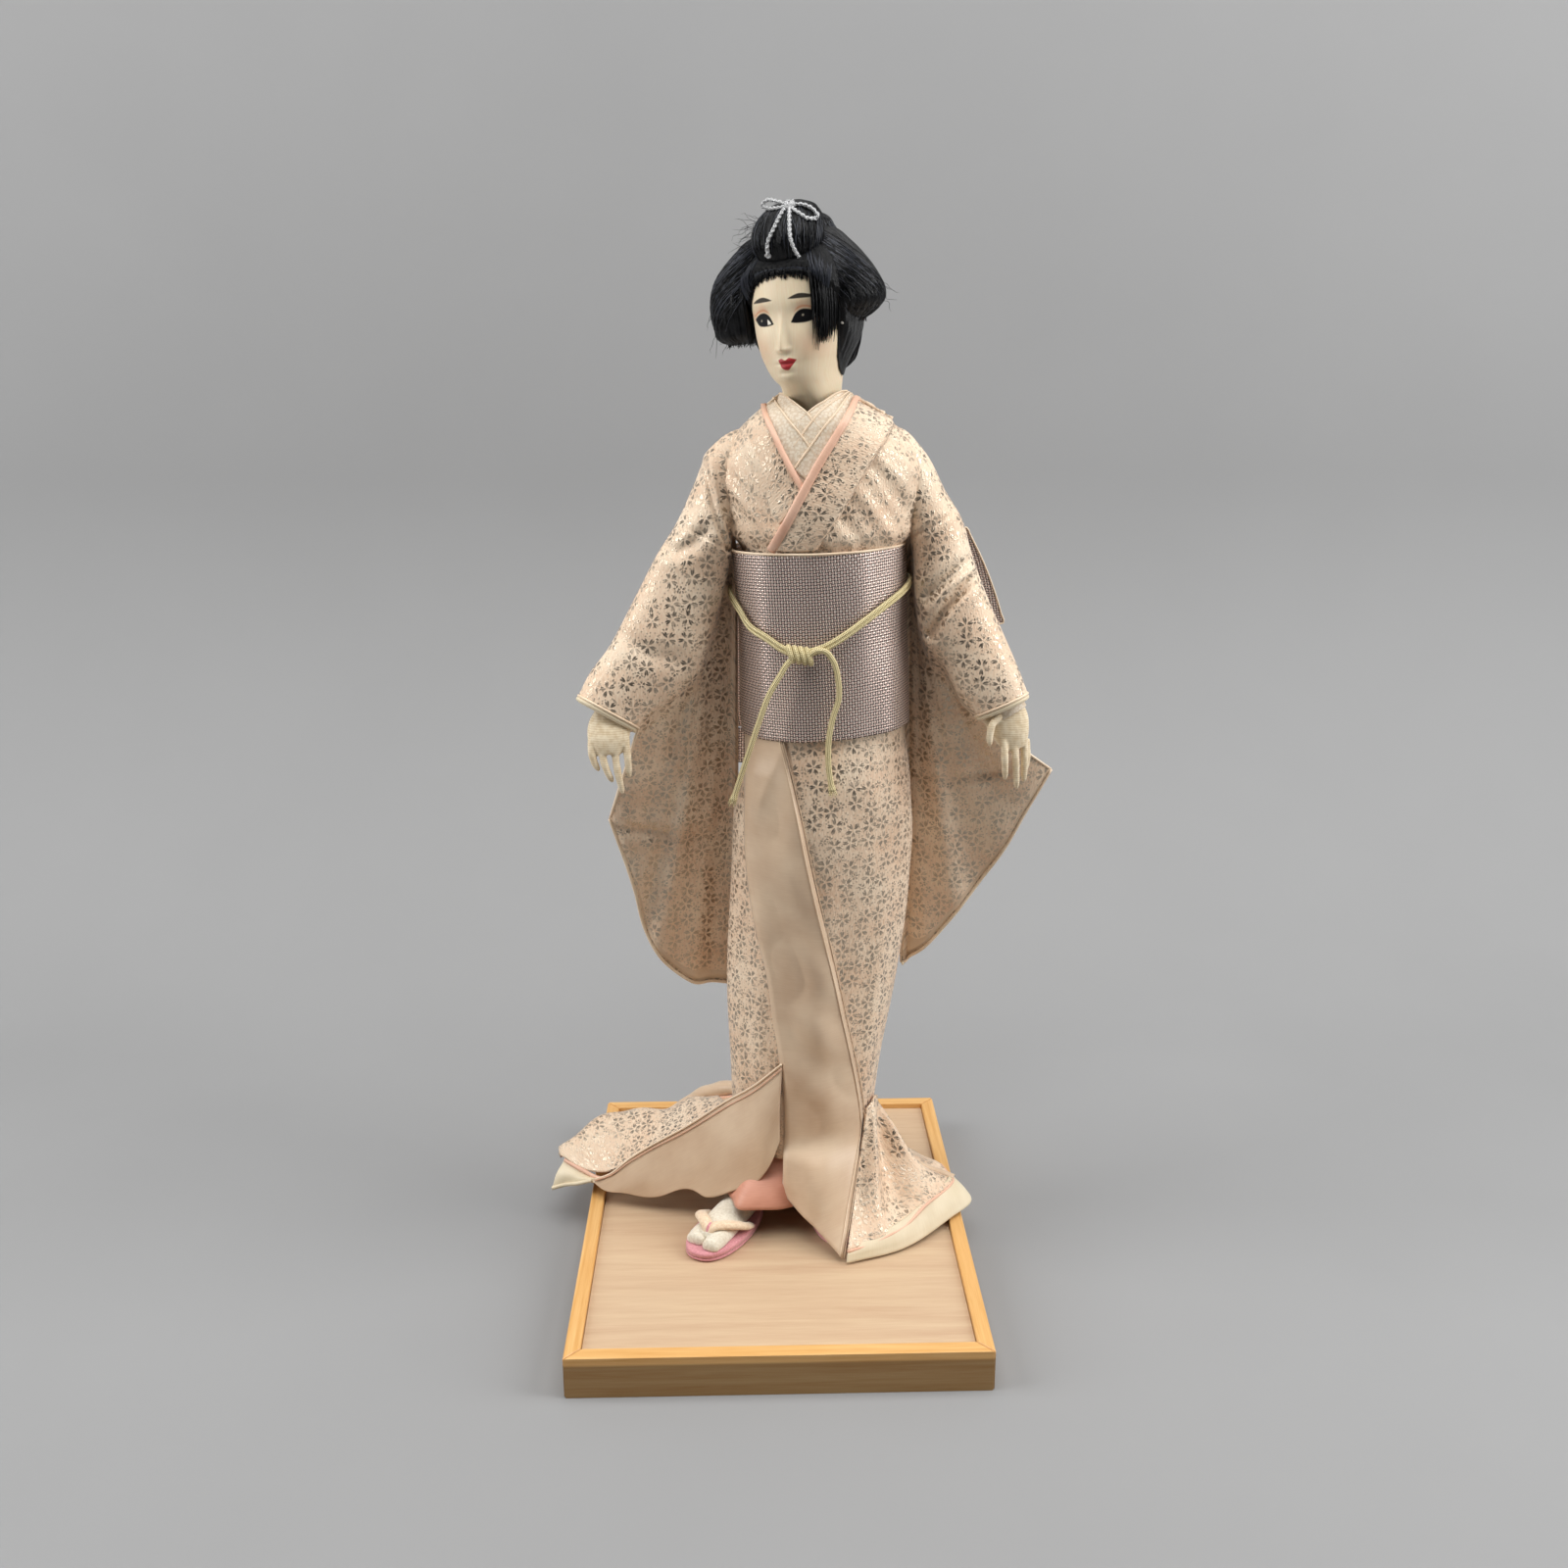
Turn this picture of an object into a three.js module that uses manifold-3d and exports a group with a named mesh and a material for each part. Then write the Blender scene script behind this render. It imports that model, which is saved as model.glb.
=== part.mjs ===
// A cloth-dressed geisha doll on a mitred wooden stand, in millimetres, +Z up.
// The origin is the middle of the stand's underside. The doll faces -Y, and right and left are its own,
// so its right side is at -X. Heights of the doll are measured from the face of the stand's board.

import * as THREE from 'three';
import { mergeVertices } from 'three/addons/utils/BufferGeometryUtils.js';
import Module from 'manifold-3d';

const wasm = await Module();
wasm.setup();

// Stand
const baseWidth = 165;
const baseDepth = 205;
const baseHeight = 17.4;
const railWidth = 6.2;
const boardRecess = 2.4;
const wireDepth = 11;

// Fits and walls
const glueGap = 0.2;
const seatGap = 0.3;
const wireGap = 0.3;
const clothGap = 0.5;
const clothWall = 1.6;

// Armature and padded limbs
const legWireRadius = 1.5;
const armWireRadius = 1.1;
const legWireReach = 20;
const wristWireReach = 10;
const ankleRadius = 5.5;
const calfRadius = 9;
const thighRadius = 11.5;
const hipTop = 136;
const shoulderRadius = 9;
const elbowRadius = 7;
const wristRadius = 5;
const neckPegRadius = 4;
const neckPegDepth = 24;

// Feet and sandals
const soleLength = 50;
const soleWidth = 21;
const soleThickness = 4;
const footLength = 43;
const footWidth = 15;
const footHeight = 6.5;
const ankleHeight = 13;
const strapRadius = 1.3;
const rightFoot = { x: -16.5, y: -13, turn: -27 };
const leftFoot = { x: 27, y: -3, turn: 8 };

// Body and clothes
const bodyX = 20;
const bodyY = 14;
const hipLean = 2.4;
const kneeLean = -3.8;
const ankleLean = -7.5;
const sashBottom = 218;
const sashHeight = 76;
const sashHalfWidth = 35;
const sashHalfDepth = 31;
const sashWall = 2;
const hipHeight = 151;
const hipHalfWidth = 37.7;
const hipHalfDepth = 31.5;
const kneeHeight = 106;
const kneeHalfWidth = 36.5;
const kneeHalfDepth = 30;
const hemHeight = 35;
const hemHalfWidth = 31;
const hemHalfDepth = 29;
const chestHalfWidth = 37;
const chestHalfDepth = 28;
const shoulderDrop = 19;
const neckOpening = 15.5;
const bodiceHeight = 56;
const collarStand = 7;
const underSkirtTop = 112;
const underSkirtBottom = 14.6;
const hemRollRadius = 1.7;
const drumHalfWidth = 40;
const drumHeight = 74;
const drumThickness = 14;
const drumTail = 15;

// Raised parts of the sash cord and the hair cord
const sashCordRadius = 1.15;
const sashKnotRadius = 3.4;
const hairCordRadius = 0.6;

// Head and hair, in the head's own frame at the foot of the neck
const neckRadius = 11;
const headTurn = 28;
const headTilt = 6;
const headHalfWidth = 18.5;
const headFront = 20.5;
const headBack = 21;
const chinHeight = 19;
const headHeight = 72;
const wigThickness = 2;
const lobeSquareness = 2.5;
const pearlRadius = 1.5;

const boardTop = baseHeight - boardRecess;
const sashTop = sashBottom + sashHeight;
const neckHeight = sashTop + bodiceHeight;
const shoulderHeight = neckHeight - shoulderDrop;
const torsoTop = neckHeight - 13;
const neckX = bodyX - 2.5;
const neckY = bodyY - 1;
const armholeRight = bodyX - chestHalfWidth - clothGap;
const armholeLeft = bodyX + chestHalfWidth + clothGap;
const degree = Math.PI / 180;

// Materials, one for each finish
const finish = (color, roughness, metalness = 0) =>
  new THREE.MeshStandardMaterial({ color, roughness, metalness });
const boardWood = () => finish(0xd8bc96, 0.6);
const railWood = () => finish(0xe0ae68, 0.45);
const wireSteel = () => finish(0x8d8f92, 0.4, 1);
const padding = () => finish(0xe9e2d2, 0.95);
const stockinet = () => finish(0xe4cfb0, 0.9);
const sock = () => finish(0xefe6d6, 0.85);
const feltPink = () => finish(0xd88f96, 0.95);
const brocade = () => finish(0xdcbca2, 0.6);
const satin = () => finish(0xdcc29c, 0.4);
const pinkSilk = () => finish(0xdd9f86, 0.45);
const creamSilk = () => finish(0xe8dcc0, 0.7);
const sashWeave = () => finish(0xa9928c, 0.4, 0.5);
const goldCord = () => finish(0xd8c68a, 0.5, 0.3);
const silverCord = () => finish(0xd9dde0, 0.4, 0.5);
const faceSilk = () => finish(0xead9bd, 0.6);
const hair = () => finish(0x14151a, 0.45);
const pearl = () => finish(0xf2efe6, 0.25);
const pegWood = () => finish(0xc79a62, 0.6);

// Geometry helpers

const at = (x, y, z) => new THREE.Vector3(x, y, z);
const mix = THREE.MathUtils.lerp;
const smooth = THREE.MathUtils.smoothstep;

// A geometry from points and triangles, turned so that its faces point out
function closed(points, faces) {
  let volume = 0;
  for (let i = 0; i < faces.length; i += 3) {
    const [a, b, c] = [points[faces[i]], points[faces[i + 1]], points[faces[i + 2]]];
    volume += a.dot(b.clone().cross(c));
  }
  const index = volume < 0 ? [...faces].reverse() : faces;
  const geometry = new THREE.BufferGeometry().setFromPoints(points);
  geometry.setIndex(index);
  return geometry;
}

// A solid through rings of equal count, with a fan over each end
function loft(rings) {
  const count = rings[0].length;
  const points = rings.flat();
  const faces = [];
  for (let i = 0; i + 1 < rings.length; i++) {
    for (let j = 0; j < count; j++) {
      const a = i * count + j;
      const b = i * count + ((j + 1) % count);
      faces.push(a, b, b + count, a, b + count, a + count);
    }
  }
  const middle = (ring) => ring.reduce((sum, p) => sum.add(p), at(0, 0, 0)).divideScalar(count);
  const last = (rings.length - 1) * count;
  points.push(middle(rings[0]), middle(rings[rings.length - 1]));
  for (let j = 0; j < count; j++) {
    const k = (j + 1) % count;
    faces.push(points.length - 2, k, j);
    faces.push(points.length - 1, last + j, last + k);
  }
  return closed(points, faces);
}

// A tube wall between outer rings and inner rings, open at both ends
function wallOf(outer, inner) {
  const loop = [...outer, ...[...inner].reverse()];
  const count = outer[0].length;
  const faces = [];
  for (let i = 0; i < loop.length; i++) {
    const next = (i + 1) % loop.length;
    for (let j = 0; j < count; j++) {
      const k = (j + 1) % count;
      faces.push(i * count + j, i * count + k, next * count + k);
      faces.push(i * count + j, next * count + k, next * count + j);
    }
  }
  return closed(loop.flat(), faces);
}

// A cloth slab: a grid of middle points, thickened along its normals by half(i, j) on each side
function slab(grid, half) {
  const rows = grid.length;
  const columns = grid[0].length;
  const step = (i, j) => grid[Math.min(Math.max(i, 0), rows - 1)][Math.min(Math.max(j, 0), columns - 1)];
  const front = [];
  const back = [];
  for (let i = 0; i < rows; i++) {
    for (let j = 0; j < columns; j++) {
      const along = step(i + 1, j).clone().sub(step(i - 1, j));
      const across = step(i, j + 1).clone().sub(step(i, j - 1));
      const normal = along.cross(across).normalize().multiplyScalar(half(i, j));
      front.push(grid[i][j].clone().add(normal));
      back.push(grid[i][j].clone().sub(normal));
    }
  }
  const total = rows * columns;
  const faces = [];
  for (let i = 0; i + 1 < rows; i++) {
    for (let j = 0; j + 1 < columns; j++) {
      const a = i * columns + j;
      const b = a + columns;
      faces.push(a, b, b + 1, a, b + 1, a + 1);
      faces.push(total + a, total + b + 1, total + b, total + a, total + a + 1, total + b + 1);
    }
  }
  const edge = [];
  for (let j = 0; j + 1 < columns; j++) edge.push(j);
  for (let i = 0; i + 1 < rows; i++) edge.push(i * columns + columns - 1);
  for (let j = columns - 1; j > 0; j--) edge.push((rows - 1) * columns + j);
  for (let i = rows - 1; i > 0; i--) edge.push(i * columns);
  edge.forEach((a, n) => {
    const b = edge[(n + 1) % edge.length];
    faces.push(a, b, total + b, a, total + b, total + a);
  });
  return closed([...front, ...back], faces);
}

// Rows of points between curves, which are lists of points followed smoothly
function sheetBetween(curves, across, down) {
  const lines = curves.map((points) => new THREE.CatmullRomCurve3(points, false, 'centripetal'));
  const grid = [];
  for (let i = 0; i <= across; i++) {
    const column = lines.map((line) => line.getPoint(i / across));
    const rib = column.length > 2 ? new THREE.CatmullRomCurve3(column) : new THREE.LineCurve3(...column);
    grid.push(Array.from({ length: down + 1 }, (_, j) => rib.getPoint(j / down)));
  }
  return grid;
}

// A round limb along points, with one radius for each point and an optional flattening towards Y
function limb(points, radii, sides = 12, flat = 1) {
  const rings = points.map((p, i) => {
    const before = points[Math.max(i - 1, 0)];
    const after = points[Math.min(i + 1, points.length - 1)];
    const tangent = after.clone().sub(before).normalize();
    const side = at(0, 1, 0).cross(tangent).normalize();
    const depth = tangent.clone().cross(side);
    return Array.from({ length: sides }, (_, j) => {
      const angle = (j / sides) * 2 * Math.PI;
      const wide = side.clone().multiplyScalar(radii[i] * Math.cos(angle));
      const deep = depth.clone().multiplyScalar(radii[i] * flat * Math.sin(angle));
      return p.clone().add(wide).add(deep);
    });
  });
  return loft(rings);
}

// A round wire or cord along a smooth line through points
function cord(points, radius, steps) {
  const shape = new THREE.Shape().absarc(0, 0, radius, 0, 2 * Math.PI);
  const extrudePath = new THREE.CatmullRomCurve3(points, false, 'centripetal');
  return new THREE.ExtrudeGeometry(shape, { extrudePath, steps, curveSegments: 4 });
}

// An egg-shaped solid with three half sizes about a middle point
function egg(middle, halves, across = 16, down = 10) {
  const geometry = new THREE.SphereGeometry(1, across, down);
  geometry.scale(...halves);
  geometry.translate(...middle);
  return geometry;
}

// A full lobe of hair: a sphere squared off a little, then scaled and leaning as it rises
function lobe({ middle, halves, lean }, extra = 0) {
  const geometry = new THREE.SphereGeometry(1, 14, 9);
  const points = geometry.attributes.position;
  for (let i = 0; i < points.count; i++) {
    const p = at(points.getX(i), points.getY(i), points.getZ(i));
    const norm = p.toArray().reduce((sum, value) => sum + Math.abs(value) ** lobeSquareness, 0);
    p.divideScalar(norm ** (1 / lobeSquareness));
    const size = halves.map((half) => half + extra);
    points.setXYZ(i, middle[0] + size[0] * p.x + lean[0] * p.z, middle[1] + size[1] * p.y + lean[1] * p.z,
      middle[2] + size[2] * p.z);
  }
  return geometry;
}

function block(low, high) {
  const geometry = new THREE.BoxGeometry(high[0] - low[0], high[1] - low[1], high[2] - low[2]);
  geometry.translate(...low.map((value, i) => (value + high[i]) / 2));
  return geometry;
}

// Booleans
function solid(geometry) {
  const bare = geometry.clone();
  bare.deleteAttribute('normal');
  bare.deleteAttribute('uv');
  const merged = mergeVertices(bare, 1e-4);
  const vertProperties = new Float32Array(merged.attributes.position.array);
  const triVerts = new Uint32Array(merged.index.array);
  return new wasm.Manifold(new wasm.Mesh({ numProp: 3, vertProperties, triVerts }));
}

function geometryOf(body) {
  const { vertProperties, triVerts } = body.getMesh();
  const geometry = new THREE.BufferGeometry();
  geometry.setAttribute('position', new THREE.BufferAttribute(vertProperties, 3));
  geometry.setIndex(new THREE.BufferAttribute(triVerts, 1));
  return geometry;
}

const cut = (geometry, ...tools) =>
  geometryOf(tools.reduce((body, tool) => body.subtract(solid(tool)), solid(geometry)));
const join = (...geometries) =>
  geometryOf(geometries.slice(1).reduce((body, more) => body.add(solid(more)), solid(geometries[0])));

const doll = new THREE.Group();
doll.position.z = boardTop;
const stand = new THREE.Group();
const head = new THREE.Group();
head.position.set(neckX, neckY, torsoTop + seatGap + neckRadius * Math.sin(headTilt * degree));
head.rotation.set(0, -headTilt * degree, -headTurn * degree, 'YZX');

function piece(group, name, geometry, material) {
  const mesh = new THREE.Mesh(geometry, material);
  mesh.name = name;
  group.add(mesh);
}

// Body levels: each is a height with the middle and half sizes of the clothes' outer face there

const level = (z, x, y, halfWidth, halfDepth) => ({ z, x, y, halfWidth, halfDepth });
const underSashWidth = sashHalfWidth - sashWall - clothGap;
const underSashDepth = sashHalfDepth - sashWall - clothGap;
const waistX = bodyX + hipLean;
const sashX = (z) => mix(waistX, bodyX, (z - sashBottom) / sashHeight);

const skirtLevels = [
  level(hemHeight, bodyX + ankleLean, bodyY + 2, hemHalfWidth, hemHalfDepth),
  level(mix(hemHeight, kneeHeight, 0.4), bodyX + ankleLean + 1, bodyY + 2, hemHalfWidth + 1.6,
    hemHalfDepth + 0.4),
  level(kneeHeight, bodyX + kneeLean, bodyY + 2, kneeHalfWidth, kneeHalfDepth),
  level(hipHeight, bodyX, bodyY + 1, hipHalfWidth, hipHalfDepth),
  level(mix(hipHeight, sashBottom, 0.6), bodyX + hipLean * 0.7, bodyY, hipHalfWidth - 1, hipHalfDepth - 0.2),
  level(sashBottom - 5, waistX, bodyY, underSashWidth + 1, underSashDepth + 1),
  level(sashBottom - 1, waistX, bodyY, underSashWidth, underSashDepth),
  level(sashBottom + 16, sashX(sashBottom + 16), bodyY, underSashWidth, underSashDepth),
];

const bodiceLevels = [
  level(sashTop - 18, sashX(sashTop - 18), bodyY, underSashWidth, underSashDepth),
  level(sashTop + 1, bodyX, bodyY, underSashWidth, underSashDepth),
  level(sashTop + 7, bodyX, bodyY, chestHalfWidth - 1.5, chestHalfDepth + 1),
  level(mix(sashTop, shoulderHeight, 0.55), bodyX, bodyY, chestHalfWidth, chestHalfDepth),
  level(shoulderHeight, bodyX, bodyY, chestHalfWidth, chestHalfDepth - 3),
  level(mix(shoulderHeight, neckHeight, 0.4), bodyX - 0.8, bodyY, chestHalfWidth - 4.5, chestHalfDepth - 5),
  level(mix(shoulderHeight, neckHeight, 0.65), bodyX - 1.6, bodyY, mix(chestHalfWidth, neckOpening, 0.45),
    21.5),
  level(mix(shoulderHeight, neckHeight, 0.85), neckX, bodyY, mix(chestHalfWidth, neckOpening, 0.75), 19.5),
  level(neckHeight, neckX, bodyY, neckOpening, 17.5),
];

function levelAt(levels, z) {
  const upper = Math.max(1, levels.findIndex((entry) => entry.z >= z));
  const [low, high] = [levels[upper - 1], levels[upper]];
  const share = (z - low.z) / (high.z - low.z);
  const between = (key) => mix(low[key], high[key], share);
  return level(z, between('x'), between('y'), between('halfWidth'), between('halfDepth'));
}

const around = (entry, angle, lift) => at(
  entry.x + (entry.halfWidth + lift) * Math.cos(angle),
  entry.y + (entry.halfDepth + lift) * Math.sin(angle),
  entry.z);

// The point on the front of the clothes at a given x and height
function onFront(levels, x, z, lift) {
  const entry = levelAt(levels, z);
  const share = THREE.MathUtils.clamp((x - entry.x) / (entry.halfWidth + lift), -0.98, 0.98);
  return at(x, entry.y - (entry.halfDepth + lift) * Math.sqrt(1 - share * share), z);
}

const ringOf = (entry, lift, sides) =>
  Array.from({ length: sides }, (_, j) => around(entry, (j / sides) * 2 * Math.PI, lift));

// A garment tube with its wall, through body levels
function garment(levels, sides) {
  const rings = (lift) => levels.map((entry) => ringOf(entry, lift, sides));
  return wallOf(rings(0), rings(-clothWall));
}

// Value at a share on a line through [share, value] pairs
function alongPairs(pairs, share) {
  const upper = Math.max(1, pairs.findIndex((pair) => pair[0] >= share));
  const [low, high] = [pairs[upper - 1], pairs[upper]];
  return mix(low[1], high[1], (share - low[0]) / (high[0] - low[0]));
}

// Leg axes run straight from a hole in the board, through the sandal and foot, to the hip

function footPoint(foot, x, y, z) {
  return at(x, y, z).applyAxisAngle(at(0, 0, 1), foot.turn * degree).add(at(foot.x, foot.y, 0));
}

const legHip = { right: at(bodyX - 13.5, bodyY, hipTop), left: at(bodyX + 11, bodyY + 1, hipTop) };
const ankleBack = footLength * 0.22;

// Upright in the board and sandal, then leaning in towards the hip
function legPoint(side, foot, z) {
  const heel = footPoint(foot, 0, ankleBack, 0);
  const rise = THREE.MathUtils.clamp(z / hipTop, 0, 1);
  return heel.lerp(legHip[side], 1 - (1 - rise) ** 3).setZ(z);
}

function legWire(side, foot, extra) {
  const bends = [0, 0.1, 0.25, 0.45, 0.7].map((share) => share * hipTop);
  const heights = [-wireDepth - extra, ...bends, hipTop + legWireReach + extra];
  return limb(heights.map((z) => legPoint(side, foot, z)), heights.map(() => legWireRadius + extra), 8);
}

function makeStand() {
  const boardWidth = baseWidth - 2 * (railWidth + glueGap);
  const boardDepth = baseDepth - 2 * (railWidth + glueGap);
  const board = block([-boardWidth / 2, -boardDepth / 2, 0], [boardWidth / 2, boardDepth / 2, boardTop]);
  const holes = [legWire('right', rightFoot, wireGap), legWire('left', leftFoot, wireGap)];
  holes.forEach((hole) => hole.translate(0, 0, boardTop));
  piece(stand, 'base_board', cut(board, ...holes), boardWood());
  const rails = [
    ['front_rail', baseWidth, 0, -baseDepth / 2, 0],
    ['left_rail', baseDepth, baseWidth / 2, 0, 90],
    ['back_rail', baseWidth, 0, baseDepth / 2, 180],
    ['right_rail', baseDepth, -baseWidth / 2, 0, 270],
  ];
  for (const [name, length, x, y, turn] of rails) {
    const outer = length / 2 - glueGap;
    const inner = outer - railWidth;
    const outline = new THREE.Shape([[-outer, 0], [outer, 0], [inner, railWidth], [-inner, railWidth]]
      .map(([px, py]) => new THREE.Vector2(px, py)));
    const rail = new THREE.ExtrudeGeometry(outline, { depth: baseHeight, bevelEnabled: false });
    rail.rotateZ(turn * degree);
    rail.translate(x, y, 0);
    piece(stand, name, rail, railWood());
  }
}

function makeLeg(side, foot) {
  const wire = legWire(side, foot, 0);
  const hole = legWire(side, foot, wireGap);
  piece(doll, `${side}_leg_wire`, wire, wireSteel());

  const outline = new THREE.Shape();
  const [halfLength, halfWidth] = [soleLength / 2, soleWidth / 2];
  outline.moveTo(0, -halfLength);
  const waist = halfWidth * 0.85;
  const heel = [halfWidth * 0.8, halfLength * 1.25];
  outline.bezierCurveTo(halfWidth * 1.2, -halfLength, halfWidth * 1.1, -halfLength * 0.3, waist, 0);
  outline.bezierCurveTo(heel[0], heel[1], -heel[0], heel[1], -waist, 0);
  outline.bezierCurveTo(-halfWidth * 1.1, -halfLength * 0.3, -halfWidth * 1.2, -halfLength, 0, -halfLength);
  const thick = { depth: soleThickness, bevelEnabled: false, curveSegments: 8 };
  const sole = new THREE.ExtrudeGeometry(outline, thick);
  sole.rotateZ(foot.turn * degree);
  sole.translate(foot.x, foot.y, seatGap);
  piece(doll, `${side}_sandal`, cut(sole, hole), feltPink());

  // The sock foot is a low wedge that rises to the ankle
  const footBase = seatGap + soleThickness + seatGap;
  const slices = [[-0.5, 0.5, 0.45], [-0.44, 0.82, 0.62], [-0.3, 1, 0.8], [-0.1, 0.95, 0.95],
    [0.08, 0.85, 1.1], [0.3, 0.78, 1.1], [0.44, 0.66, 0.9], [0.5, 0.4, 0.6]];
  const rings = slices.map(([place, wide, tall]) => Array.from({ length: 12 }, (_, j) => {
    const angle = (j / 12) * 2 * Math.PI;
    const x = Math.cos(angle) * wide * footWidth / 2;
    const rise = Math.max(Math.sin(angle), -0.35) + 0.35;
    return footPoint(foot, x, place * footLength, footBase + rise / 1.35 * tall * footHeight);
  }));
  const ankle = limb([legPoint(side, foot, footBase + 3), legPoint(side, foot, ankleHeight)],
    [ankleRadius, ankleRadius - 0.6]);
  piece(doll, `${side}_foot`, cut(join(loft(rings), ankle), hole), sock());

  // The strap's two arms rise from the sole's edges and meet between the toes
  const strapTop = footBase + footHeight * 0.8 + strapRadius + clothGap;
  const edge = footWidth / 2 + strapRadius + clothGap;
  const strap = cord([
    footPoint(foot, -edge, -footLength * 0.02, footBase + strapRadius),
    footPoint(foot, -edge * 0.95, -footLength * 0.1, strapTop - 2),
    footPoint(foot, -edge * 0.5, -footLength * 0.2, strapTop + 0.7),
    footPoint(foot, 0, -footLength * 0.3, strapTop),
    footPoint(foot, edge * 0.5, -footLength * 0.2, strapTop + 0.7),
    footPoint(foot, edge * 0.95, -footLength * 0.1, strapTop - 2),
    footPoint(foot, edge, -footLength * 0.02, footBase + strapRadius),
  ], strapRadius, 10);
  piece(doll, `${side}_sandal_strap`, strap, creamSilk());

  const legFoot = ankleHeight + seatGap;
  const heights = [0, 0.1, 0.25, 0.45, 0.7, 0.9, 1].map((share) => mix(legFoot, hipTop, share));
  const radii = [ankleRadius, ankleRadius + 0.3, mix(ankleRadius, calfRadius, 0.5), calfRadius,
    mix(calfRadius, thighRadius, 0.6), thighRadius, thighRadius - 1.5];
  const leg = limb(heights.map((z) => legPoint(side, foot, z)), radii, 10);
  piece(doll, `${side}_leg`, cut(leg, hole), padding());
}

// The torso core fills the clothes from hip to neck
function makeTorso() {
  const slack = clothWall + clothGap;
  const low = hipTop + 2;
  const heights = [low, low + 6, hipHeight, mix(hipHeight, sashBottom, 0.5), sashBottom - 2];
  const lower = heights.map((z) => levelAt(skirtLevels, z));
  const waist = level(mix(sashBottom, sashTop, 0.5), bodyX + hipLean / 2, bodyY, underSashWidth - 4,
    underSashDepth - 4);
  const upper = bodiceLevels.slice(1, 7).filter((entry) => entry.z < torsoTop - 1);
  const top = levelAt(bodiceLevels, torsoTop);
  const rings = [...lower, waist, ...upper, top].map((entry) => ringOf(entry, -slack - 0.4, 20));
  rings[0] = ringOf(lower[0], -slack - 5, 20);
  const socket = limb([at(neckX, neckY, torsoTop - neckPegDepth - seatGap), at(neckX, neckY, torsoTop + 2)],
    [neckPegRadius + wireGap, neckPegRadius + wireGap]);
  const lean = new THREE.Matrix4().makeRotationY(-headTilt * degree);
  socket.translate(-neckX, -neckY, -torsoTop).applyMatrix4(lean).translate(neckX, neckY, torsoTop);
  const wire = shoulderWire(wireGap);
  const holes = [legWire('right', rightFoot, wireGap), legWire('left', leftFoot, wireGap)];
  piece(doll, 'torso_core', cut(loft(rings), socket, wire, ...holes), padding());
  piece(doll, 'shoulder_wire', shoulderWire(0), wireSteel());
}

const wireHeight = torsoTop - neckPegDepth - 8;

function shoulderWire(extra) {
  const reach = extra ? chestHalfWidth : chestHalfWidth - clothWall - clothGap;
  const ends = [at(bodyX - reach, bodyY, wireHeight), at(bodyX + reach, bodyY, wireHeight)];
  return limb(ends, [armWireRadius + extra, armWireRadius + extra], 10);
}

// Skirt tube: its rim slopes from an open front down to the floor at the back
function makeSkirt() {
  const sides = 28;
  const rimLow = hemRollRadius;
  const rimRing = (lift) => Array.from({ length: sides }, (_, j) => {
    const angle = (j / sides) * 2 * Math.PI;
    const point = around(skirtLevels[0], angle, lift);
    const openFront = smooth(-Math.sin(angle), -1, 0.1);
    point.z = mix(rimLow + 1, hemHeight - 1, openFront);
    return point;
  });
  const outer = [rimRing(0), ...skirtLevels.map((entry) => ringOf(entry, 0, sides))];
  const inner = [rimRing(-clothWall), ...skirtLevels.map((entry) => ringOf(entry, -clothWall, sides))];
  piece(doll, 'kimono_skirt', wallOf(outer, inner), brocade());

  const slack = clothWall + clothGap + 1;
  const underTop = levelAt(skirtLevels, underSkirtTop);
  const underMiddle = levelAt(skirtLevels, mix(hemHeight, underSkirtTop, 0.4));
  const underHem = level(underSkirtBottom, bodyX + ankleLean - 4, bodyY - 9, hemHalfWidth - 4,
    hemHalfDepth - 8);
  const underKnee = level(hemHeight, bodyX + ankleLean - 0.5, bodyY, hemHalfWidth - slack - 1.5,
    hemHalfDepth - slack - 2);
  const rings = (lift) => [
    ringOf(underHem, lift, 24),
    ringOf(underKnee, lift, 24),
    ringOf(underMiddle, lift - slack, 24),
    ringOf(underTop, lift - slack, 24),
  ];
  piece(doll, 'under_skirt', wallOf(rings(0), rings(-clothWall)), pinkSilk());
}

// The turned-back satin edge runs from the sash down the front, widens, and ends in a corner on the board
// Its edges are [share of the height from hem to sash, x from the body's middle]
const lapelLeftEdge = [[0, -16.4], [0.1, -16.2], [0.22, -17.3], [0.32, -20], [0.46, -23.3], [0.57, -28],
  [0.68, -32], [1, -31.5]];
const lapelRightEdge = [[0, 19], [0.1, 18.4], [0.22, 15], [0.34, 10.5], [0.51, 4], [0.7, -4], [0.86, -10],
  [1, -17]];
const hemCorner = at(28, -40, hemRollRadius + 0.4);

function makeFrontLapel() {
  const lapelWall = clothWall / 2;
  const lift = clothGap + lapelWall + 0.3;
  const low = hemHeight + 8;
  const high = sashBottom - 1.2;
  const across = 6;
  const tall = 10;
  const grid = [];
  for (let i = 0; i <= across; i++) {
    const column = [];
    for (let j = 0; j <= tall; j++) {
      const z = mix(high, low, j / tall);
      const rise = (z - hemHeight) / (sashBottom - hemHeight);
      const x = mix(alongPairs(lapelLeftEdge, rise), alongPairs(lapelRightEdge, rise), i / across);
      column.push(onFront(skirtLevels, bodyX + x, z, lift));
    }
    const rim = column[tall];
    const foot = at(3, -15.5, 20).lerp(hemCorner, i / across);
    for (const share of [0.3, 0.65, 1]) {
      const point = rim.clone().lerp(foot, share);
      point.y -= 3.5 * Math.sin(Math.PI * share) * (1 - i / across);
      column.push(point);
    }
    grid.push(column);
  }
  piece(doll, 'front_lapel', slab(grid, () => lapelWall), satin());
}

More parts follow.
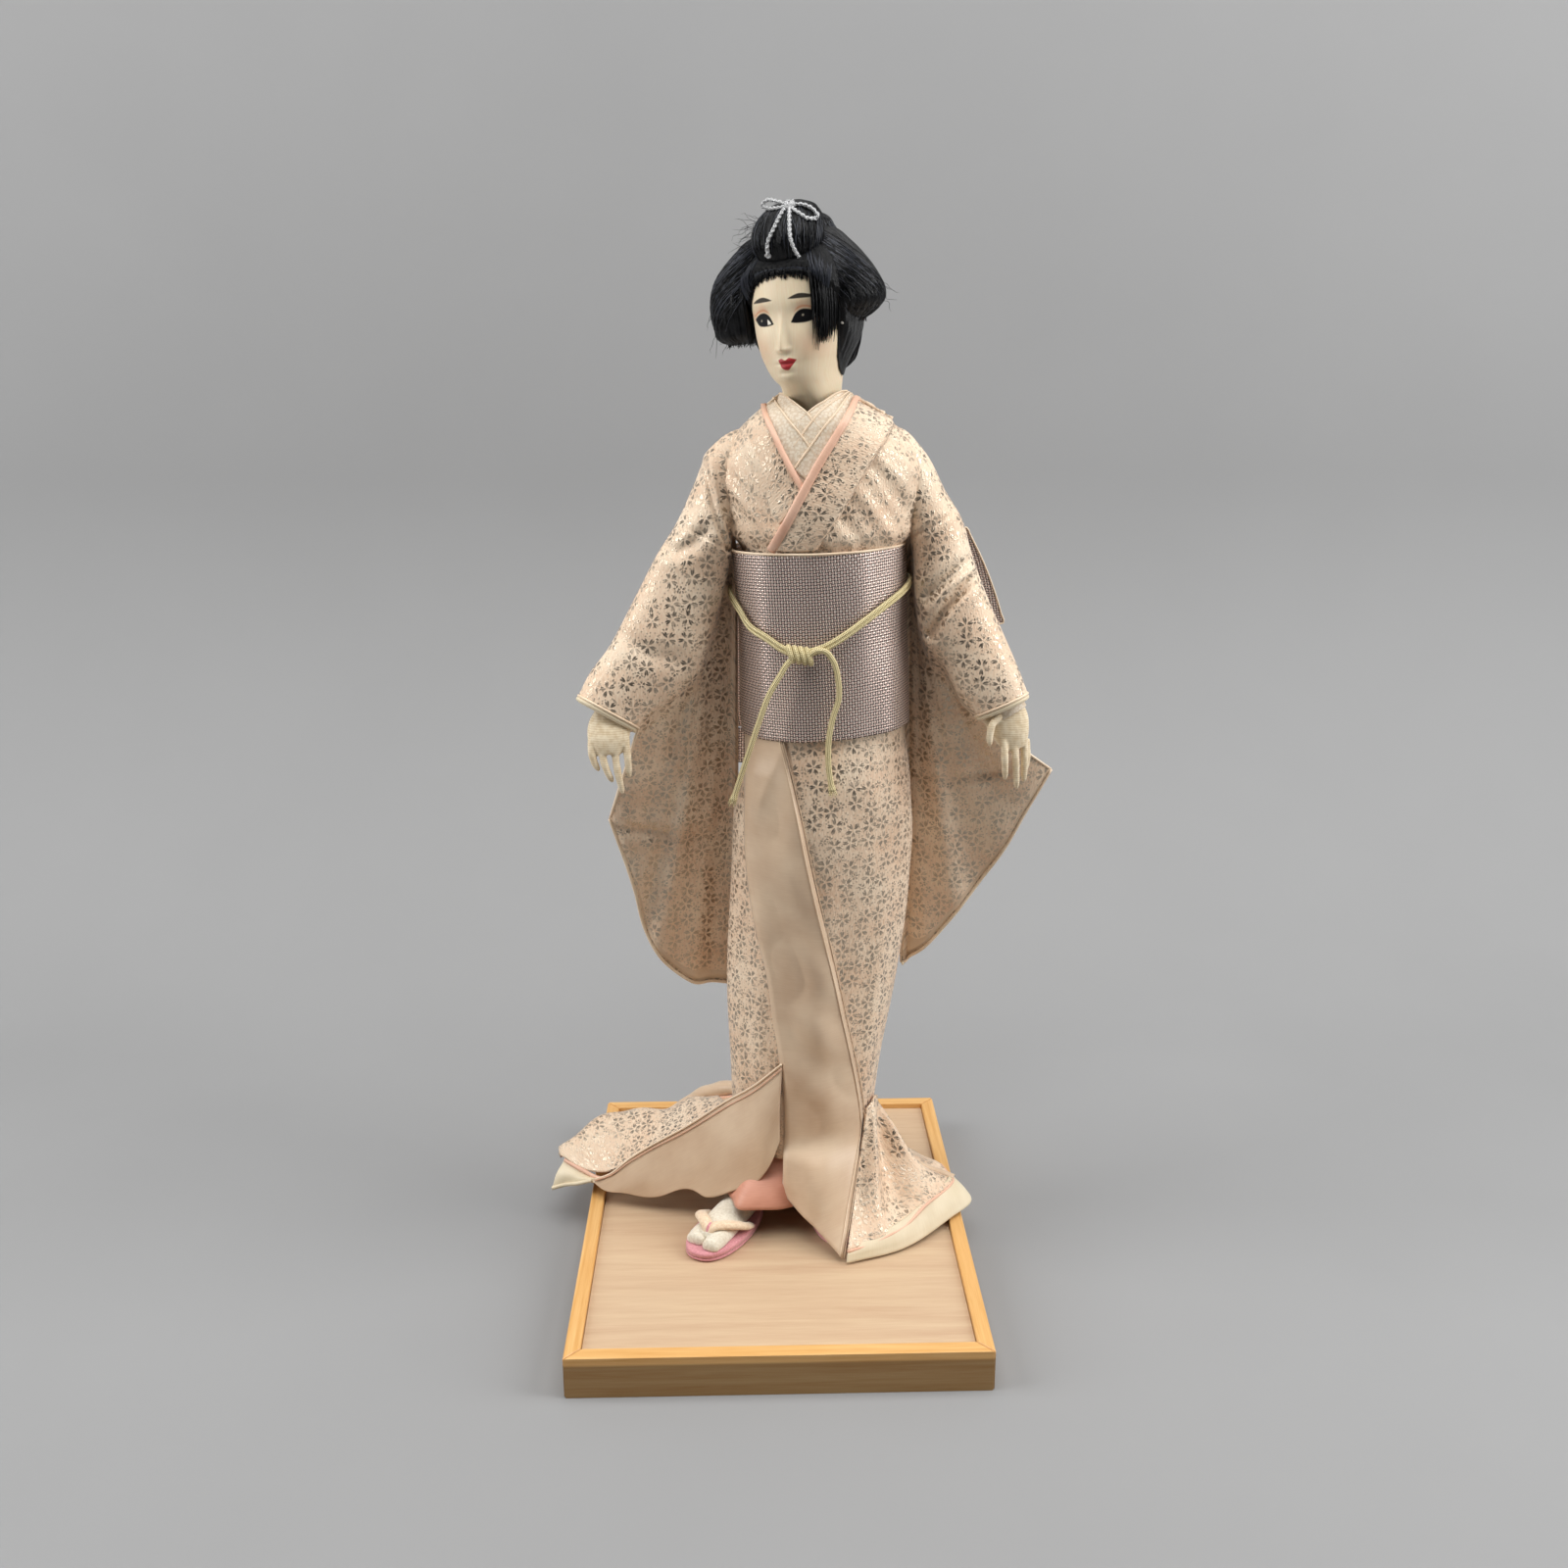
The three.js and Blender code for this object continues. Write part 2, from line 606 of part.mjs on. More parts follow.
// The right front sweeps out to the doll's right with its satin lining showing, and trails on the board
function makeRightTrain() {
  const wall = clothWall / 2;
  const rise = (share) => mix(hemHeight, kneeHeight, share);
  const nearLapel = onFront(skirtLevels, bodyX - 19, rise(0.63), clothGap + wall + 0.4);
  const besideLapel = onFront(skirtLevels, bodyX - 18, rise(0.13), clothGap + wall + 0.8);
  const ridge = [
    nearLapel,
    onFront(skirtLevels, bodyX - 30, rise(0.45), clothGap + wall + 2.4),
    at(-22.5, 3, 53),
    at(-43, 8, 37),
    at(-65.6, 11, 22),
    at(-82, 14, 13),
    at(-97, 19, 9.5),
  ];
  const lower = [
    besideLapel,
    at(-7, -12.5, 25),
    at(-21.8, -8, 13),
    at(-39, 0, 8.5),
    at(-59, 7, 7),
    at(-80, 17, 8.2),
    at(-97, 20.5, 6.6),
  ];
  piece(doll, 'right_front_lining', slab(sheetBetween([ridge, lower], 14, 4), () => wall), satin());

  const behind = (point, back, down) => point.clone().add(at(-0.5, back, -down));
  const front = ridge.slice(2).map((point) => behind(point, 2.6, 0.8));
  const crest = [at(-24, 30, 36), at(-43, 38, 27), at(-64, 42, 18.5), at(-84, 38, 12), at(-98.5, 30, 9.5)];
  const back = [at(-26, 62, 2.4), at(-45, 69, 2.4), at(-64, 69, 2.6), at(-86, 60, 5), at(-99.5, 39, 6.8)];
  piece(doll, 'right_train', slab(sheetBetween([front, crest, back], 12, 7), () => wall), brocade());

  const outward = wall + hemRollRadius + seatGap;
  const ends = [back, crest, front].map((line) => line[line.length - 1]);
  const roll = ends.map((point) => point.clone().add(at(-0.6 * outward, 0, -0.8 * outward)));
  piece(doll, 'right_hem_roll', cord(roll, hemRollRadius, 8), creamSilk());
}

// The left front flares out past the lapel's left edge, and its padded hem rests on the rail
function makeLeftTrain() {
  const wall = clothWall / 2;
  const rim = levelAt(skirtLevels, hemHeight + 15);
  const top = [-0.6, -0.44, -0.22, 0, 0.35, 0.7].map((angle) => around(rim, angle, clothGap + wall + 0.4));
  top.forEach((point, i) => {
    point.z += [4, 7, 8, 6, 0, -8][i];
  });
  const overRail = boardRecess + hemRollRadius + clothGap;
  const hem = [
    hemCorner.clone().add(at(1.6, 0, 0)),
    at(53.5, -30.5, hemRollRadius + 0.6),
    at(76.5, -11, overRail + 0.2),
    at(86.5, 0, overRail + 1),
    at(83, 18, overRail),
    at(68, 46, hemRollRadius + 0.6),
  ];
  const inward = 1.9 * hemRollRadius;
  const edge = hem.map((point, i) => point.clone().lerp(top[i], (inward + wall) / point.distanceTo(top[i])));
  const middle = edge.map((point, i) => point.clone().lerp(top[i], 0.5).add(at(1.5, 0, -3)));
  piece(doll, 'left_train', slab(sheetBetween([top, middle, edge], 14, 6), () => wall), brocade());
  piece(doll, 'left_hem_roll', cord(hem.slice(0, 5), hemRollRadius, 14), creamSilk());
}

function makeBackTrain() {
  const wall = clothWall / 2;
  const rim = levelAt(skirtLevels, hemHeight + 1);
  const angles = [146, 122, 98, 75, 52].map((angle) => angle * degree);
  const top = angles.map((angle) => around(rim, angle, clothGap + wall + 0.3));
  const middle = [at(-23, 64, 23), at(-8, 70, 17), at(14, 70, 11), at(36, 64, 13), at(50, 52, 12)];
  const hem = [at(-36, 85, 15), at(-16, 91, 6), at(14, 91, 1.6), at(42, 84, 1.8), at(62, 66, 1.6)];
  piece(doll, 'back_train', slab(sheetBetween([top, middle, hem], 12, 7), () => wall), brocade());
}

// Bodice, with holes where the shoulder wire passes
function makeBodice() {
  piece(doll, 'kimono_bodice', cut(garment(bodiceLevels, 24), shoulderWire(wireGap)), brocade());
}

// Flat collar strips on the front of the bodice, each from two edge lines [x, height] top to bottom
const rightCollarLift = clothGap + clothWall / 2 + 0.6;
const leftCollarLift = rightCollarLift + 0.6;

function collarStrip(name, inner, outer, material) {
  const lift = name.startsWith('left') ? leftCollarLift : rightCollarLift;
  const grid = [];
  for (let i = 0; i <= 2; i++) {
    const column = [];
    for (let j = 0; j <= 8; j++) {
      const line = (edge) => [mix(edge[0][0], edge[1][0], j / 8), mix(edge[0][1], edge[1][1], j / 8)];
      const [a, b] = [line(inner), line(outer)];
      column.push(onFront(bodiceLevels, mix(a[0], b[0], i / 2), mix(a[1], b[1], i / 2), lift));
    }
    grid.push(column);
  }
  piece(doll, name, slab(grid, () => clothWall / 2), material);
}

function makeCollars() {
  const top = neckHeight - 0.5;
  const waist = sashTop + 2.6;
  const slope = top - waist;
  const overlap = neckX - 14.5;
  const strip = (x, drop) => [x, top - drop * slope];
  collarStrip('left_collar_band', [strip(neckX + 17, 0.06), [overlap + 0.6, waist]],
    [strip(neckX + 28, 0.18), [overlap + 15, waist]], brocade());
  collarStrip('left_piping', [strip(neckX + 13, 0.02), [overlap - 3.4, waist]],
    [strip(neckX + 15.4, 0.05), [overlap - 1, waist]], pinkSilk());
  collarStrip('left_inner_collar', [strip(neckX + 4, 0), [neckX - 10, top - 0.48 * slope]],
    [strip(neckX + 10.6, 0.01), [neckX - 8.6, top - 0.63 * slope]], creamSilk());
  collarStrip('right_inner_collar', [strip(neckX - 3.5, 0), [neckX - 2.6, top - 0.22 * slope]],
    [strip(neckX - 13, 0.02), [neckX - 10.6, top - 0.42 * slope]], creamSilk());
  collarStrip('right_piping', [strip(neckX - 15, 0.05), [neckX - 10.4, top - 0.57 * slope]],
    [strip(neckX - 17.4, 0.07), [neckX - 12, top - 0.62 * slope]], pinkSilk());
  collarStrip('right_collar_band', [strip(neckX - 19, 0.1), [neckX - 13.4, top - 0.66 * slope]],
    [strip(neckX - 29, 0.26), [neckX - 19.6, top - 0.97 * slope]], brocade());

  // The nape collar stands away from the back of the neck
  const wall = clothWall / 2;
  const lowRing = levelAt(bodiceLevels, neckHeight - 2);
  const highRing = level(neckHeight + collarStand, neckX, bodyY + 1, neckOpening + 2.6, 19.5);
  const grid = Array.from({ length: 17 }, (_, i) => {
    const angle = mix(-8, 188, i / 16) * degree;
    const low = around(lowRing, angle, clothGap + wall + 0.6);
    const drop = collarStand * 0.7 * (1 - smooth(Math.sin(angle), -0.2, 0.6));
    const high = around(highRing, angle, 0).sub(at(0, 0, drop));
    return [0, 0.5, 1].map((share) => low.clone().lerp(high, share));
  });
  piece(doll, 'nape_collar', slab(grid, () => wall), brocade());
}

// Sash

const sashLevels = [level(sashBottom, waistX, bodyY, sashHalfWidth, sashHalfDepth),
  level(sashTop, bodyX, bodyY, sashHalfWidth, sashHalfDepth)];

function makeSash() {
  const rings = (lift) => sashLevels.map((entry) => ringOf(entry, lift, 36));
  piece(doll, 'sash_band', wallOf(rings(0), rings(-sashWall)), sashWeave());

  const back = bodyY + sashHalfDepth + clothGap;
  const low = sashBottom - 9;
  const high = low + drumHeight;
  const middleX = bodyX + hipLean / 2;
  const drum = Array.from({ length: 9 }, (_, i) => Array.from({ length: 7 }, (__, j) => at(
    middleX + mix(-drumHalfWidth, drumHalfWidth, i / 8), back + drumThickness / 2, mix(low, high, j / 6))));
  const crown = (i, j) => {
    const wide = 1 - Math.pow(Math.abs(i / 4 - 1), 4);
    const tall = 1 - Math.pow(Math.abs(j / 3 - 1), 4);
    return drumThickness / 2 * (0.35 + 0.65 * Math.sqrt(wide * tall));
  };
  piece(doll, 'sash_drum', slab(drum, crown), sashWeave());

  const tailHalf = drumHalfWidth - 2;
  const tailY = back + drumThickness / 2;
  const tail = Array.from({ length: 5 }, (_, i) => [low - seatGap, low - drumTail / 2, low - drumTail]
    .map((z) => at(middleX + mix(-tailHalf, tailHalf, i / 4), tailY, z)));
  piece(doll, 'sash_tail', slab(tail, () => 1.2), sashWeave());

  for (const [name, way] of [['right', -1], ['left', 1]]) {
    const side = (reach, y, z) => at(middleX + way * (drumHalfWidth + reach), y, z);
    const wing = sheetBetween([
      [side(seatGap, tailY, high - 2), side(11, tailY - 1, high + 9), side(22.5, tailY - 2, high + 14)],
      [side(seatGap, tailY, high - 27), side(20, tailY + 2, high - 28), side(41, tailY + 5, high - 28)],
    ], 8, 6);
    piece(doll, `${name}_sash_wing`, slab(wing, (i) => mix(2.2, 1.4, i / 8)), sashWeave());
  }
}

// The sash cord dips from each side of the drum to a knot on the front, and its two ends hang from the knot
function makeSashCord() {
  const lift = sashCordRadius + clothGap;
  const knotHeight = sashBottom + 38;
  const knotX = bodyX - 8;
  const onSash = (x, z) => onFront(sashLevels, x, z, lift);
  const aside = (angle, z) => around(levelAt(sashLevels, z), angle * degree, sashCordRadius + seatGap);
  const right = [
    onSash(knotX, knotHeight),
    onSash(knotX - 12, knotHeight + 4),
    onSash(bodyX - 26, knotHeight + 10),
    aside(195, knotHeight + 17),
    aside(165, knotHeight + 24),
    aside(135, knotHeight + 28),
    aside(118, knotHeight + 30),
  ];
  const left = [
    onSash(knotX, knotHeight),
    onSash(knotX + 15, knotHeight + 7),
    onSash(bodyX + 22, knotHeight + 15),
    aside(-20, knotHeight + 24),
    aside(12, knotHeight + 28),
    aside(40, knotHeight + 30),
    aside(62, knotHeight + 31),
  ];
  const knotHalves = [sashKnotRadius, sashKnotRadius * 0.72, sashKnotRadius * 0.85];
  const knot = onFront(sashLevels, knotX, knotHeight, knotHalves[1] + seatGap);
  const knotBall = egg(knot.toArray(), knotHalves, 12, 8);
  const bands = [right, left].map((points) => cord(points, sashCordRadius, 15));
  piece(doll, 'sash_cord', join(knotBall, ...bands), goldCord());

  // Loose ends, right then left, lying down the sash and over the skirt
  const drop = knotHalves[2] + seatGap;
  const front = knot.y - 0.6;
  const hang = (x, back, down) => at(x, front + back, knotHeight - down);
  const rightTail = [
    hang(knotX - 1.6, 0, drop + 0.2),
    hang(knotX - 4.6, 0, 7.6),
    hang(2.2, 0.4, 15),
    hang(-3.5, 1.6, 27),
    hang(-8.6, 3.2, 39),
    hang(-12.4, 4.8, 50),
    hang(-16.2, 6.6, 60),
  ];
  const leftTail = [
    hang(knotX + 2.4, 0, drop + 1),
    hang(knotX + 7, -0.6, drop + 0.8),
    hang(knotX + 12, -0.4, 8),
    hang(25.6, -0.2, 15.5),
    hang(23.6, 0, 24),
    hang(21.6, 0, 34),
    hang(22.2, -0.2, 44),
    hang(23.4, -0.4, 54.5),
  ];
  piece(doll, 'right_sash_cord_end', cord(rightTail, sashCordRadius, 14), goldCord());
  piece(doll, 'left_sash_cord_end', cord(leftTail, sashCordRadius, 14), goldCord());
}

// Sleeves: each rib runs over the arm from its top to its underside, then down the hanging bag to its edge

// Points of an arm: how far out from the armhole, the depth, and how far below the shoulder
const beside = (hole, way) => (out, y, drop) => at(hole + way * out, y, shoulderHeight - drop);
const fromRight = beside(armholeRight, -1);
const fromLeft = beside(armholeLeft, 1);

const rightArm = {
  side: 'right',
  hole: armholeRight,
  axis: [fromRight(1.5, 14, 22), fromRight(13, 10.5, 34), fromRight(25.5, 5.5, 60), fromRight(44.5, -1, 96)],
  top: [fromRight(0, 14, -3.5), fromRight(7.5, 14, -1), fromRight(14.5, 12, 11), fromRight(21, 10, 26.5),
    fromRight(33, 6, 48), fromRight(48.5, 2, 75), fromRight(56.5, -1, 87.5), fromRight(60.2, -2, 93.3)],
  under: [fromRight(1.6, 14, 34), fromRight(2, 14, 41), fromRight(3.5, 13, 51), fromRight(6.5, 11, 64),
    fromRight(13.5, 8, 80), fromRight(22.5, 4, 95), fromRight(30.5, 0, 104.5), fromRight(35.2, -2, 108.5)],
  edge: [fromRight(1.5, 35, 234), fromRight(9.5, 31, 232.5), fromRight(20.5, 27, 227), fromRight(30, 23, 215),
    fromRight(37.5, 19.5, 200), fromRight(42.5, 16, 184), fromRight(46.5, 12.5, 167),
    fromRight(50.5, 10, 150.5)],
  wrist: fromRight(46.5, -2, 100.5),
  knuckles: fromRight(46, -7, 117),
  tips: fromRight(44, -8, 132.5),
  thumb: fromRight(36, -10.5, 118),
};

const leftArm = {
  side: 'left',
  hole: armholeLeft,
  axis: [fromLeft(1, 14, 22), fromLeft(13.5, 10.5, 34), fromLeft(24.5, 4.5, 64), fromLeft(35.5, -1.5, 98)],
  top: [fromLeft(0, 14, -3.5), fromLeft(5.5, 14, -0.5), fromLeft(15, 12, 13), fromLeft(26, 10, 26),
    fromLeft(31.5, 6, 48), fromLeft(38.5, 2, 75), fromLeft(43, -1, 89), fromLeft(45.9, -2, 96.3)],
  under: [fromLeft(2, 14, 34.5), fromLeft(2, 14, 41), fromLeft(3.5, 13, 51), fromLeft(2.5, 11, 63),
    fromLeft(6.5, 8, 74), fromLeft(14.5, 4, 88), fromLeft(22.5, 0, 100), fromLeft(27, -2, 105.5)],
  edge: [fromLeft(-0.5, 36, 228), fromLeft(4.5, 32, 223), fromLeft(12.5, 28, 214), fromLeft(21.5, 24, 201),
    fromLeft(30.5, 20.5, 186), fromLeft(41.5, 17.5, 168), fromLeft(51.5, 14.5, 147),
    fromLeft(59.5, 12, 130.5)],
  wrist: fromLeft(36.9, -2, 102),
  knuckles: fromLeft(39.5, -7, 117),
  tips: fromLeft(44, -8, 131.5),
  thumb: fromLeft(31, -10.5, 119),
};

const bagHalf = 1.9;
const tubeHalf = 12.4;

function makeSleeve(arm) {
  const ribs = 14;
  const follow = (points) => new THREE.CatmullRomCurve3(points, false, 'centripetal');
  const lines = [arm.top, arm.under, arm.edge].map(follow);
  const acrossTube = [0, 0.06, 0.2, 0.35, 0.5, 0.65, 0.8, 0.92, 1];
  const downBag = [0.14, 0.3, 0.5, 0.75, 1];
  const foldDepth = 1.6;
  const grid = [];
  for (let i = 0; i <= ribs; i++) {
    const [top, under, edge] = lines.map((line) => line.getPoint(i / ribs));
    const column = acrossTube.map((share) => top.clone().lerp(under, share));
    for (const share of downBag) {
      const point = under.clone().lerp(edge, share);
      point.y += foldDepth * share * Math.sin((i / ribs) * 3 * Math.PI) * (i > 0 && i < ribs ? 1 : 0);
      column.push(point);
    }
    grid.push(column);
  }
  const half = (i, j) => {
    if (j >= acrossTube.length) return bagHalf;
    const share = 2 * acrossTube[j] - 1;
    const power = share < 0 ? 3 : 2;
    return Math.max(bagHalf, tubeHalf * (1 - Math.abs(share) ** power) ** (1 / power));
  };
  const outside = slab(grid, half);
  const passage = armPassage(arm);
  const bodyWard = arm.side === 'right'
    ? block([arm.hole, -60, 200], [arm.hole + 60, 80, 400])
    : block([arm.hole - 60, -60, 200], [arm.hole, 80, 400]);
  piece(doll, `${arm.side}_sleeve`, cut(outside, passage, bodyWard), brocade());
}

const underSleeveWall = 1.2;
const handClearance = 1.2;
const passageRadius = wristRadius + clothGap + underSleeveWall + 2 * clothGap + handClearance;

// The way through the sleeve for the arm, past the cuff at one end and past the armhole at the other
function armPassage(arm) {
  const [shoulder, upper, elbow, wrist] = arm.axis;
  const past = wrist.clone().add(wrist.clone().sub(elbow).setLength(26));
  const before = shoulder.clone().add(shoulder.clone().sub(upper).setLength(10));
  const upperRadius = shoulderRadius + clothGap;
  const elbowPassage = elbowRadius + 1.2 + clothGap;
  const radii = [upperRadius, upperRadius, upperRadius, elbowPassage, passageRadius, passageRadius];
  return limb([before, shoulder, upper, elbow, wrist, past], radii, 16);
}

function makeArm(arm) {
  const [shoulder, upper, elbow, wrist] = arm.axis;
  const forward = wrist.clone().sub(elbow).normalize();
  const armEnd = wrist.clone().addScaledVector(forward, -12);
  const stump = shoulder.clone().add(shoulder.clone().sub(upper).setLength(6));
  const core = limb([stump, shoulder, upper, elbow, armEnd],
    [shoulderRadius - 2, shoulderRadius, shoulderRadius, elbowRadius, wristRadius], 14);
  const gap = arm.side === 'right' ? -clothGap : clothGap;
  const bodyWard = arm.side === 'right'
    ? block([arm.hole + gap, -60, 200], [arm.hole + 60, 80, 400])
    : block([arm.hole - 60, -60, 200], [arm.hole + gap, 80, 400]);
  const holeEnds = [-wristWireReach, 1].map((reach) => armEnd.clone().addScaledVector(forward, reach));
  const wireHole = limb(holeEnds, [armWireRadius + wireGap, armWireRadius + wireGap], 10);
  piece(doll, `${arm.side}_arm`, cut(core, bodyWard, wireHole), padding());

  // The under-kimono's sleeve shows as a thin ring inside the cuff
  const cuffOut = wrist.clone().addScaledVector(forward, 4.5);
  const cuffIn = wrist.clone().addScaledVector(forward, -9);
  const outer = passageRadius - clothGap;
  const ringRadii = [outer - 0.6, outer];
  const tube = limb([cuffIn, cuffOut], ringRadii, 16);
  const boreEnds = [cuffIn.clone().addScaledVector(forward, -2), cuffOut.clone().addScaledVector(forward, 2)];
  const bore = limb(boreEnds, ringRadii.map((radius) => radius - underSleeveWall), 16);
  piece(doll, `${arm.side}_under_sleeve`, cut(tube, bore), creamSilk());

  makeHand(arm, armEnd, forward);
}

// A stuffed hand formed on the end of its wire: round wrist, flat palm, four fingers and a thumb
function makeHand(arm, armEnd, forward) {
  const stemStart = armEnd.clone().addScaledVector(forward, seatGap);
  const stem = limb([stemStart, arm.wrist, arm.wrist.clone().lerp(arm.knuckles, 0.35)],
    [wristRadius, wristRadius, wristRadius - 0.6], 12);
  const palm = limb([arm.wrist, arm.wrist.clone().lerp(arm.knuckles, 0.45), arm.knuckles,
    arm.knuckles.clone().lerp(arm.tips, 0.12)], [wristRadius, 7, 7.2, 6], 12, 0.55);
  const spread = (middle, place, pitch) => middle.clone().add(at((place - 1.5) * pitch, 0, 0));
  const fingers = [0, 1, 2, 3].map((place) => {
    const root = spread(arm.knuckles, place, 3.4);
    const tip = spread(arm.tips, place, 4.3).add(at(0, 0, Math.abs(place - 1.4) * 1.2));
    return limb([root, root.clone().lerp(tip, 0.55).add(at(0, -1, 0)), tip], [1.9, 1.7, 1.2], 6);
  });
  const thumbRoot = arm.wrist.clone().lerp(arm.knuckles, 0.35);
  const thumb = limb([thumbRoot, thumbRoot.clone().lerp(arm.thumb, 0.6), arm.thumb], [3, 2.2, 1.4], 6);
  const wire = limb([armEnd.clone().addScaledVector(forward, seatGap - wristWireReach), arm.wrist],
    [armWireRadius, armWireRadius], 10);
  piece(doll, `${arm.side}_hand`, join(stem, palm, thumb, wire, ...fingers), stockinet());
}

// Head levels: height, half width, front, back
const headLevels = [
  [0, neckRadius, neckRadius, neckRadius],
  [11, neckRadius - 1, neckRadius - 1, neckRadius - 1],
  [chinHeight - 4, neckRadius - 0.6, neckRadius - 0.2, neckRadius],
  [chinHeight, 8.5, headFront - 3, neckRadius + 1],
  [chinHeight + 3, 11.5, headFront - 0.6, neckRadius + 2],
  [chinHeight + 9, 15, headFront, headBack - 5],
  [chinHeight + 16, 17.3, headFront - 0.3, headBack - 2],
  [chinHeight + 25, headHalfWidth, headFront - 0.8, headBack],
  [chinHeight + 34, headHalfWidth, headFront - 0.8, headBack],
  [headHeight - 10, headHalfWidth - 2.5, headFront - 4, headBack - 2.5],
  [headHeight - 4, headHalfWidth - 7.5, headFront - 10, headBack - 8],
  [headHeight, 4, 3.5, 5],
];

function headLoft(from, lift) {
  return loft(headLevels.slice(from).map(([z, wide, front, back], i, list) => {
    const raise = i === list.length - 1 ? lift : 0;
    const entry = level(z + raise, 0, (back - front) / 2, wide, (back + front) / 2);
    return ringOf(entry, lift, 24);
  }));
}

function makeHead() {
  const nose = limb([at(0, -headFront + 1.5, chinHeight + 22), at(0, -headFront + 1, chinHeight + 14),
    at(0, -headFront + 1.5, chinHeight + 11)], [0.8, 2.2, 1], 8);
  const peg = [at(0, 0, -neckPegDepth), at(0, 0, neckPegDepth * 0.8)];
  const hole = limb([at(0, 0, -3), at(0, 0, neckPegDepth * 0.8 + seatGap)],
    [neckPegRadius + wireGap, neckPegRadius + wireGap]);
  piece(head, 'head', cut(join(headLoft(0, 0), nose), hole), faceSilk());
  piece(head, 'neck_peg', limb(peg, [neckPegRadius, neckPegRadius]), pegWood());

  // Hair: a cap over the crown and back, then lobes seated on it, each cut clear of those before it
  const hairline = chinHeight + 39;
  const window = block([-60, -60, -20], [60, -headFront * 0.1, hairline]);
  const cap = cut(headLoft(6, wigThickness + clothGap), headLoft(3, clothGap), window);
  piece(head, 'wig_cap', cap, hair());
  const skull = headLoft(3, wigThickness + clothGap + seatGap);
  const lobes = [
    { name: 'right_hair_wing', middle: [-23, 6, 54], halves: [17.5, 17, 20], lean: [7, 0] },
    { name: 'left_hair_wing', middle: [18.5, 6, 56], halves: [15.5, 17, 19.5], lean: [-6, 0] },
    { name: 'front_hair_roll', middle: [0, -8, headHeight - 0.5], halves: [14, 13, 16], lean: [0, 3] },
    { name: 'topknot', middle: [0, 13, headHeight + 1], halves: [14, 18, 12], lean: [0, 0] },
    { name: 'nape_hair_roll', middle: [0, headBack + 2, 37], halves: [12.5, 9.5, 13], lean: [0, 0] },
  ];
  const ear = [headHalfWidth + pearlRadius + seatGap - 0.5, -5, chinHeight + 22];
  const pearlBall = (extra) => egg(ear, Array(3).fill(pearlRadius + extra), 10, 8);
  piece(head, 'ear_pearl', pearlBall(0), pearl());
  const placed = [skull, pearlBall(seatGap)];
  for (const entry of lobes) {
    piece(head, entry.name, cut(lobe(entry), ...placed), hair());
    placed.push(lobe(entry, seatGap));
  }
  makeHairBow(lobes[2]);
}

// A bow of twisted cord on the front roll: two loops through a knot, and two hanging ends
function makeHairBow({ middle, halves, lean }) {
  const onRoll = (x, z, lift) => {
    const rise = (z - middle[2]) / halves[2];
    const share = 1 - Math.abs(x / halves[0]) ** lobeSquareness - Math.abs(rise) ** lobeSquareness;
    const depth = halves[1] * Math.max(share, 0) ** (1 / lobeSquareness);
    return at(x, middle[1] + lean[1] * rise - depth - lift, z);
  };
  const knotHeight = middle[2] + halves[2] * 0.78;
  const lift = hairCordRadius + clothGap;
  const knot = onRoll(0, knotHeight, lift + 0.6);
  const knotBall = egg(knot.toArray(), [1.5, 1.2, 1.4], 10, 8);
  const loop = (way) => cord([
    knot.clone(),
    knot.clone().add(at(way * 4.5, -0.6, 1.8)),
    knot.clone().add(at(way * 9.5, 0.4, 2)),
    knot.clone().add(at(way * 11, 0.9, 0)),
    knot.clone().add(at(way * 8.5, -0.4, -1.6)),
    knot.clone().add(at(way * 4, -0.8, -0.9)),
    knot.clone().add(at(way * 0.4, 0, -0.2)),
  ], hairCordRadius, 9);
  const end = (way) => {
    const drops = [0, 7, 13, 20];
    const points = drops.map((drop, i) => onRoll(way * [0.3, 2.6, 4.2, 6][i], knotHeight - drop, lift + 0.4));
    return cord(points, hairCordRadius, 5);
  };
  piece(head, 'hair_bow', join(knotBall, loop(-1), loop(1), end(-1), end(1)), silverCord());
}

makeStand();
makeLeg('right', rightFoot);
makeLeg('left', leftFoot);
makeTorso();
makeSkirt();
makeFrontLapel();
makeRightTrain();
makeLeftTrain();
makeBackTrain();
makeBodice();
makeCollars();
makeSash();
makeSashCord();
for (const arm of [rightArm, leftArm]) {
  makeSleeve(arm);
  makeArm(arm);
}
makeHead();
doll.add(head);

const model = new THREE.Group();
model.add(stand, doll);

export default model;
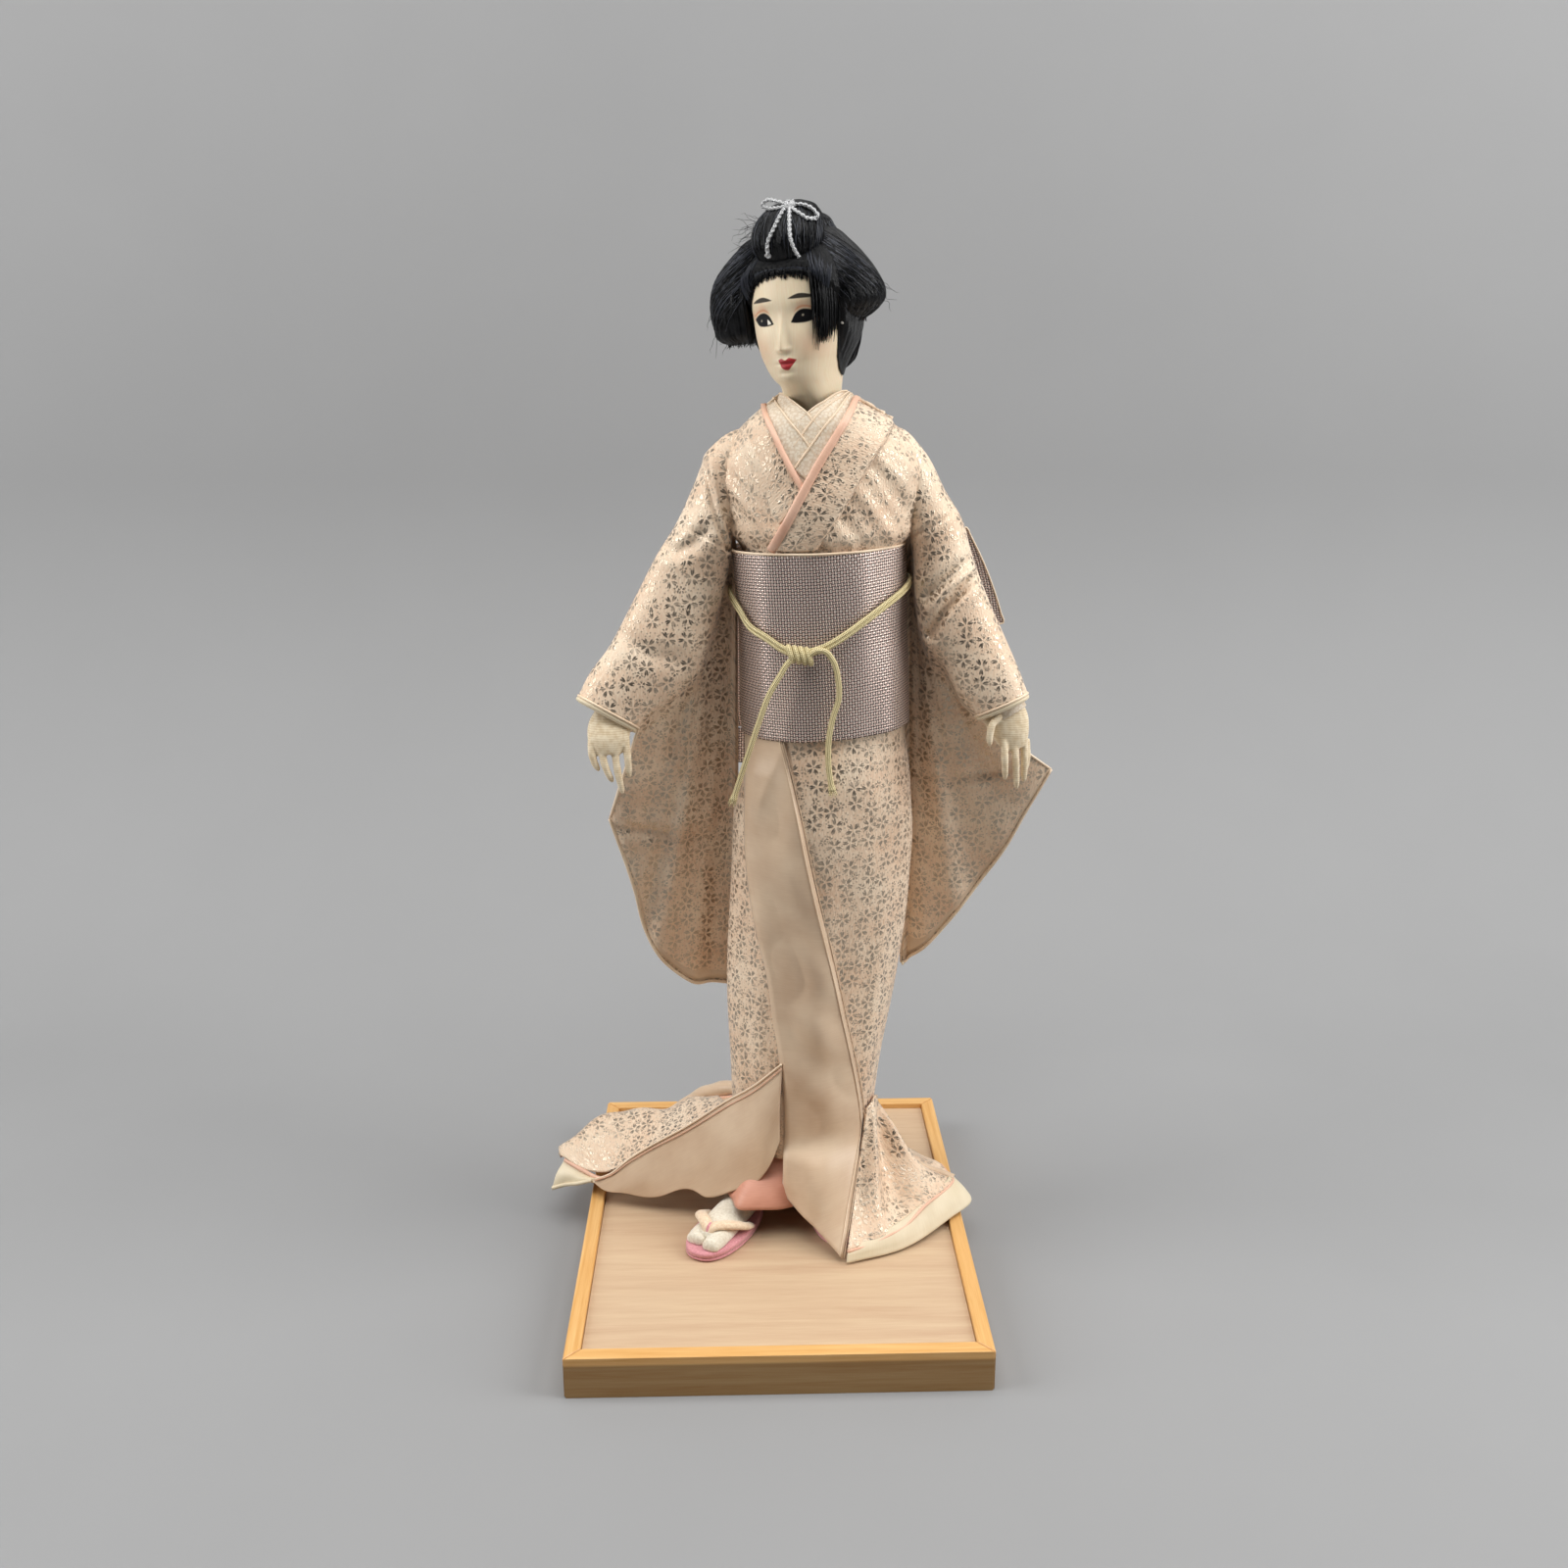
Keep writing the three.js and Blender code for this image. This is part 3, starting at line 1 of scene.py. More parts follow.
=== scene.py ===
from functools import partial
import bpy
import numpy as np
from mathutils import Matrix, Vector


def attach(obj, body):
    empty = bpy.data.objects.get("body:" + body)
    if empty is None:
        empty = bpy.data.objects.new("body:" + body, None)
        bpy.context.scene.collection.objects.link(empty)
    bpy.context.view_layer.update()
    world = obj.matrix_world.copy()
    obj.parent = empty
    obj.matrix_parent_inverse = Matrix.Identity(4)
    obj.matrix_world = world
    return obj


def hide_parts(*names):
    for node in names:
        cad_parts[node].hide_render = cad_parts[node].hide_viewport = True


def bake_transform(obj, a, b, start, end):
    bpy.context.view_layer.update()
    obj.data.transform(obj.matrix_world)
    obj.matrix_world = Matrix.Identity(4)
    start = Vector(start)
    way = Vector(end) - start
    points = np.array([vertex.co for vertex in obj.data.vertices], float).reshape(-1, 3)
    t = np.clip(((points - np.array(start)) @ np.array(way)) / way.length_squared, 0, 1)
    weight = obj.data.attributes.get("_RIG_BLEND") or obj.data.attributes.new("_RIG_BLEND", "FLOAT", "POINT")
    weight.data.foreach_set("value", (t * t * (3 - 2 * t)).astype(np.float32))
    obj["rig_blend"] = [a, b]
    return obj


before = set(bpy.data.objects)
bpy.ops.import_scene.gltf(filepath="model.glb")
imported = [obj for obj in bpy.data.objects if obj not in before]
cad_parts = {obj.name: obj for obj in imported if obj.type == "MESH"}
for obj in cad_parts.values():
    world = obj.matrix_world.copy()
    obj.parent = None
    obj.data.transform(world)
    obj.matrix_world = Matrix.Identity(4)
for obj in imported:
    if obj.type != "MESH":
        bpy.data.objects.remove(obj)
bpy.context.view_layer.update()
scene = bpy.context.scene
scene.view_settings.view_transform = "Standard"
mm = 0.001
boardTop = 15.0  # doll heights are measured from the board, which lies this far above the floor
clothWall = 0.9  # lined silk
print("stage: frame loaded,", len(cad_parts), "solids")


# Shapes

def hermite(key, value, at):
    # cubic through rows of values at rising keys, with central differences for slopes
    key, value, at = np.asarray(key, float), np.asarray(value, float), np.asarray(at, float)
    slope = np.gradient(value, key, axis=0)
    k = np.clip(np.searchsorted(key, at, side="right") - 1, 0, len(key) - 2)
    h = (key[k + 1] - key[k])[..., None]
    u = (at - key[k])[..., None] / h
    return ((2 * u**3 - 3 * u**2 + 1) * value[k] + (u**3 - 2 * u**2 + u) * h * slope[k]
            + (3 * u**2 - 2 * u**3) * value[k + 1] + (u**3 - u**2) * h * slope[k + 1])


def smoothTable(table, at):
    # the first column is the key, the rest are read off smoothly at the given keys
    table = np.asarray(table, float)
    return np.moveaxis(hermite(table[:, 0], table[:, 1:], at), -1, 0)


def runAlong(points):
    # the distance along a line to each of its points
    return np.concatenate([[0.0], np.cumsum(np.linalg.norm(np.diff(points, axis=0), axis=1))])


def fullTurn(count):
    return np.arange(count) * 2 * np.pi / count


def shares(grid):
    # how far along its row and down its column each point of a grid lies, from 0 to 1
    return np.meshgrid(*(np.linspace(0, 1, count) for count in grid.shape[1::-1]))


def smoothLine(points, count):
    # a curve through the points, evenly spaced by the distance along them
    p = np.asarray(points, float)
    s = runAlong(p)
    fine = hermite(s, p, np.linspace(0, s[-1], 40 * len(p)))
    run = runAlong(fine)
    even = np.linspace(0, run[-1], count)
    return np.stack([np.interp(even, run, fine[:, k]) for k in range(p.shape[1])], axis=-1)


def sheetThrough(lines, rows, columns):
    # a surface through guide lines: each is evened out, then a cubic joins them row by row
    grid = np.stack([smoothLine(line, columns) for line in lines])
    gap = np.linalg.norm(np.diff(grid, axis=0), axis=2).mean(axis=1)
    key = np.concatenate([[0.0], np.cumsum(gap)])
    flat = grid.reshape(len(lines), -1)
    return hermite(key, flat, np.linspace(0, key[-1], rows)).reshape(rows, columns, -1)


def smoothStep(low, high, value):
    t = np.clip((value - low) / (high - low), 0, 1)
    return t * t * (3 - 2 * t)


def sweep(path, across, outward, ref):
    # a profile carried along a path: each point is path + across * side + outward * up
    t = np.gradient(path, axis=0)
    t /= np.linalg.norm(t, axis=1, keepdims=True)
    side = np.cross(np.asarray(ref, float), t)
    side /= np.linalg.norm(side, axis=1, keepdims=True)
    up = np.cross(t, side)
    return path[:, None] + across[..., None] * side[:, None] + outward[..., None] * up[:, None]


def roundTube(path, radius, sides, ref=(0, 0, 1), flat=1.0):
    # circle of the given radius (one value or one for each point) carried along a path
    angle = fullTurn(sides)
    radius = np.broadcast_to(np.asarray(radius, float), len(path))[:, None]
    return sweep(path, radius * np.cos(angle), flat * radius * np.sin(angle), ref)


def patch(grid, wrap=False, caps=False, facing=(0, -1, 0), uv=None, look=0):
    # a grid of points in mm as faces: wrap joins last column to first, caps close both ends with a fan
    rows, columns = grid.shape[:2]
    ids = np.arange(rows * columns).reshape(rows, columns)
    if wrap:
        ids = np.concatenate([ids, ids[:, :1]], axis=1)
    points = grid.reshape(-1, 3)
    laid = points[ids]
    if uv is None:
        # mm along each row from its middle, and mm down each column
        u = np.concatenate([np.zeros((rows, 1)), np.cumsum(np.linalg.norm(np.diff(laid, axis=1), axis=2), axis=1)], 1)
        v = np.concatenate([np.zeros((1, ids.shape[1])),
                            np.cumsum(np.linalg.norm(np.diff(laid, axis=0), axis=2), axis=0)], 0)
        uv = np.stack([u - u[:, ids.shape[1] // 2, None], v], axis=-1)
    ring = lambda a: np.stack([a[:-1, :-1], a[:-1, 1:], a[1:, 1:], a[1:, :-1]], axis=2)
    quads = ring(ids).reshape(-1, 4)
    quadUv = ring(uv).reshape(-1, 4, 2)
    tris = np.zeros((0, 3), int)
    triUv = np.zeros((0, 3, 2))
    if caps:
        middles = np.stack([grid[0].mean(axis=0), grid[-1].mean(axis=0)])
        low, high = len(points), len(points) + 1
        points = np.concatenate([points, middles])
        first = np.stack([np.full(ids.shape[1] - 1, low), ids[0, 1:], ids[0, :-1]], axis=1)
        last = np.stack([np.full(ids.shape[1] - 1, high), ids[-1, :-1], ids[-1, 1:]], axis=1)
        tris = np.concatenate([first, last])
        pick = lambda row, a, b: np.stack([np.broadcast_to(uv[row].mean(axis=0), a.shape), a, b], axis=1)
        triUv = np.concatenate([pick(0, uv[0, 1:], uv[0, :-1]), pick(-1, uv[-1, :-1], uv[-1, 1:])])
    corner = points[quads]
    normal = np.cross(corner[:, 2] - corner[:, 0], corner[:, 3] - corner[:, 1])
    if wrap:
        away = corner.mean(axis=1).reshape(rows - 1, -1, 3)
        away = (away - away.mean(axis=1, keepdims=True)).reshape(-1, 3)
    else:
        away = np.broadcast_to(np.asarray(facing, float), normal.shape)
    if (normal * away).sum() < 0:
        quads, quadUv, tris, triUv = quads[:, ::-1], quadUv[:, ::-1], tris[:, ::-1], triUv[:, ::-1]
    return {"points": points, "quads": quads, "tris": tris, "quadUv": quadUv, "triUv": triUv, "look": look}


def makePiece(name, patches, materials, marks=None):
    # patches joined into one mesh; marks are named values for each vertex
    patches = patches if isinstance(patches, list) else [patches]
    materials = materials if isinstance(materials, list) else [materials]
    base = np.cumsum([0] + [len(p["points"]) for p in patches])
    corners = np.concatenate([(p["quads"] + b).ravel() for p, b in zip(patches, base)]
                             + [(p["tris"] + b).ravel() for p, b in zip(patches, base)])
    sizes = np.concatenate([np.full(len(p["quads"]), 4) for p in patches]
                           + [np.full(len(p["tris"]), 3) for p in patches])
    looks = np.concatenate([np.full(len(p["quads"]), p["look"]) for p in patches]
                           + [np.full(len(p["tris"]), p["look"]) for p in patches])
    uv = np.concatenate([p["quadUv"].reshape(-1, 2) for p in patches] + [p["triUv"].reshape(-1, 2) for p in patches])
    mesh = bpy.data.meshes.new(name)
    mesh.vertices.add(base[-1])
    mesh.vertices.foreach_set("co", (np.concatenate([p["points"] for p in patches]) * mm).ravel())
    mesh.loops.add(len(corners))
    mesh.loops.foreach_set("vertex_index", corners.astype(np.int32))
    mesh.polygons.add(len(sizes))
    mesh.polygons.foreach_set("loop_start", (np.cumsum(sizes) - sizes).astype(np.int32))
    mesh.polygons.foreach_set("material_index", looks.astype(np.int32))
    mesh.polygons.foreach_set("use_smooth", np.ones(len(sizes), bool))
    mesh.uv_layers.new(name="cloth").data.foreach_set("uv", uv.ravel())
    for key, values in (marks or {}).items():
        mesh.attributes.new(key, "FLOAT", "POINT").data.foreach_set("value", values.astype(np.float32))
    mesh.update(calc_edges=True)
    mesh.validate()
    obj = bpy.data.objects.new(name, mesh)
    scene.collection.objects.link(obj)
    for material in materials:
        mesh.materials.append(material)
    return obj


def thicken(obj, thickness, inside=0):
    # a cloth wall grown inwards from the outer face; inside is how far on its lining stands in the materials
    wall = obj.modifiers.new("wall", "SOLIDIFY")
    wall.thickness = thickness * mm
    wall.offset = -1
    wall.material_offset = inside
    wall.material_offset_rim = 0
    return obj


def settle(obj, slotName, *nodes, body="stand_and_body"):
    # the piece moves with a body, unless it blends over two, and stands for its solids; slotName is not used
    if "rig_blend" not in obj:
        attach(obj, body)
    if nodes:
        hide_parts(*nodes)
    return obj


def doll(points):
    # doll heights to heights above the floor
    return np.asarray(points, float) + np.array([0, 0, boardTop])


def roundCord(path, radius, sides, ref=(0, 0, 1), flat=1.0, look=0):
    # a closed round tube along a path in doll heights
    return patch(doll(roundTube(path, radius, sides, ref, flat)), wrap=True, caps=True, look=look)


# Materials

def linear(code):
    # sRGB hex to linear
    c = np.array([int(code[i:i + 2], 16) for i in (1, 3, 5)]) / 255
    c = np.where(c <= 0.04045, c / 12.92, ((c + 0.055) / 1.055) ** 2.4)
    return (*c.tolist(), 1.0)


def addNode(tree, kind, inputs=None, **settings):
    # an input takes a number or colour, a socket, or a node for its first output
    node = tree.nodes.new("ShaderNode" + kind)
    for key, value in settings.items():
        setattr(node, key, value)
    for key, value in (inputs or {}).items():
        value = value.outputs[0] if isinstance(value, bpy.types.Node) else value
        if isinstance(value, bpy.types.NodeSocket):
            tree.links.new(value, node.inputs[key])
        else:
            node.inputs[key].default_value = value
    return node


def startMaterial(name, **sockets):
    # a material, what adds its nodes, and its shader with constant sockets set, by name with _ for a space
    material = bpy.data.materials.new(name)
    material.use_nodes = True
    tree = material.node_tree
    shader = tree.nodes["Principled BSDF"]
    for key, value in sockets.items():
        shader.inputs[key.replace("_", " ").title().replace("Ior", "IOR")].default_value = value
    return material, partial(addNode, tree), shader


def link(source, node, name):
    node.id_data.links.new(source, node.inputs[name])


def dress(add, shader, colour, height, strength, distance):
    # the shader takes its colour from a socket and a fine relief from a height
    link(colour, shader, "Base Color")
    bump = add("Bump", {"Height": height, "Strength": strength, "Distance": distance})
    link(bump.outputs[0], shader, "Normal")


# Brocade: pale peach crepe silk printed with silver foil cherry blossoms, about 7 mm across, and smaller ones between.
# Foil is grey where it mirrors the room in front and white where it faces the light above.
# each size of flower: pitch in mm, petal length in pitches, scatter, shift
brocadeLook = {"flowers": [(7.9, 0.43, 0.45, (0, 0, 0)), (6.3, 0.27, 0.85, (3.3, 5.7, 0))],
               "cloth": "#DDB999", "clothPale": "#F2DEC3", "foil": "#B4A592", "metal": 1.0, "gloss": 0.3}


def brocadeMaterial(name, look):
    material, add, shader = startMaterial(name, sheen_weight=0.2, sheen_roughness=0.4)
    coords = add("TexCoord").outputs["UV"]
    foil = clear = None
    for pitch, reach, scatter, shift in look["flowers"]:
        place = add("VectorMath", {0: coords, 1: (1 / pitch,) * 3, 2: shift}, operation="MULTIPLY_ADD")
        cells = add("TexVoronoi", {"Vector": place, "Scale": 1.0, "Randomness": scatter}, voronoi_dimensions="2D")
        local = add("VectorMath", {0: place, 1: cells.outputs["Position"]}, operation="SUBTRACT")
        parts = add("SeparateXYZ", {0: local})
        turn = add("SeparateColor", {0: cells.outputs["Color"]})
        angle = add("Math", {0: parts.outputs[1], 1: parts.outputs[0]}, operation="ARCTAN2")
        angle = add("Math", {0: turn.outputs[0], 1: 6.283, 2: angle}, operation="MULTIPLY_ADD")
        angle = add("Math", {0: angle, 1: 0.6283, 2: -0.6283}, operation="WRAP")
        radius = add("VectorMath", {0: local}, operation="LENGTH").outputs["Value"]
        ways = [add("Math", {0: angle}, operation=name) for name in ("COSINE", "SINE")]
        out, aside = (add("Math", {0: radius, 1: way}, operation="MULTIPLY") for way in ways)
        aside = add("Math", {0: aside}, operation="ABSOLUTE")
        # petal: an ellipse along the ray, wider outside, with a notch cut in its outer end
        along = add("MapRange", {0: out, 1: 0.2 * reach, 2: reach, 3: -1.0, 4: 1.0}, clamp=False)
        wide = add("MapRange", {0: out, 1: 0.2 * reach, 2: reach, 3: 0.14 * reach, 4: 0.31 * reach})
        across = add("Math", {0: aside, 1: wide}, operation="DIVIDE")
        square = add("Math", {0: along, 1: along}, operation="MULTIPLY")
        ellipse = add("Math", {0: across, 1: across, 2: square}, operation="MULTIPLY_ADD")
        petal = add("MapRange", {0: ellipse, 1: 1.15, 2: 0.75, 3: 0.0, 4: 1.0}, interpolation_type="SMOOTHSTEP")
        notch = add("MapRange", {0: along, 1: 0.3, 2: 1.0, 3: 0.0, 4: 0.4})
        keep = add("Math", {0: across, 1: notch}, operation="SUBTRACT")
        keep = add("MapRange", {0: keep, 1: -0.06, 2: 0.06})
        petal = add("Math", {0: petal, 1: keep}, operation="MULTIPLY")
        if foil is None:
            # the smaller flowers keep clear of the larger
            foil, clear = petal, add("MapRange", {0: radius, 1: 0.9 * reach, 2: 1.05 * reach})
        else:
            petal = add("Math", {0: petal, 1: clear}, operation="MULTIPLY")
            foil = add("Math", {0: foil, 1: petal}, operation="MAXIMUM")
    # worn print: the foil is thin in places
    wear = add("TexNoise", {"Vector": coords, "Scale": 0.35, "Detail": 4.0})
    wear = add("MapRange", {0: wear, 1: 0.3, 2: 0.55, 3: 0.3, 4: 1.0})
    foil = add("Math", {0: foil, 1: wear}, operation="MULTIPLY")
    # loose flecks of foil between the flowers
    flecks = add("TexVoronoi", {"Vector": coords, "Scale": 0.5, "Randomness": 1.0}, voronoi_dimensions="2D")
    fleck = add("MapRange", {0: flecks, 1: 0.22, 2: 0.12, 3: 0.0, 4: 0.6})
    foil = add("Math", {0: foil, 1: fleck}, operation="MAXIMUM")
    # crepe: slanting crinkled threads about 0.5 mm apart, drawn at 0.9 mm so that they show
    slant = add("Mapping", {"Vector": coords, "Rotation": (0, 0, 0.75), "Scale": (1.25, 0.4, 1.0)})
    crepe = add("TexNoise", {"Vector": slant, "Scale": 1.0, "Detail": 3.0})
    tone = add("TexNoise", {"Vector": coords, "Scale": 0.045, "Detail": 3.0})
    tone = add("Math", {0: crepe, 1: 0.9, 2: tone}, operation="MULTIPLY_ADD")
    tone = add("MapRange", {0: tone, 1: 0.65, 2: 1.25})
    cloth = add("Mix", {"Factor": tone, 6: linear(look["cloth"]), 7: linear(look["clothPale"])}, data_type="RGBA")
    colour = add("Mix", {"Factor": foil, 6: cloth.outputs[2], 7: linear(look["foil"])}, data_type="RGBA")
    metal = add("Math", {0: foil, 1: look["metal"]}, operation="MULTIPLY")
    link(metal.outputs[0], shader, "Metallic")
    gloss = add("MapRange", {0: foil, 3: 0.6, 4: look["gloss"]})
    link(gloss.outputs[0], shader, "Roughness")
    height = add("Math", {0: foil, 1: 0.3, 2: crepe}, operation="MULTIPLY_ADD")
    dress(add, shader, colour.outputs[2], height, 0.55, 0.0005)
    return material


brocade = brocadeMaterial("printed_crepe_brocade", brocadeLook)

# Satin: plain lining silk woven in long floats, smooth and softly glossy with a faint thread line.
satinLook = {"satin": ("#CDAF91", "#E1C9AC", 0.34), "pink": ("#C07F66", "#DDA087", 0.45),
             "hem": ("#D8C6A4", "#EBDDC0", 0.5),
             "edge": ("#E3C6A6", "#F2DFC4", 0.5), "piping": ("#DFAA8D", "#F0C8AE", 0.45)}


def satinMaterial(name, deep, pale, roughness):
    material, add, shader = startMaterial(name, roughness=roughness, sheen_weight=0.25, sheen_roughness=0.35,
                                          anisotropic=0.3)
    coords = add("TexCoord").outputs["UV"]
    cloud = add("TexNoise", {"Vector": coords, "Scale": 0.05, "Detail": 3.0})
    # threads are about 0.1 mm, drawn as streaks 0.5 mm wide so that they show
    streak = add("VectorMath", {0: coords, 1: (0.12, 2.0, 1.0)}, operation="MULTIPLY")
    thread = add("TexNoise", {"Vector": streak, "Scale": 1.0, "Detail": 2.0})
    tone = add("Math", {0: thread, 1: 0.25, 2: cloud}, operation="MULTIPLY_ADD")
    tone = add("MapRange", {0: tone, 1: 0.4, 2: 0.85})
    colour = add("Mix", {"Factor": tone, 6: linear(deep), 7: linear(pale)}, data_type="RGBA")
    dress(add, shader, colour.outputs[2], thread, 0.12, 0.0003)
    return material


satin = satinMaterial("lining_satin", *satinLook["satin"])
pinkSilk = satinMaterial("pink_lining_silk", *satinLook["pink"])
hemSilk = satinMaterial("cream_hem_silk", *satinLook["hem"])
edgeSilk = satinMaterial("sleeve_edge_silk", *satinLook["edge"])
pipingSilk = satinMaterial("peach_piping_silk", *satinLook["piping"])

# Inner collar: cream damask with a small broken figure woven in, matte with fine pale flecks.
collarLook = {"ground": "#DCC8AD", "figure": "#EBDDC8", "dark": "#BDA68C"}
creamDamask, add, shader = startMaterial("cream_damask", roughness=0.6, sheen_weight=0.2)
coords = add("TexCoord").outputs["UV"]
figure = add("TexVoronoi", {"Vector": coords, "Scale": 0.75}, voronoi_dimensions="2D", distance="MANHATTAN")
mottle = add("TexNoise", {"Vector": coords, "Scale": 0.9, "Detail": 3.0})
shape = add("MapRange", {0: figure, 1: 0.35, 2: 0.65})
ground = add("Mix", {"Factor": shape, 6: linear(collarLook["figure"]), 7: linear(collarLook["ground"])},
             data_type="RGBA")
spots = add("MapRange", {0: mottle, 1: 0.56, 2: 0.68, 3: 0.0, 4: 0.45})
colour = add("Mix", {"Factor": spots, 6: ground.outputs[2], 7: linear(collarLook["dark"])}, data_type="RGBA")
dress(add, shader, colour.outputs[2], mottle, 0.3, 0.0003)

# Sash: open canvas weave of mauve-silver tinsel thread about 0.9 mm apart, drawn at 1.15 mm so that it shows.
# The threads glint on the turn of the waist, and the gaps between them are dark.
sashLook = {"pitch": 1.15, "thread": "#FFEEE2", "weft": "#EFD2C6", "gap": "#33211E", "open": 0.58, "full": 0.84,
            "metal": 0.5}
sashWeave, add, shader = startMaterial("tinsel_canvas_weave", roughness=0.34)
coords = add("SeparateXYZ", {0: add("VectorMath", {0: add("TexCoord").outputs["UV"], "Scale": 1 / sashLook["pitch"]},
                                    operation="SCALE")})
waves, cells, threads = [], [], []
for way in coords.outputs[:2]:
    wave = add("Math", {0: way, 1: np.pi}, operation="MULTIPLY")
    wave = add("Math", {0: wave}, operation="SINE")
    waves.append(add("Math", {0: wave}, operation="ABSOLUTE"))
    cells.append(add("Math", {0: way}, operation="FLOOR"))
cell = add("Math", dict(enumerate(cells)), operation="ADD")
over = add("Math", {0: cell, 1: 2.0}, operation="FLOORED_MODULO")
# the warp is high where it crosses over, and the weft where it doesn't
for wave, (under, above) in zip(waves, ((0.6, 1.0), (1.0, 0.6))):
    rise = add("MapRange", {0: over, 3: under, 4: above})
    threads.append(add("Math", {0: wave, 1: rise}, operation="MULTIPLY"))
height = add("Math", dict(enumerate(threads)), operation="MAXIMUM")
thread = add("Mix", {"Factor": over, 6: linear(sashLook["weft"]), 7: linear(sashLook["thread"])}, data_type="RGBA")
solid = add("MapRange", {0: height, 1: sashLook["open"], 2: sashLook["full"]}, interpolation_type="SMOOTHSTEP")
colour = add("Mix", {"Factor": solid, 6: linear(sashLook["gap"]), 7: thread.outputs[2]}, data_type="RGBA")
metal = add("Math", {0: solid, 1: sashLook["metal"]}, operation="MULTIPLY")
link(metal.outputs[0], shader, "Metallic")
dress(add, shader, colour.outputs[2], height, 0.5, 0.0005)

# Cords: braided gold rayon and twisted silver tinsel; the raised strands are drawn pale as a painted highlight and the
# dips dark as painted shade.
# each cord: painted shade colour of the dips, painted highlight colour of the raised strands, pitch round, pitch along,
# metallic
cordLook = {"gold": ("#9E8748", "#FFF0BE", 1.6, 1.4, 0.15), "silver": ("#37383B", "#FFFFFF", 1.3, 1.4, 0.15)}


def cordMaterial(name, dip, strand, around, along, metallic):
    material, add, shader = startMaterial(name, roughness=0.42, metallic=metallic)
    parts = add("SeparateXYZ", {0: add("TexCoord").outputs["UV"]})
    run = add("Math", {0: parts.outputs[1], 1: 2 * np.pi / along}, operation="MULTIPLY")
    strands = []
    for way in (1, -1):
        lay = add("Math", {0: parts.outputs[0], 1: way * 2 * np.pi / around, 2: run}, operation="MULTIPLY_ADD")
        strands.append(add("Math", {0: lay}, operation="SINE"))
    braid = add("Math", dict(enumerate(strands)), operation="MULTIPLY")
    raised = add("MapRange", {0: braid, 1: -0.8, 2: 0.5})
    # painted shade in the dips and painted highlight on the raised strands
    colour = add("Mix", {"Factor": raised, 6: linear(dip), 7: linear(strand)}, data_type="RGBA")
    dress(add, shader, colour.outputs[2], raised, 0.7, 0.0005)
    return material


goldBraid = cordMaterial("braided_gold_rayon", *cordLook["gold"])
silverTwist = cordMaterial("twisted_silver_tinsel", *cordLook["silver"])

# Doll hair: straight black nylon fibre combed over the forms, with narrow cool streaks of painted sheen along the
# strands.
# light is the colour of the loose hairs, a painted highlight
hairLook = {"deep": "#020203", "sheen": "#0A0B0F", "strand": 0.45, "light": "#4C505C"}
nylonHair, add, shader = startMaterial("combed_nylon_hair", roughness=0.27, specular_ior_level=0.28)
coords = add("TexCoord").outputs["UV"]
comb = add("VectorMath", {0: coords, 1: (1 / hairLook["strand"], 0.03, 1.0)}, operation="MULTIPLY")
strands = add("TexNoise", {"Vector": comb, "Scale": 1.0, "Detail": 4.0, "Roughness": 0.6})
tone = add("MapRange", {0: strands, 1: 0.42, 2: 0.72})
colour = add("Mix", {"Factor": tone, 6: linear(hairLook["deep"]), 7: linear(hairLook["sheen"])}, data_type="RGBA")
dress(add, shader, colour.outputs[2], strands, 0.9, 0.0006)

# loose hairs are drawn a lighter grey, a painted highlight
looseHair, add, shader = startMaterial("loose_nylon_hair", roughness=0.3)
shade = add("TexNoise", {"Vector": add("TexCoord").outputs["Object"], "Scale": 120.0})
colour = add("Mix", {"Factor": shade, 6: linear(hairLook["deep"]), 7: linear(hairLook["light"])}, data_type="RGBA")
link(colour.outputs[2], shader, "Base Color")

# Face: ivory silk crepe stretched over a moulded mask, painted by hand; upright threads show faintly.
faceLook = {"ivory": "#EBDABB", "warm": "#E7D0AC", "ink": "#0C0B0D", "whiteAndGlint": "#F4EDDF", "lid": "#D99A72",
            "lips": "#A5191F", "blush": "#E0B08C"}
faceSilk, add, shader = startMaterial("painted_face_silk", roughness=0.5, sheen_weight=0.15, subsurface_weight=0.08,
                                      subsurface_scale=0.002)
coords = add("VectorMath", {0: add("TexCoord").outputs["UV"], 1: (1.6, 0.12, 1.0)}, operation="MULTIPLY")
threads = add("TexNoise", {"Vector": coords, "Scale": 1.0, "Detail": 3.0})
tone = add("MapRange", {0: threads, 1: 0.35, 2: 0.75})
colour = add("Mix", {"Factor": tone, 6: linear(faceLook["ivory"]), 7: linear(faceLook["warm"])}, data_type="RGBA")
for mark in ("blush", "lid", "lips", "whiteAndGlint", "ink"):
    painted = add("Attribute", attribute_name=mark)
    colour = add("Mix", {"Factor": painted.outputs["Fac"], 6: colour.outputs[2], 7: linear(faceLook[mark])},
                 data_type="RGBA")
# the ink, which is the last mark, is matt
shine = add("MapRange", {0: painted.outputs["Fac"], 3: 0.5, 4: 0.08})
link(shine.outputs[0], shader, "Specular IOR Level")
dress(add, shader, colour.outputs[2], threads, 0.08, 0.0003)

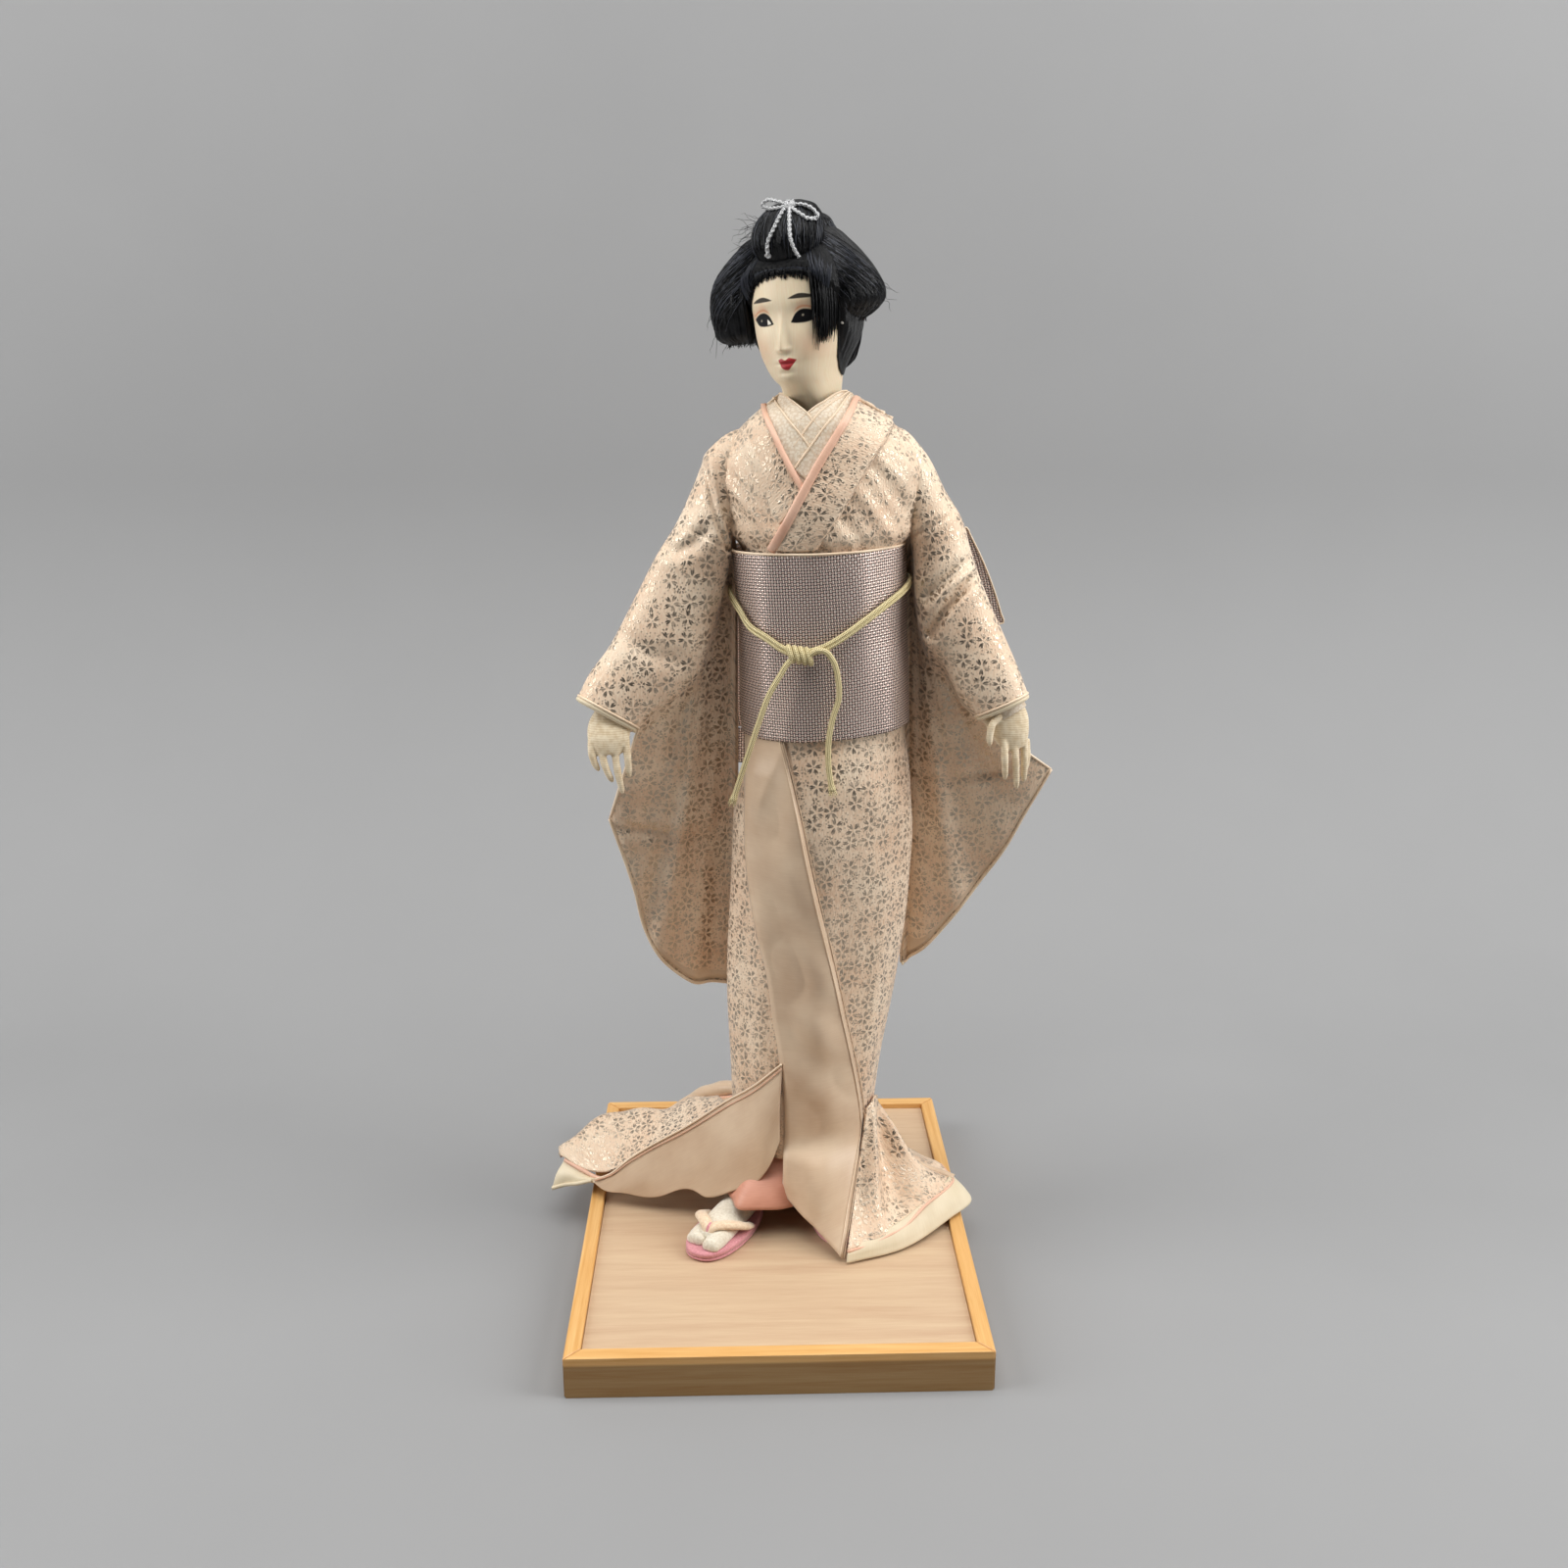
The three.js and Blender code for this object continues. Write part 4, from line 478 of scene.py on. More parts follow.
# Stockinet: fine cream knit drawn over stuffed hands, in level ribs about 0.6 mm apart, drawn at 0.9 mm.
knitLook = {"deep": "#D6BE98", "pale": "#F0E0C2", "rib": 0.9}
stockinet, add, shader = startMaterial("fine_stockinet", roughness=0.8, sheen_weight=0.3)
coords = add("VectorMath", {0: add("TexCoord").outputs["Object"], "Scale": 1000.0}, operation="SCALE")
parts = add("SeparateXYZ", {0: coords})
rib = add("Math", {0: parts.outputs[2], 1: 2 * np.pi / knitLook["rib"]}, operation="MULTIPLY")
rib = add("Math", {0: rib}, operation="SINE")
fuzz = add("TexNoise", {"Vector": coords, "Scale": 0.5, "Detail": 4.0})
height = add("Math", {0: rib, 1: 0.12, 2: fuzz}, operation="MULTIPLY_ADD")
tone = add("MapRange", {0: height, 1: 0.3, 2: 0.7})
colour = add("Mix", {"Factor": tone, 6: linear(knitLook["deep"]), 7: linear(knitLook["pale"])}, data_type="RGBA")
dress(add, shader, colour.outputs[2], height, 0.3, 0.0004)

# Plain fibres: cotton sock, muslin padding and pressed wool felt, all matt with a soft fuzz.
fibreLook = {"sock": ("#D3C8B2", "#EAE2D0", 0.9), "padding": ("#D9CFBB", "#EFE8DA", 0.5),
             "felt": ("#C97F86", "#E2A0A4", 1.4), "strap": ("#DDBE9C", "#EFDABC", 0.8)}


def fibreMaterial(name, deep, pale, grain):
    material, add, shader = startMaterial(name, roughness=0.9, sheen_weight=0.4, sheen_roughness=0.5)
    coords = add("VectorMath", {0: add("TexCoord").outputs["Object"], "Scale": 1000.0}, operation="SCALE")
    fuzz = add("TexNoise", {"Vector": coords, "Scale": grain, "Detail": 5.0, "Roughness": 0.65})
    tone = add("MapRange", {0: fuzz, 1: 0.35, 2: 0.65})
    colour = add("Mix", {"Factor": tone, 6: linear(deep), 7: linear(pale)}, data_type="RGBA")
    dress(add, shader, colour.outputs[2], fuzz, 0.4, 0.0004)
    return material


sockCotton = fibreMaterial("sock_cotton", *fibreLook["sock"])
muslin = fibreMaterial("muslin_padding", *fibreLook["padding"])
woolFelt = fibreMaterial("pink_wool_felt", *fibreLook["felt"])
strapSilk = fibreMaterial("padded_strap_silk", *fibreLook["strap"])

# Wood: sawn veneer with faint level grain for the board, varnished honey basswood for the rails.
woodLook = {
    "board": ("#C0A081", "#CDB291", (0.012, 0.2, 0.2), 0.55),
    # for a rail the last value is how dark its sides are drawn, a painted shade
    "railAcross": ("#CF9750", "#E4B676", (0.012, 0.35, 0.35), 0.4, 0.5),
    "railAlong": ("#CF9750", "#E4B676", (0.35, 0.012, 0.35), 0.4, 0.5),
    "peg": ("#A87B48", "#D2A66C", (0.4, 0.4, 0.02), 0.6)}


def woodMaterial(name, deep, pale, stretch, roughness, paintedSideShade=1.0):
    material, add, shader = startMaterial(name, roughness=roughness, coat_weight=0.08)
    coords = add("VectorMath", {0: add("TexCoord").outputs["Object"], "Scale": 1000.0}, operation="SCALE")
    run = add("VectorMath", {0: coords, 1: stretch}, operation="MULTIPLY")
    bands = add("TexNoise", {"Vector": run, "Scale": 1.0, "Detail": 3.0, "Distortion": 0.4})
    fine = add("VectorMath", {0: run, "Scale": 6.0}, operation="SCALE")
    pores = add("TexNoise", {"Vector": fine, "Scale": 1.0, "Detail": 4.0})
    grain = add("Math", {0: pores, 1: 0.5, 2: bands}, operation="MULTIPLY_ADD")
    tone = add("MapRange", {0: grain, 1: 0.5, 2: 0.95})
    colour = add("Mix", {"Factor": tone, 6: linear(deep), 7: linear(pale)}, data_type="RGBA")
    # painted shade: the sides of a rail, below the height of its top, are drawn darker than its top
    height = add("SeparateXYZ", {0: coords}).outputs[2]
    above = add("MapRange", {0: height, 1: 13.6, 2: 14.6, 3: paintedSideShade, 4: 1.0})
    colour = add("VectorMath", {0: colour.outputs[2], "Scale": above}, operation="SCALE")
    dress(add, shader, colour.outputs[0], grain, 0.12, 0.0004)
    return material


boardVeneer = woodMaterial("board_veneer", *woodLook["board"])
railAcross = woodMaterial("varnished_rail_across", *woodLook["railAcross"])
railAlong = woodMaterial("varnished_rail_along", *woodLook["railAlong"])
pegWood = woodMaterial("peg_dowel", *woodLook["peg"])

# Small hard parts: drawn steel wire with a dull skin, and a glass pearl.
wireLook = {"steel": "#8D8F92", "pearl": "#F1ECDF", "rim": "#CFC4C8"}
drawnSteel, add, shader = startMaterial("drawn_steel_wire", metallic=1.0)
scuff = add("TexNoise", {"Vector": add("TexCoord").outputs["Object"], "Scale": 900.0})
link(add("MapRange", {0: scuff, 3: 0.3, 4: 0.55}).outputs[0], shader, "Roughness")
shader.inputs["Base Color"].default_value = linear(wireLook["steel"])
glassPearl, add, shader = startMaterial("glass_pearl", roughness=0.18, coat_weight=0.6, sheen_weight=0.2)
# painted lustre: the colour turns grey-mauve towards the rim as the surface turns from the view
lustre = add("LayerWeight", {"Blend": 0.4})
colour = add("Mix", {"Factor": lustre.outputs["Facing"], 6: linear(wireLook["pearl"]), 7: linear(wireLook["rim"])},
             data_type="RGBA")
link(colour.outputs[2], shader, "Base Color")
print("stage: materials made")


# Camera, light and backdrop

cameraPlace = {"lens": 36 * 1553.0 / 1600, "yaw": 0.02596, "pitch": 0.27784, "roll": -0.00168,
               "place": (-11.005, -598.79, 384.71)}


def placeCamera(look):
    # forward from yaw and pitch, then right and up turned by the roll
    yaw, pitch, roll = look["yaw"], look["pitch"], look["roll"]
    forward = np.array([np.sin(yaw) * np.cos(pitch), np.cos(yaw) * np.cos(pitch), -np.sin(pitch)])
    right = np.array([np.cos(yaw), -np.sin(yaw), 0])
    up = np.cross(right, forward)
    right, up = right * np.cos(roll) + up * np.sin(roll), up * np.cos(roll) - right * np.sin(roll)
    data = bpy.data.cameras.new("view")
    data.sensor_width = 36
    data.lens = look["lens"]
    data.clip_start = 0.01
    obj = bpy.data.objects.new("view", data)
    turn = np.eye(4)
    turn[:3, :3] = np.stack([right, up, -forward], axis=1)
    turn[:3, 3] = np.array(look["place"]) * mm
    obj.matrix_world = Matrix(turn.tolist())
    scene.collection.objects.link(obj)
    scene.camera = obj


placeCamera(cameraPlace)

# each lamp: place, point it faces, width, height, watts
lampTable = {
    "overhead": ((0.05, -0.2, 1.35), (0.02, -0.1, 0.2), 1.0, 1.15, 13.6),
    "leftFill": ((-1.0, -0.15, 0.75), (0.0, 0.0, 0.25), 0.6, 1.0, 10.0),
    "rightFill": ((1.0, -0.2, 0.75), (0.0, 0.0, 0.25), 0.6, 1.0, 12.0)}
worldGrey = {"colour": "#D8DADD", "strength": 0.06}


def placeLamps(table):
    for name, (place, target, width, height, watts) in table.items():
        data = bpy.data.lights.new(name, "AREA")
        data.shape = "RECTANGLE"
        data.size, data.size_y, data.energy = width, height, watts
        obj = bpy.data.objects.new(name, data)
        back = np.array(place) - np.array(target)
        back /= np.linalg.norm(back)
        side = np.cross((0, 1, 0) if abs(back[2]) > 0.9 else (0, 0, 1), back)
        side /= np.linalg.norm(side)
        turn = np.eye(4)
        turn[:3, :3] = np.stack([side, np.cross(back, side), back], axis=1)
        turn[:3, 3] = place
        obj.matrix_world = Matrix(turn.tolist())
        scene.collection.objects.link(obj)


placeLamps(lampTable)
world = bpy.data.worlds.new("studio")
world.use_nodes = True
world.node_tree.nodes["Background"].inputs["Color"].default_value = linear(worldGrey["colour"])
world.node_tree.nodes["Background"].inputs["Strength"].default_value = worldGrey["strength"]
scene.world = world

# a pale grey sheet lies under the base and curves up behind it
backdropLook = {"front": -2.6, "bend": 0.2, "radius": 0.3, "top": 2.2, "wide": 2.6, "grey": "#949494"}


def makeBackdrop(look):
    # profile: level to the bend, a quarter circle, then upright; carried across in x
    angle = np.linspace(0, np.pi / 2, 24)
    y = np.concatenate([[look["front"]], look["bend"] + look["radius"] * np.sin(angle),
                        [look["bend"] + look["radius"]]])
    z = np.concatenate([[0], look["radius"] * (1 - np.cos(angle)), [look["top"]]])
    x = np.linspace(-look["wide"], look["wide"], 3)
    grid = np.stack([np.broadcast_to(x, (len(y), 3)), np.repeat(y[:, None], 3, 1), np.repeat(z[:, None], 3, 1)], -1)
    material, add, shader = startMaterial("grey_sheet", roughness=0.75)
    mottle = add("TexNoise", {"Vector": add("TexCoord").outputs["Object"], "Scale": 9.0})
    grey = linear(look["grey"])
    colour = add("Mix", {"Factor": mottle, 6: [c * 0.97 for c in grey[:3]] + [1],
                         7: [c * 1.03 for c in grey[:3]] + [1]}, data_type="RGBA")
    link(colour.outputs[2], shader, "Base Color")
    # the back of the sheet is clear to the camera, so that it never hides the doll from behind
    behind = add("Math", {0: add("NewGeometry").outputs["Backfacing"], 1: add("LightPath").outputs["Is Camera Ray"]},
                 operation="MULTIPLY")
    both = add("MixShader", {0: behind, 1: shader, 2: add("BsdfTransparent")})
    link(both.outputs[0], material.node_tree.nodes["Material Output"], "Surface")
    makePiece("backdrop", patch(grid / mm, facing=(0, -1, 1)), material)


makeBackdrop(backdropLook)
print("stage: camera and light set")


# Cords: two loose ends of the sash cord hang from its knot and fray at the tip

sashCordEnds = {
    "radius": 1.15, "fray": 3.2, "knotHeight": 256, "front": -19.33,
    # x, how far behind the knot's front, how far below the knot
    "right": [(8.4, 0, 0.6), (6, 0, 2.6), (2.6, 0, 7.9), (-1.8, 0.4, 15.8), (-5.1, 1.4, 25), (-8.5, 2.6, 35.5),
        (-12.5, 4.8, 48.1), (-16.2, 6.6, 60)],
    "left": [(13.4, 0, 0.4), (16.8, -0.8, -2), (19.8, -0.8, -1.8), (22.8, -0.5, 1.6), (25.2, -0.2, 10), (25.5, 0, 17),
        (23.2, 0, 25), (21.6, 0, 35), (21.8, -0.2, 46), (23.2, -0.4, 54.5)]}


def makeCordEnd(side, look):
    # a round braid down the route, a little fuller where it frays, with loose threads fanned round the tip
    route = np.asarray(look[side], float)
    points = np.stack([route[:, 0], look["front"] + route[:, 1], look["knotHeight"] - route[:, 2]], axis=1)
    path = smoothLine(doll(points), 70)
    run = runAlong(path)
    radius = look["radius"] * (1 + 0.35 * smoothStep(run[-1] - look["fray"], run[-1], run))
    parts = [patch(roundTube(path, radius, 14, ref=(0, 1, 0)), wrap=True, caps=True)]
    tip, way = path[-1], path[-1] - path[-4]
    way /= np.linalg.norm(way)
    side1 = np.cross((0, 1, 0), way)
    for turn in fullTurn(12):
        out = np.cos(turn) * side1 + np.sin(turn) * np.cross(way, side1)
        reach = 2.0 + 0.8 * np.sin(5 * turn)
        thread = smoothLine([tip + 0.7 * out - 2 * way, tip + 1.15 * out, tip + 1.7 * out + reach * way], 5)
        parts.append(patch(roundTube(thread, [0.34, 0.3, 0.26, 0.2, 0.1], 5, ref=(0.3, 1, 0.2)), wrap=True, caps=True))
    cord = makePiece(side + "_cord_end", parts, goldBraid)
    settle(cord, "gold_cord", side + "_sash_cord_end")


for side in ("right", "left"):
    makeCordEnd(side, sashCordEnds)
print("stage: cord ends hung")


# Stand: the board and its mitred rails keep their solids, with eased edges

standFinish = {"base_board": boardVeneer, "front_rail": railAcross, "back_rail": railAcross,
               "left_rail": railAlong, "right_rail": railAlong}
for name, material in standFinish.items():
    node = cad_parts[name]
    node.material_slots[0].material = material
    node.modifiers.new("weld", "WELD").merge_threshold = 1e-5
    ease = node.modifiers.new("ease", "BEVEL")
    ease.width, ease.segments, ease.limit_method, ease.angle_limit = 0.0006, 3, "ANGLE", 0.7
for name in ("right_leg_wire", "left_leg_wire", "shoulder_wire"):
    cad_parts[name].material_slots[0].material = drawnSteel
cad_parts["neck_peg"].material_slots[0].material = pegWood

# Legs and feet

footLook = {
    "right": {"place": (-21.2, -14.2), "turn": -30, "hip": (6.5, 14, 136)},
    "left": {"place": (27, -3), "turn": 8, "hip": (31, 15, 136)},
    "sole": (25, 12.6, 4.0), "strap": 2.8, "stout": 1.18}


def onFoot(foot, points):
    # foot measures (x across, y towards the heel, z) turned and set in place
    points = np.asarray(points, float)
    a = np.radians(foot["turn"])
    x = points[..., 0] * np.cos(a) - points[..., 1] * np.sin(a) + foot["place"][0]
    y = points[..., 0] * np.sin(a) + points[..., 1] * np.cos(a) + foot["place"][1]
    return doll(np.stack([x, y, points[..., 2]], axis=-1))


def makeLeg(side, look):
    foot = look[side]
    # padded leg: from the ankle to the hip, leaning in as the cube of the height left
    z = np.linspace(13.3, 136, 40)
    heel = onFoot(foot, (0, 9.46, 0)) - np.array([0, 0, boardTop])
    lean = (1 - (1 - z / 136) ** 3)[:, None]
    axis = heel * (1 - lean) + np.array(foot["hip"]) * lean
    axis[:, 2] = z
    radius, = smoothTable([(13.3, 5.5), (25.6, 5.8), (44, 7.3), (68.5, 9), (99.2, 10.5), (123.7, 11.5), (136, 10)], z)
    leg = makePiece(side + "_stuffed_leg",
                    patch(roundTube(doll(axis), radius, 20, ref=(0, 1, 0)), wrap=True, caps=True), muslin)
    settle(leg, "padding", side + "_leg")

    # sandal sole: an egg outline, wider at the toes, stacked from a lower layer, a seam and a felt top
    half, wide, thick = look["sole"]
    turn = fullTurn(72)
    outlineY = -half * np.cos(turn)
    outlineX = np.sign(np.sin(turn)) * np.abs(np.sin(turn)) ** 0.85 * wide * (0.93 - 0.1 * outlineY / half)
    layers = np.array([(0.04, 0), (0.93, 0), (0.985, 0.25), (1, 0.7), (1, 1.35), (0.965, 1.5), (0.965, 1.65), (1, 1.8),
                       (1, 3.3), (0.985, 3.7), (0.95, thick), (0.5, thick), (0.04, thick)])
    sole = np.stack([layers[:, :1] * outlineX, layers[:, :1] * outlineY, np.repeat(layers[:, 1:] + 0.3, 72, 1)], -1)
    settle(makePiece(side + "_felt_sandal", patch(onFoot(foot, sole), wrap=True, caps=True), woolFelt), "felt",
           side + "_sandal")

    # split sock: rings across the foot from heel to toe root, then a great toe and a lobe for the rest
    inner = 1 if side == "right" else -1
    base = 4.6
    angle = fullTurn(36)

    def sockRings(table):
        y, x, halfWide, tall = np.array(table, float).T
        ring = np.maximum(np.sin(angle), -0.3) + 0.3
        across = np.sign(np.cos(angle)) * np.abs(np.cos(angle)) ** 0.85
        return np.stack([x[:, None] + halfWide[:, None] * across, np.repeat(y[:, None], 36, 1),
                         base + tall[:, None] * ring / 1.3], -1)

    def smoothRings(table):
        table = np.array(table, float)
        return sockRings(smoothTable(table[:, [0, 0, 1, 2, 3]], np.linspace(table[0, 0], table[-1, 0], 30)).T)

    body = smoothRings([(-17, 0, 6.8, 4.6), (-12, 0, 7.3, 5.4), (-5, 0, 7, 6.6), (4, 0, 6.4, 8.4), (12, 0, 5.9, 8.8),
                        (18, 0, 5, 7.4), (21.4, 0, 2.4, 4)])
    great = smoothRings([(-22, 3.4 * inner, 1.6, 2.6), (-21.2, 3.4 * inner, 2.7, 3.6), (-19, 3.5 * inner, 3.3, 4.2),
                         (-14, 3.5 * inner, 3.7, 5), (-8, 2.8 * inner, 3.7, 5.4)])
    rest = smoothRings([(-20.4, -3.2 * inner, 1.6, 2.4), (-19.8, -3.3 * inner, 2.9, 3.4),
                        (-17.5, -3.5 * inner, 3.6, 4.2), (-13, -3.4 * inner, 3.9, 4.9), (-8, -2.8 * inner, 3.9, 5.4)])
    ankle = roundTube(smoothLine([heel + (0, 0, 6), heel + (0.4, 0.4, 13)], 8),
                      [5.7, 5.7, 5.6, 5.5, 5.4, 5.3, 5.2, 5.1], 28, ref=(0, 1, 0))
    parts = [patch(onFoot(foot, g * (look["stout"], 1, 1)), wrap=True, caps=True) for g in (body, great, rest)]
    parts.append(patch(doll(ankle), wrap=True, caps=True))
    settle(makePiece(side + "_split_sock", parts, sockCotton), "sock", side + "_foot")

    # padded straps from the sole's edges, over the instep, to a pink stitch between the toes
    strap = look["strap"]
    route = [(-8.6, 2.5, base + 0.6), (-8.9, -1, base + 2.2), (-7.6, -6, base + 4.9), (-4, -10.6, base + 6.2),
             (-1.1, -13.6, base + 5.8), (0, -14.8, base + 3.6)]
    parts = []
    for way in (-1, 1):
        path = smoothLine(onFoot(foot, np.array(route) * (way * look["stout"], 1, 1)), 34)
        size = strap * (0.72 + 0.28 * np.sin(np.linspace(0.4, 2.6, 34)))
        parts.append(patch(roundTube(path, size, 14, ref=(0, 0, 1), flat=0.62), wrap=True, caps=True))
    stitch = [(0, -12.6, base + 6.6), (0, -14.6, base + 5.9), (0, -15.6, base + 3), (0, -15.4, base)]
    stitch = smoothLine(onFoot(foot, stitch), 14)
    parts.append(patch(roundTube(stitch, 1.05, 10, ref=(1, 0, 0)), wrap=True, caps=True, look=1))
    settle(makePiece(side + "_padded_strap", parts, [strapSilk, woolFelt]), "cream_silk", side + "_sandal_strap")


for side in ("right", "left"):
    makeLeg(side, footLook)
print("stage: feet made")


# Skirt: an upright tube of brocade. Each level is height, middle x, middle y, half width, half depth

skirtTable = [(35, 12.5, 16, 31, 29), (63.4, 13.5, 16, 32.6, 29.4), (106, 16.2, 16, 36.5, 30),
              (151, 20, 15, 37.7, 31.5), (191.2, 21.7, 14, 36.7, 31.3), (210, 22.4, 14, 33.6, 29.6),
              (217, 22.4, 14, 32.6, 28.6), (234, 21.9, 14, 32.5, 28.5)]
bodiceTable = [(276, 20.6, 14, 32.5, 28.5), (295, 20, 14, 32.6, 28.5), (301, 20, 14, 36.5, 29), (314.4, 20, 14, 40, 28),
               (328, 20, 14, 40.5, 25.5), (338.6, 19.2, 14, 33, 23), (343.4, 18.4, 14, 27.3, 21.5),
               (347.2, 17.5, 14, 20.9, 19.5), (350, 17.5, 14, 15.5, 17.5)]
sashTable = [(216, 22.7, 14, 34.9, 31), (256, 20.8, 14, 35.1, 31), (296, 18.4, 14, 35.3, 31)]


def around(table, angle, z, lift=0.0):
    # the point of a level's ellipse at an angle, lift mm outside it
    x, y, wide, deep = smoothTable(table, np.clip(z, table[0][0], table[-1][0]))
    return np.stack([x + (wide + lift) * np.cos(angle), y + (deep + lift) * np.sin(angle), z + 0 * angle], axis=-1)


def onFront(table, x, z, lift):
    # the point on the front of a garment at a given x and height
    z = z + 0.0 * x
    midX, midY, wide, deep = smoothTable(table, np.clip(z, table[0][0], table[-1][0]))
    share = np.clip((x - midX) / (wide + lift), -0.985, 0.985)
    return np.stack([x, midY - (deep + lift) * np.sqrt(1 - share**2), z], axis=-1)


skirtLook = {"rows": 110, "columns": 160, "fold": 0.55, "rimBack": 2.7, "rimFront": 34, "top": 234}
underSkirtLook = {
    # share of the height, height, middle x, middle y, half width, half depth
    "levels": [(0, 14.6, 8.5, 5, 27, 21), (0.22, 35, 12, 14, 26.4, 23.9), (0.55, 65.8, 13.7, 16, 29.6, 26.3),
        (1, 112, 16.7, 15.9, 33.5, 27.1)], "rows": 60, "columns": 120, "wall": 0.8}


def makeSkirt(look):
    # around the levels from a rim that drops from front to back; shallow upright folds and slanting drag lines
    angle = np.pi / 2 + fullTurn(look["columns"])
    openFront = smoothStep(-1, 0.1, -np.sin(angle))
    rim = look["rimBack"] + (look["rimFront"] - look["rimBack"]) * openFront
    t = np.linspace(0, 1, look["rows"])[:, None]
    z = rim + (look["top"] - rim) * t
    a = np.broadcast_to(angle, z.shape)
    loose = 1 - smoothStep(120, 212, z)
    fold = np.sin(9 * a + 0.02 * z) + 0.7 * np.sin(4 * a - 0.035 * z + 1) + 0.5 * np.sin(17 * a + 2)
    fold = look["fold"] * loose * fold
    drag = 0.35 * np.sin(0.16 * z + 5 * a) * np.exp(-((z - 190) / 22) ** 2)
    grid = doll(around(skirtTable, a, z, fold * 0.7 + drag))
    skirt = thicken(makePiece("brocade_skirt", patch(grid, wrap=True), [brocade, pinkSilk]), clothWall, inside=1)
    settle(skirt, "brocade", "kimono_skirt")


def makeUnderSkirt(look):
    # pink under skirt: a narrower tube that shows round the right foot
    t = np.linspace(0, 1, look["rows"])[:, None]
    z, x, y, wide, deep = smoothTable(look["levels"], np.broadcast_to(t, (look["rows"], look["columns"])))
    a = np.broadcast_to(np.pi / 2 + fullTurn(look["columns"]), z.shape)
    ripple = 0.7 * np.sin(11 * a + 0.05 * z) * (1 - smoothStep(20, 60, z)) + 0.4 * np.sin(6 * a)
    # it is drawn forward over the right instep
    drawn = np.exp(-(((a % (2 * np.pi) - 4.1) / 0.6) ** 2)) * (1 - smoothStep(14.6, 36, z))
    x, y = x + (wide + ripple) * np.cos(a) - 8 * drawn, y + (deep + ripple) * np.sin(a) - 7.5 * drawn
    grid = np.stack([x, y, z], axis=-1)
    under = thicken(makePiece("silk_under_skirt", patch(doll(grid), wrap=True), pinkSilk), look["wall"])
    settle(under, "pink_silk", "under_skirt")


makeSkirt(skirtLook)
makeUnderSkirt(underSkirtLook)

# Front lapel: the turned-back satin edge from the sash to a corner on the board

lapelLook = {
    "left": [(0, -16.4), (0.1, -16.2), (0.22, -17.3), (0.32, -20), (0.46, -23.3), (0.57, -28), (0.68, -31),
        (1, -31.5)],
    "right": [(0, 19), (0.1, 18.4), (0.22, 15), (0.34, 10.5), (0.51, 4), (0.7, -4), (0.86, -10), (1.02, -17)],
    "lift": 2.1, "wall": 1.0, "corner": (28, -40, 2.1), "foot": (3, -15.5, 20)}


def makeLapel(look):
    # rows across the front at falling heights, then three rows out to the foot line; long soft ripples on top
    across = np.linspace(0, 1, 9)
    lines = []
    for z in (224, 214, 204, 190, 172, 154, 136, 118, 100, 82, 66, 53, 43):
        share = (z - 35) / 183
        left, = smoothTable(look["left"], np.array([share]))
        right, = smoothTable(look["right"], np.array([share]))
        x = 20 + left + (right - left) * across
        lines.append(onFront(skirtTable, x, np.full(9, z), look["lift"] - 1.3 * smoothStep(206, 222, z)))
    foot = np.array(look["foot"]) * (1 - across)[:, None] + np.array(look["corner"]) * across[:, None]
    for share in (0.3, 0.65, 1.0):
        row = lines[12] * (1 - share) + foot * share
        row[:, 1] -= 3.5 * np.sin(np.pi * share) * (1 - across)
        lines.append(row)
    grid = sheetThrough(lines, 150, 40)
    u, v = shares(grid)
    ripple = (0.55 * np.sin(2 * np.pi * (v * 3.2 + u * 0.7)) + 0.35 * np.sin(2 * np.pi * (v * 6.1 - u * 0.9) + 1)
              + 0.5 * np.sin(2 * np.pi * (u * 1.2 + v * 0.8))) * np.sin(np.pi * u) ** 0.6 * smoothStep(0.02, 0.2, v)
    grid[..., 1] -= np.maximum(1.7 * ripple, -0.6)
    # both long edges roll under a little
    roll = smoothStep(0.06, 0, u) + smoothStep(0.94, 1, u)
    grid[..., 1] += 1.5 * roll * smoothStep(0.03, 0.1, v)
    lapel = thicken(makePiece("satin_lapel", patch(doll(grid)), satin), look["wall"])
    settle(lapel, "satin", "front_lapel")
    # a corded double edge runs down beside the lapel
    edge = grid[3:, -1]
    outer = edge + np.array([0.5, 0.2, 0])
    inner = grid[3:, -3] + np.array([0.1, -0.25, 0])
    parts = [roundCord(outer, 0.28, 8, (0, 1, 0)), roundCord(inner, 0.2, 6, (0, 1, 0), look=1)]
    settle(makePiece("lapel_edge_cord", parts, [satin, edgeSilk]), "pink_silk")


makeLapel(lapelLook)
print("stage: skirt and lapel hung")

# Right front: it sweeps out to the doll's right with its satin lining showing, and a brocade train lies behind it

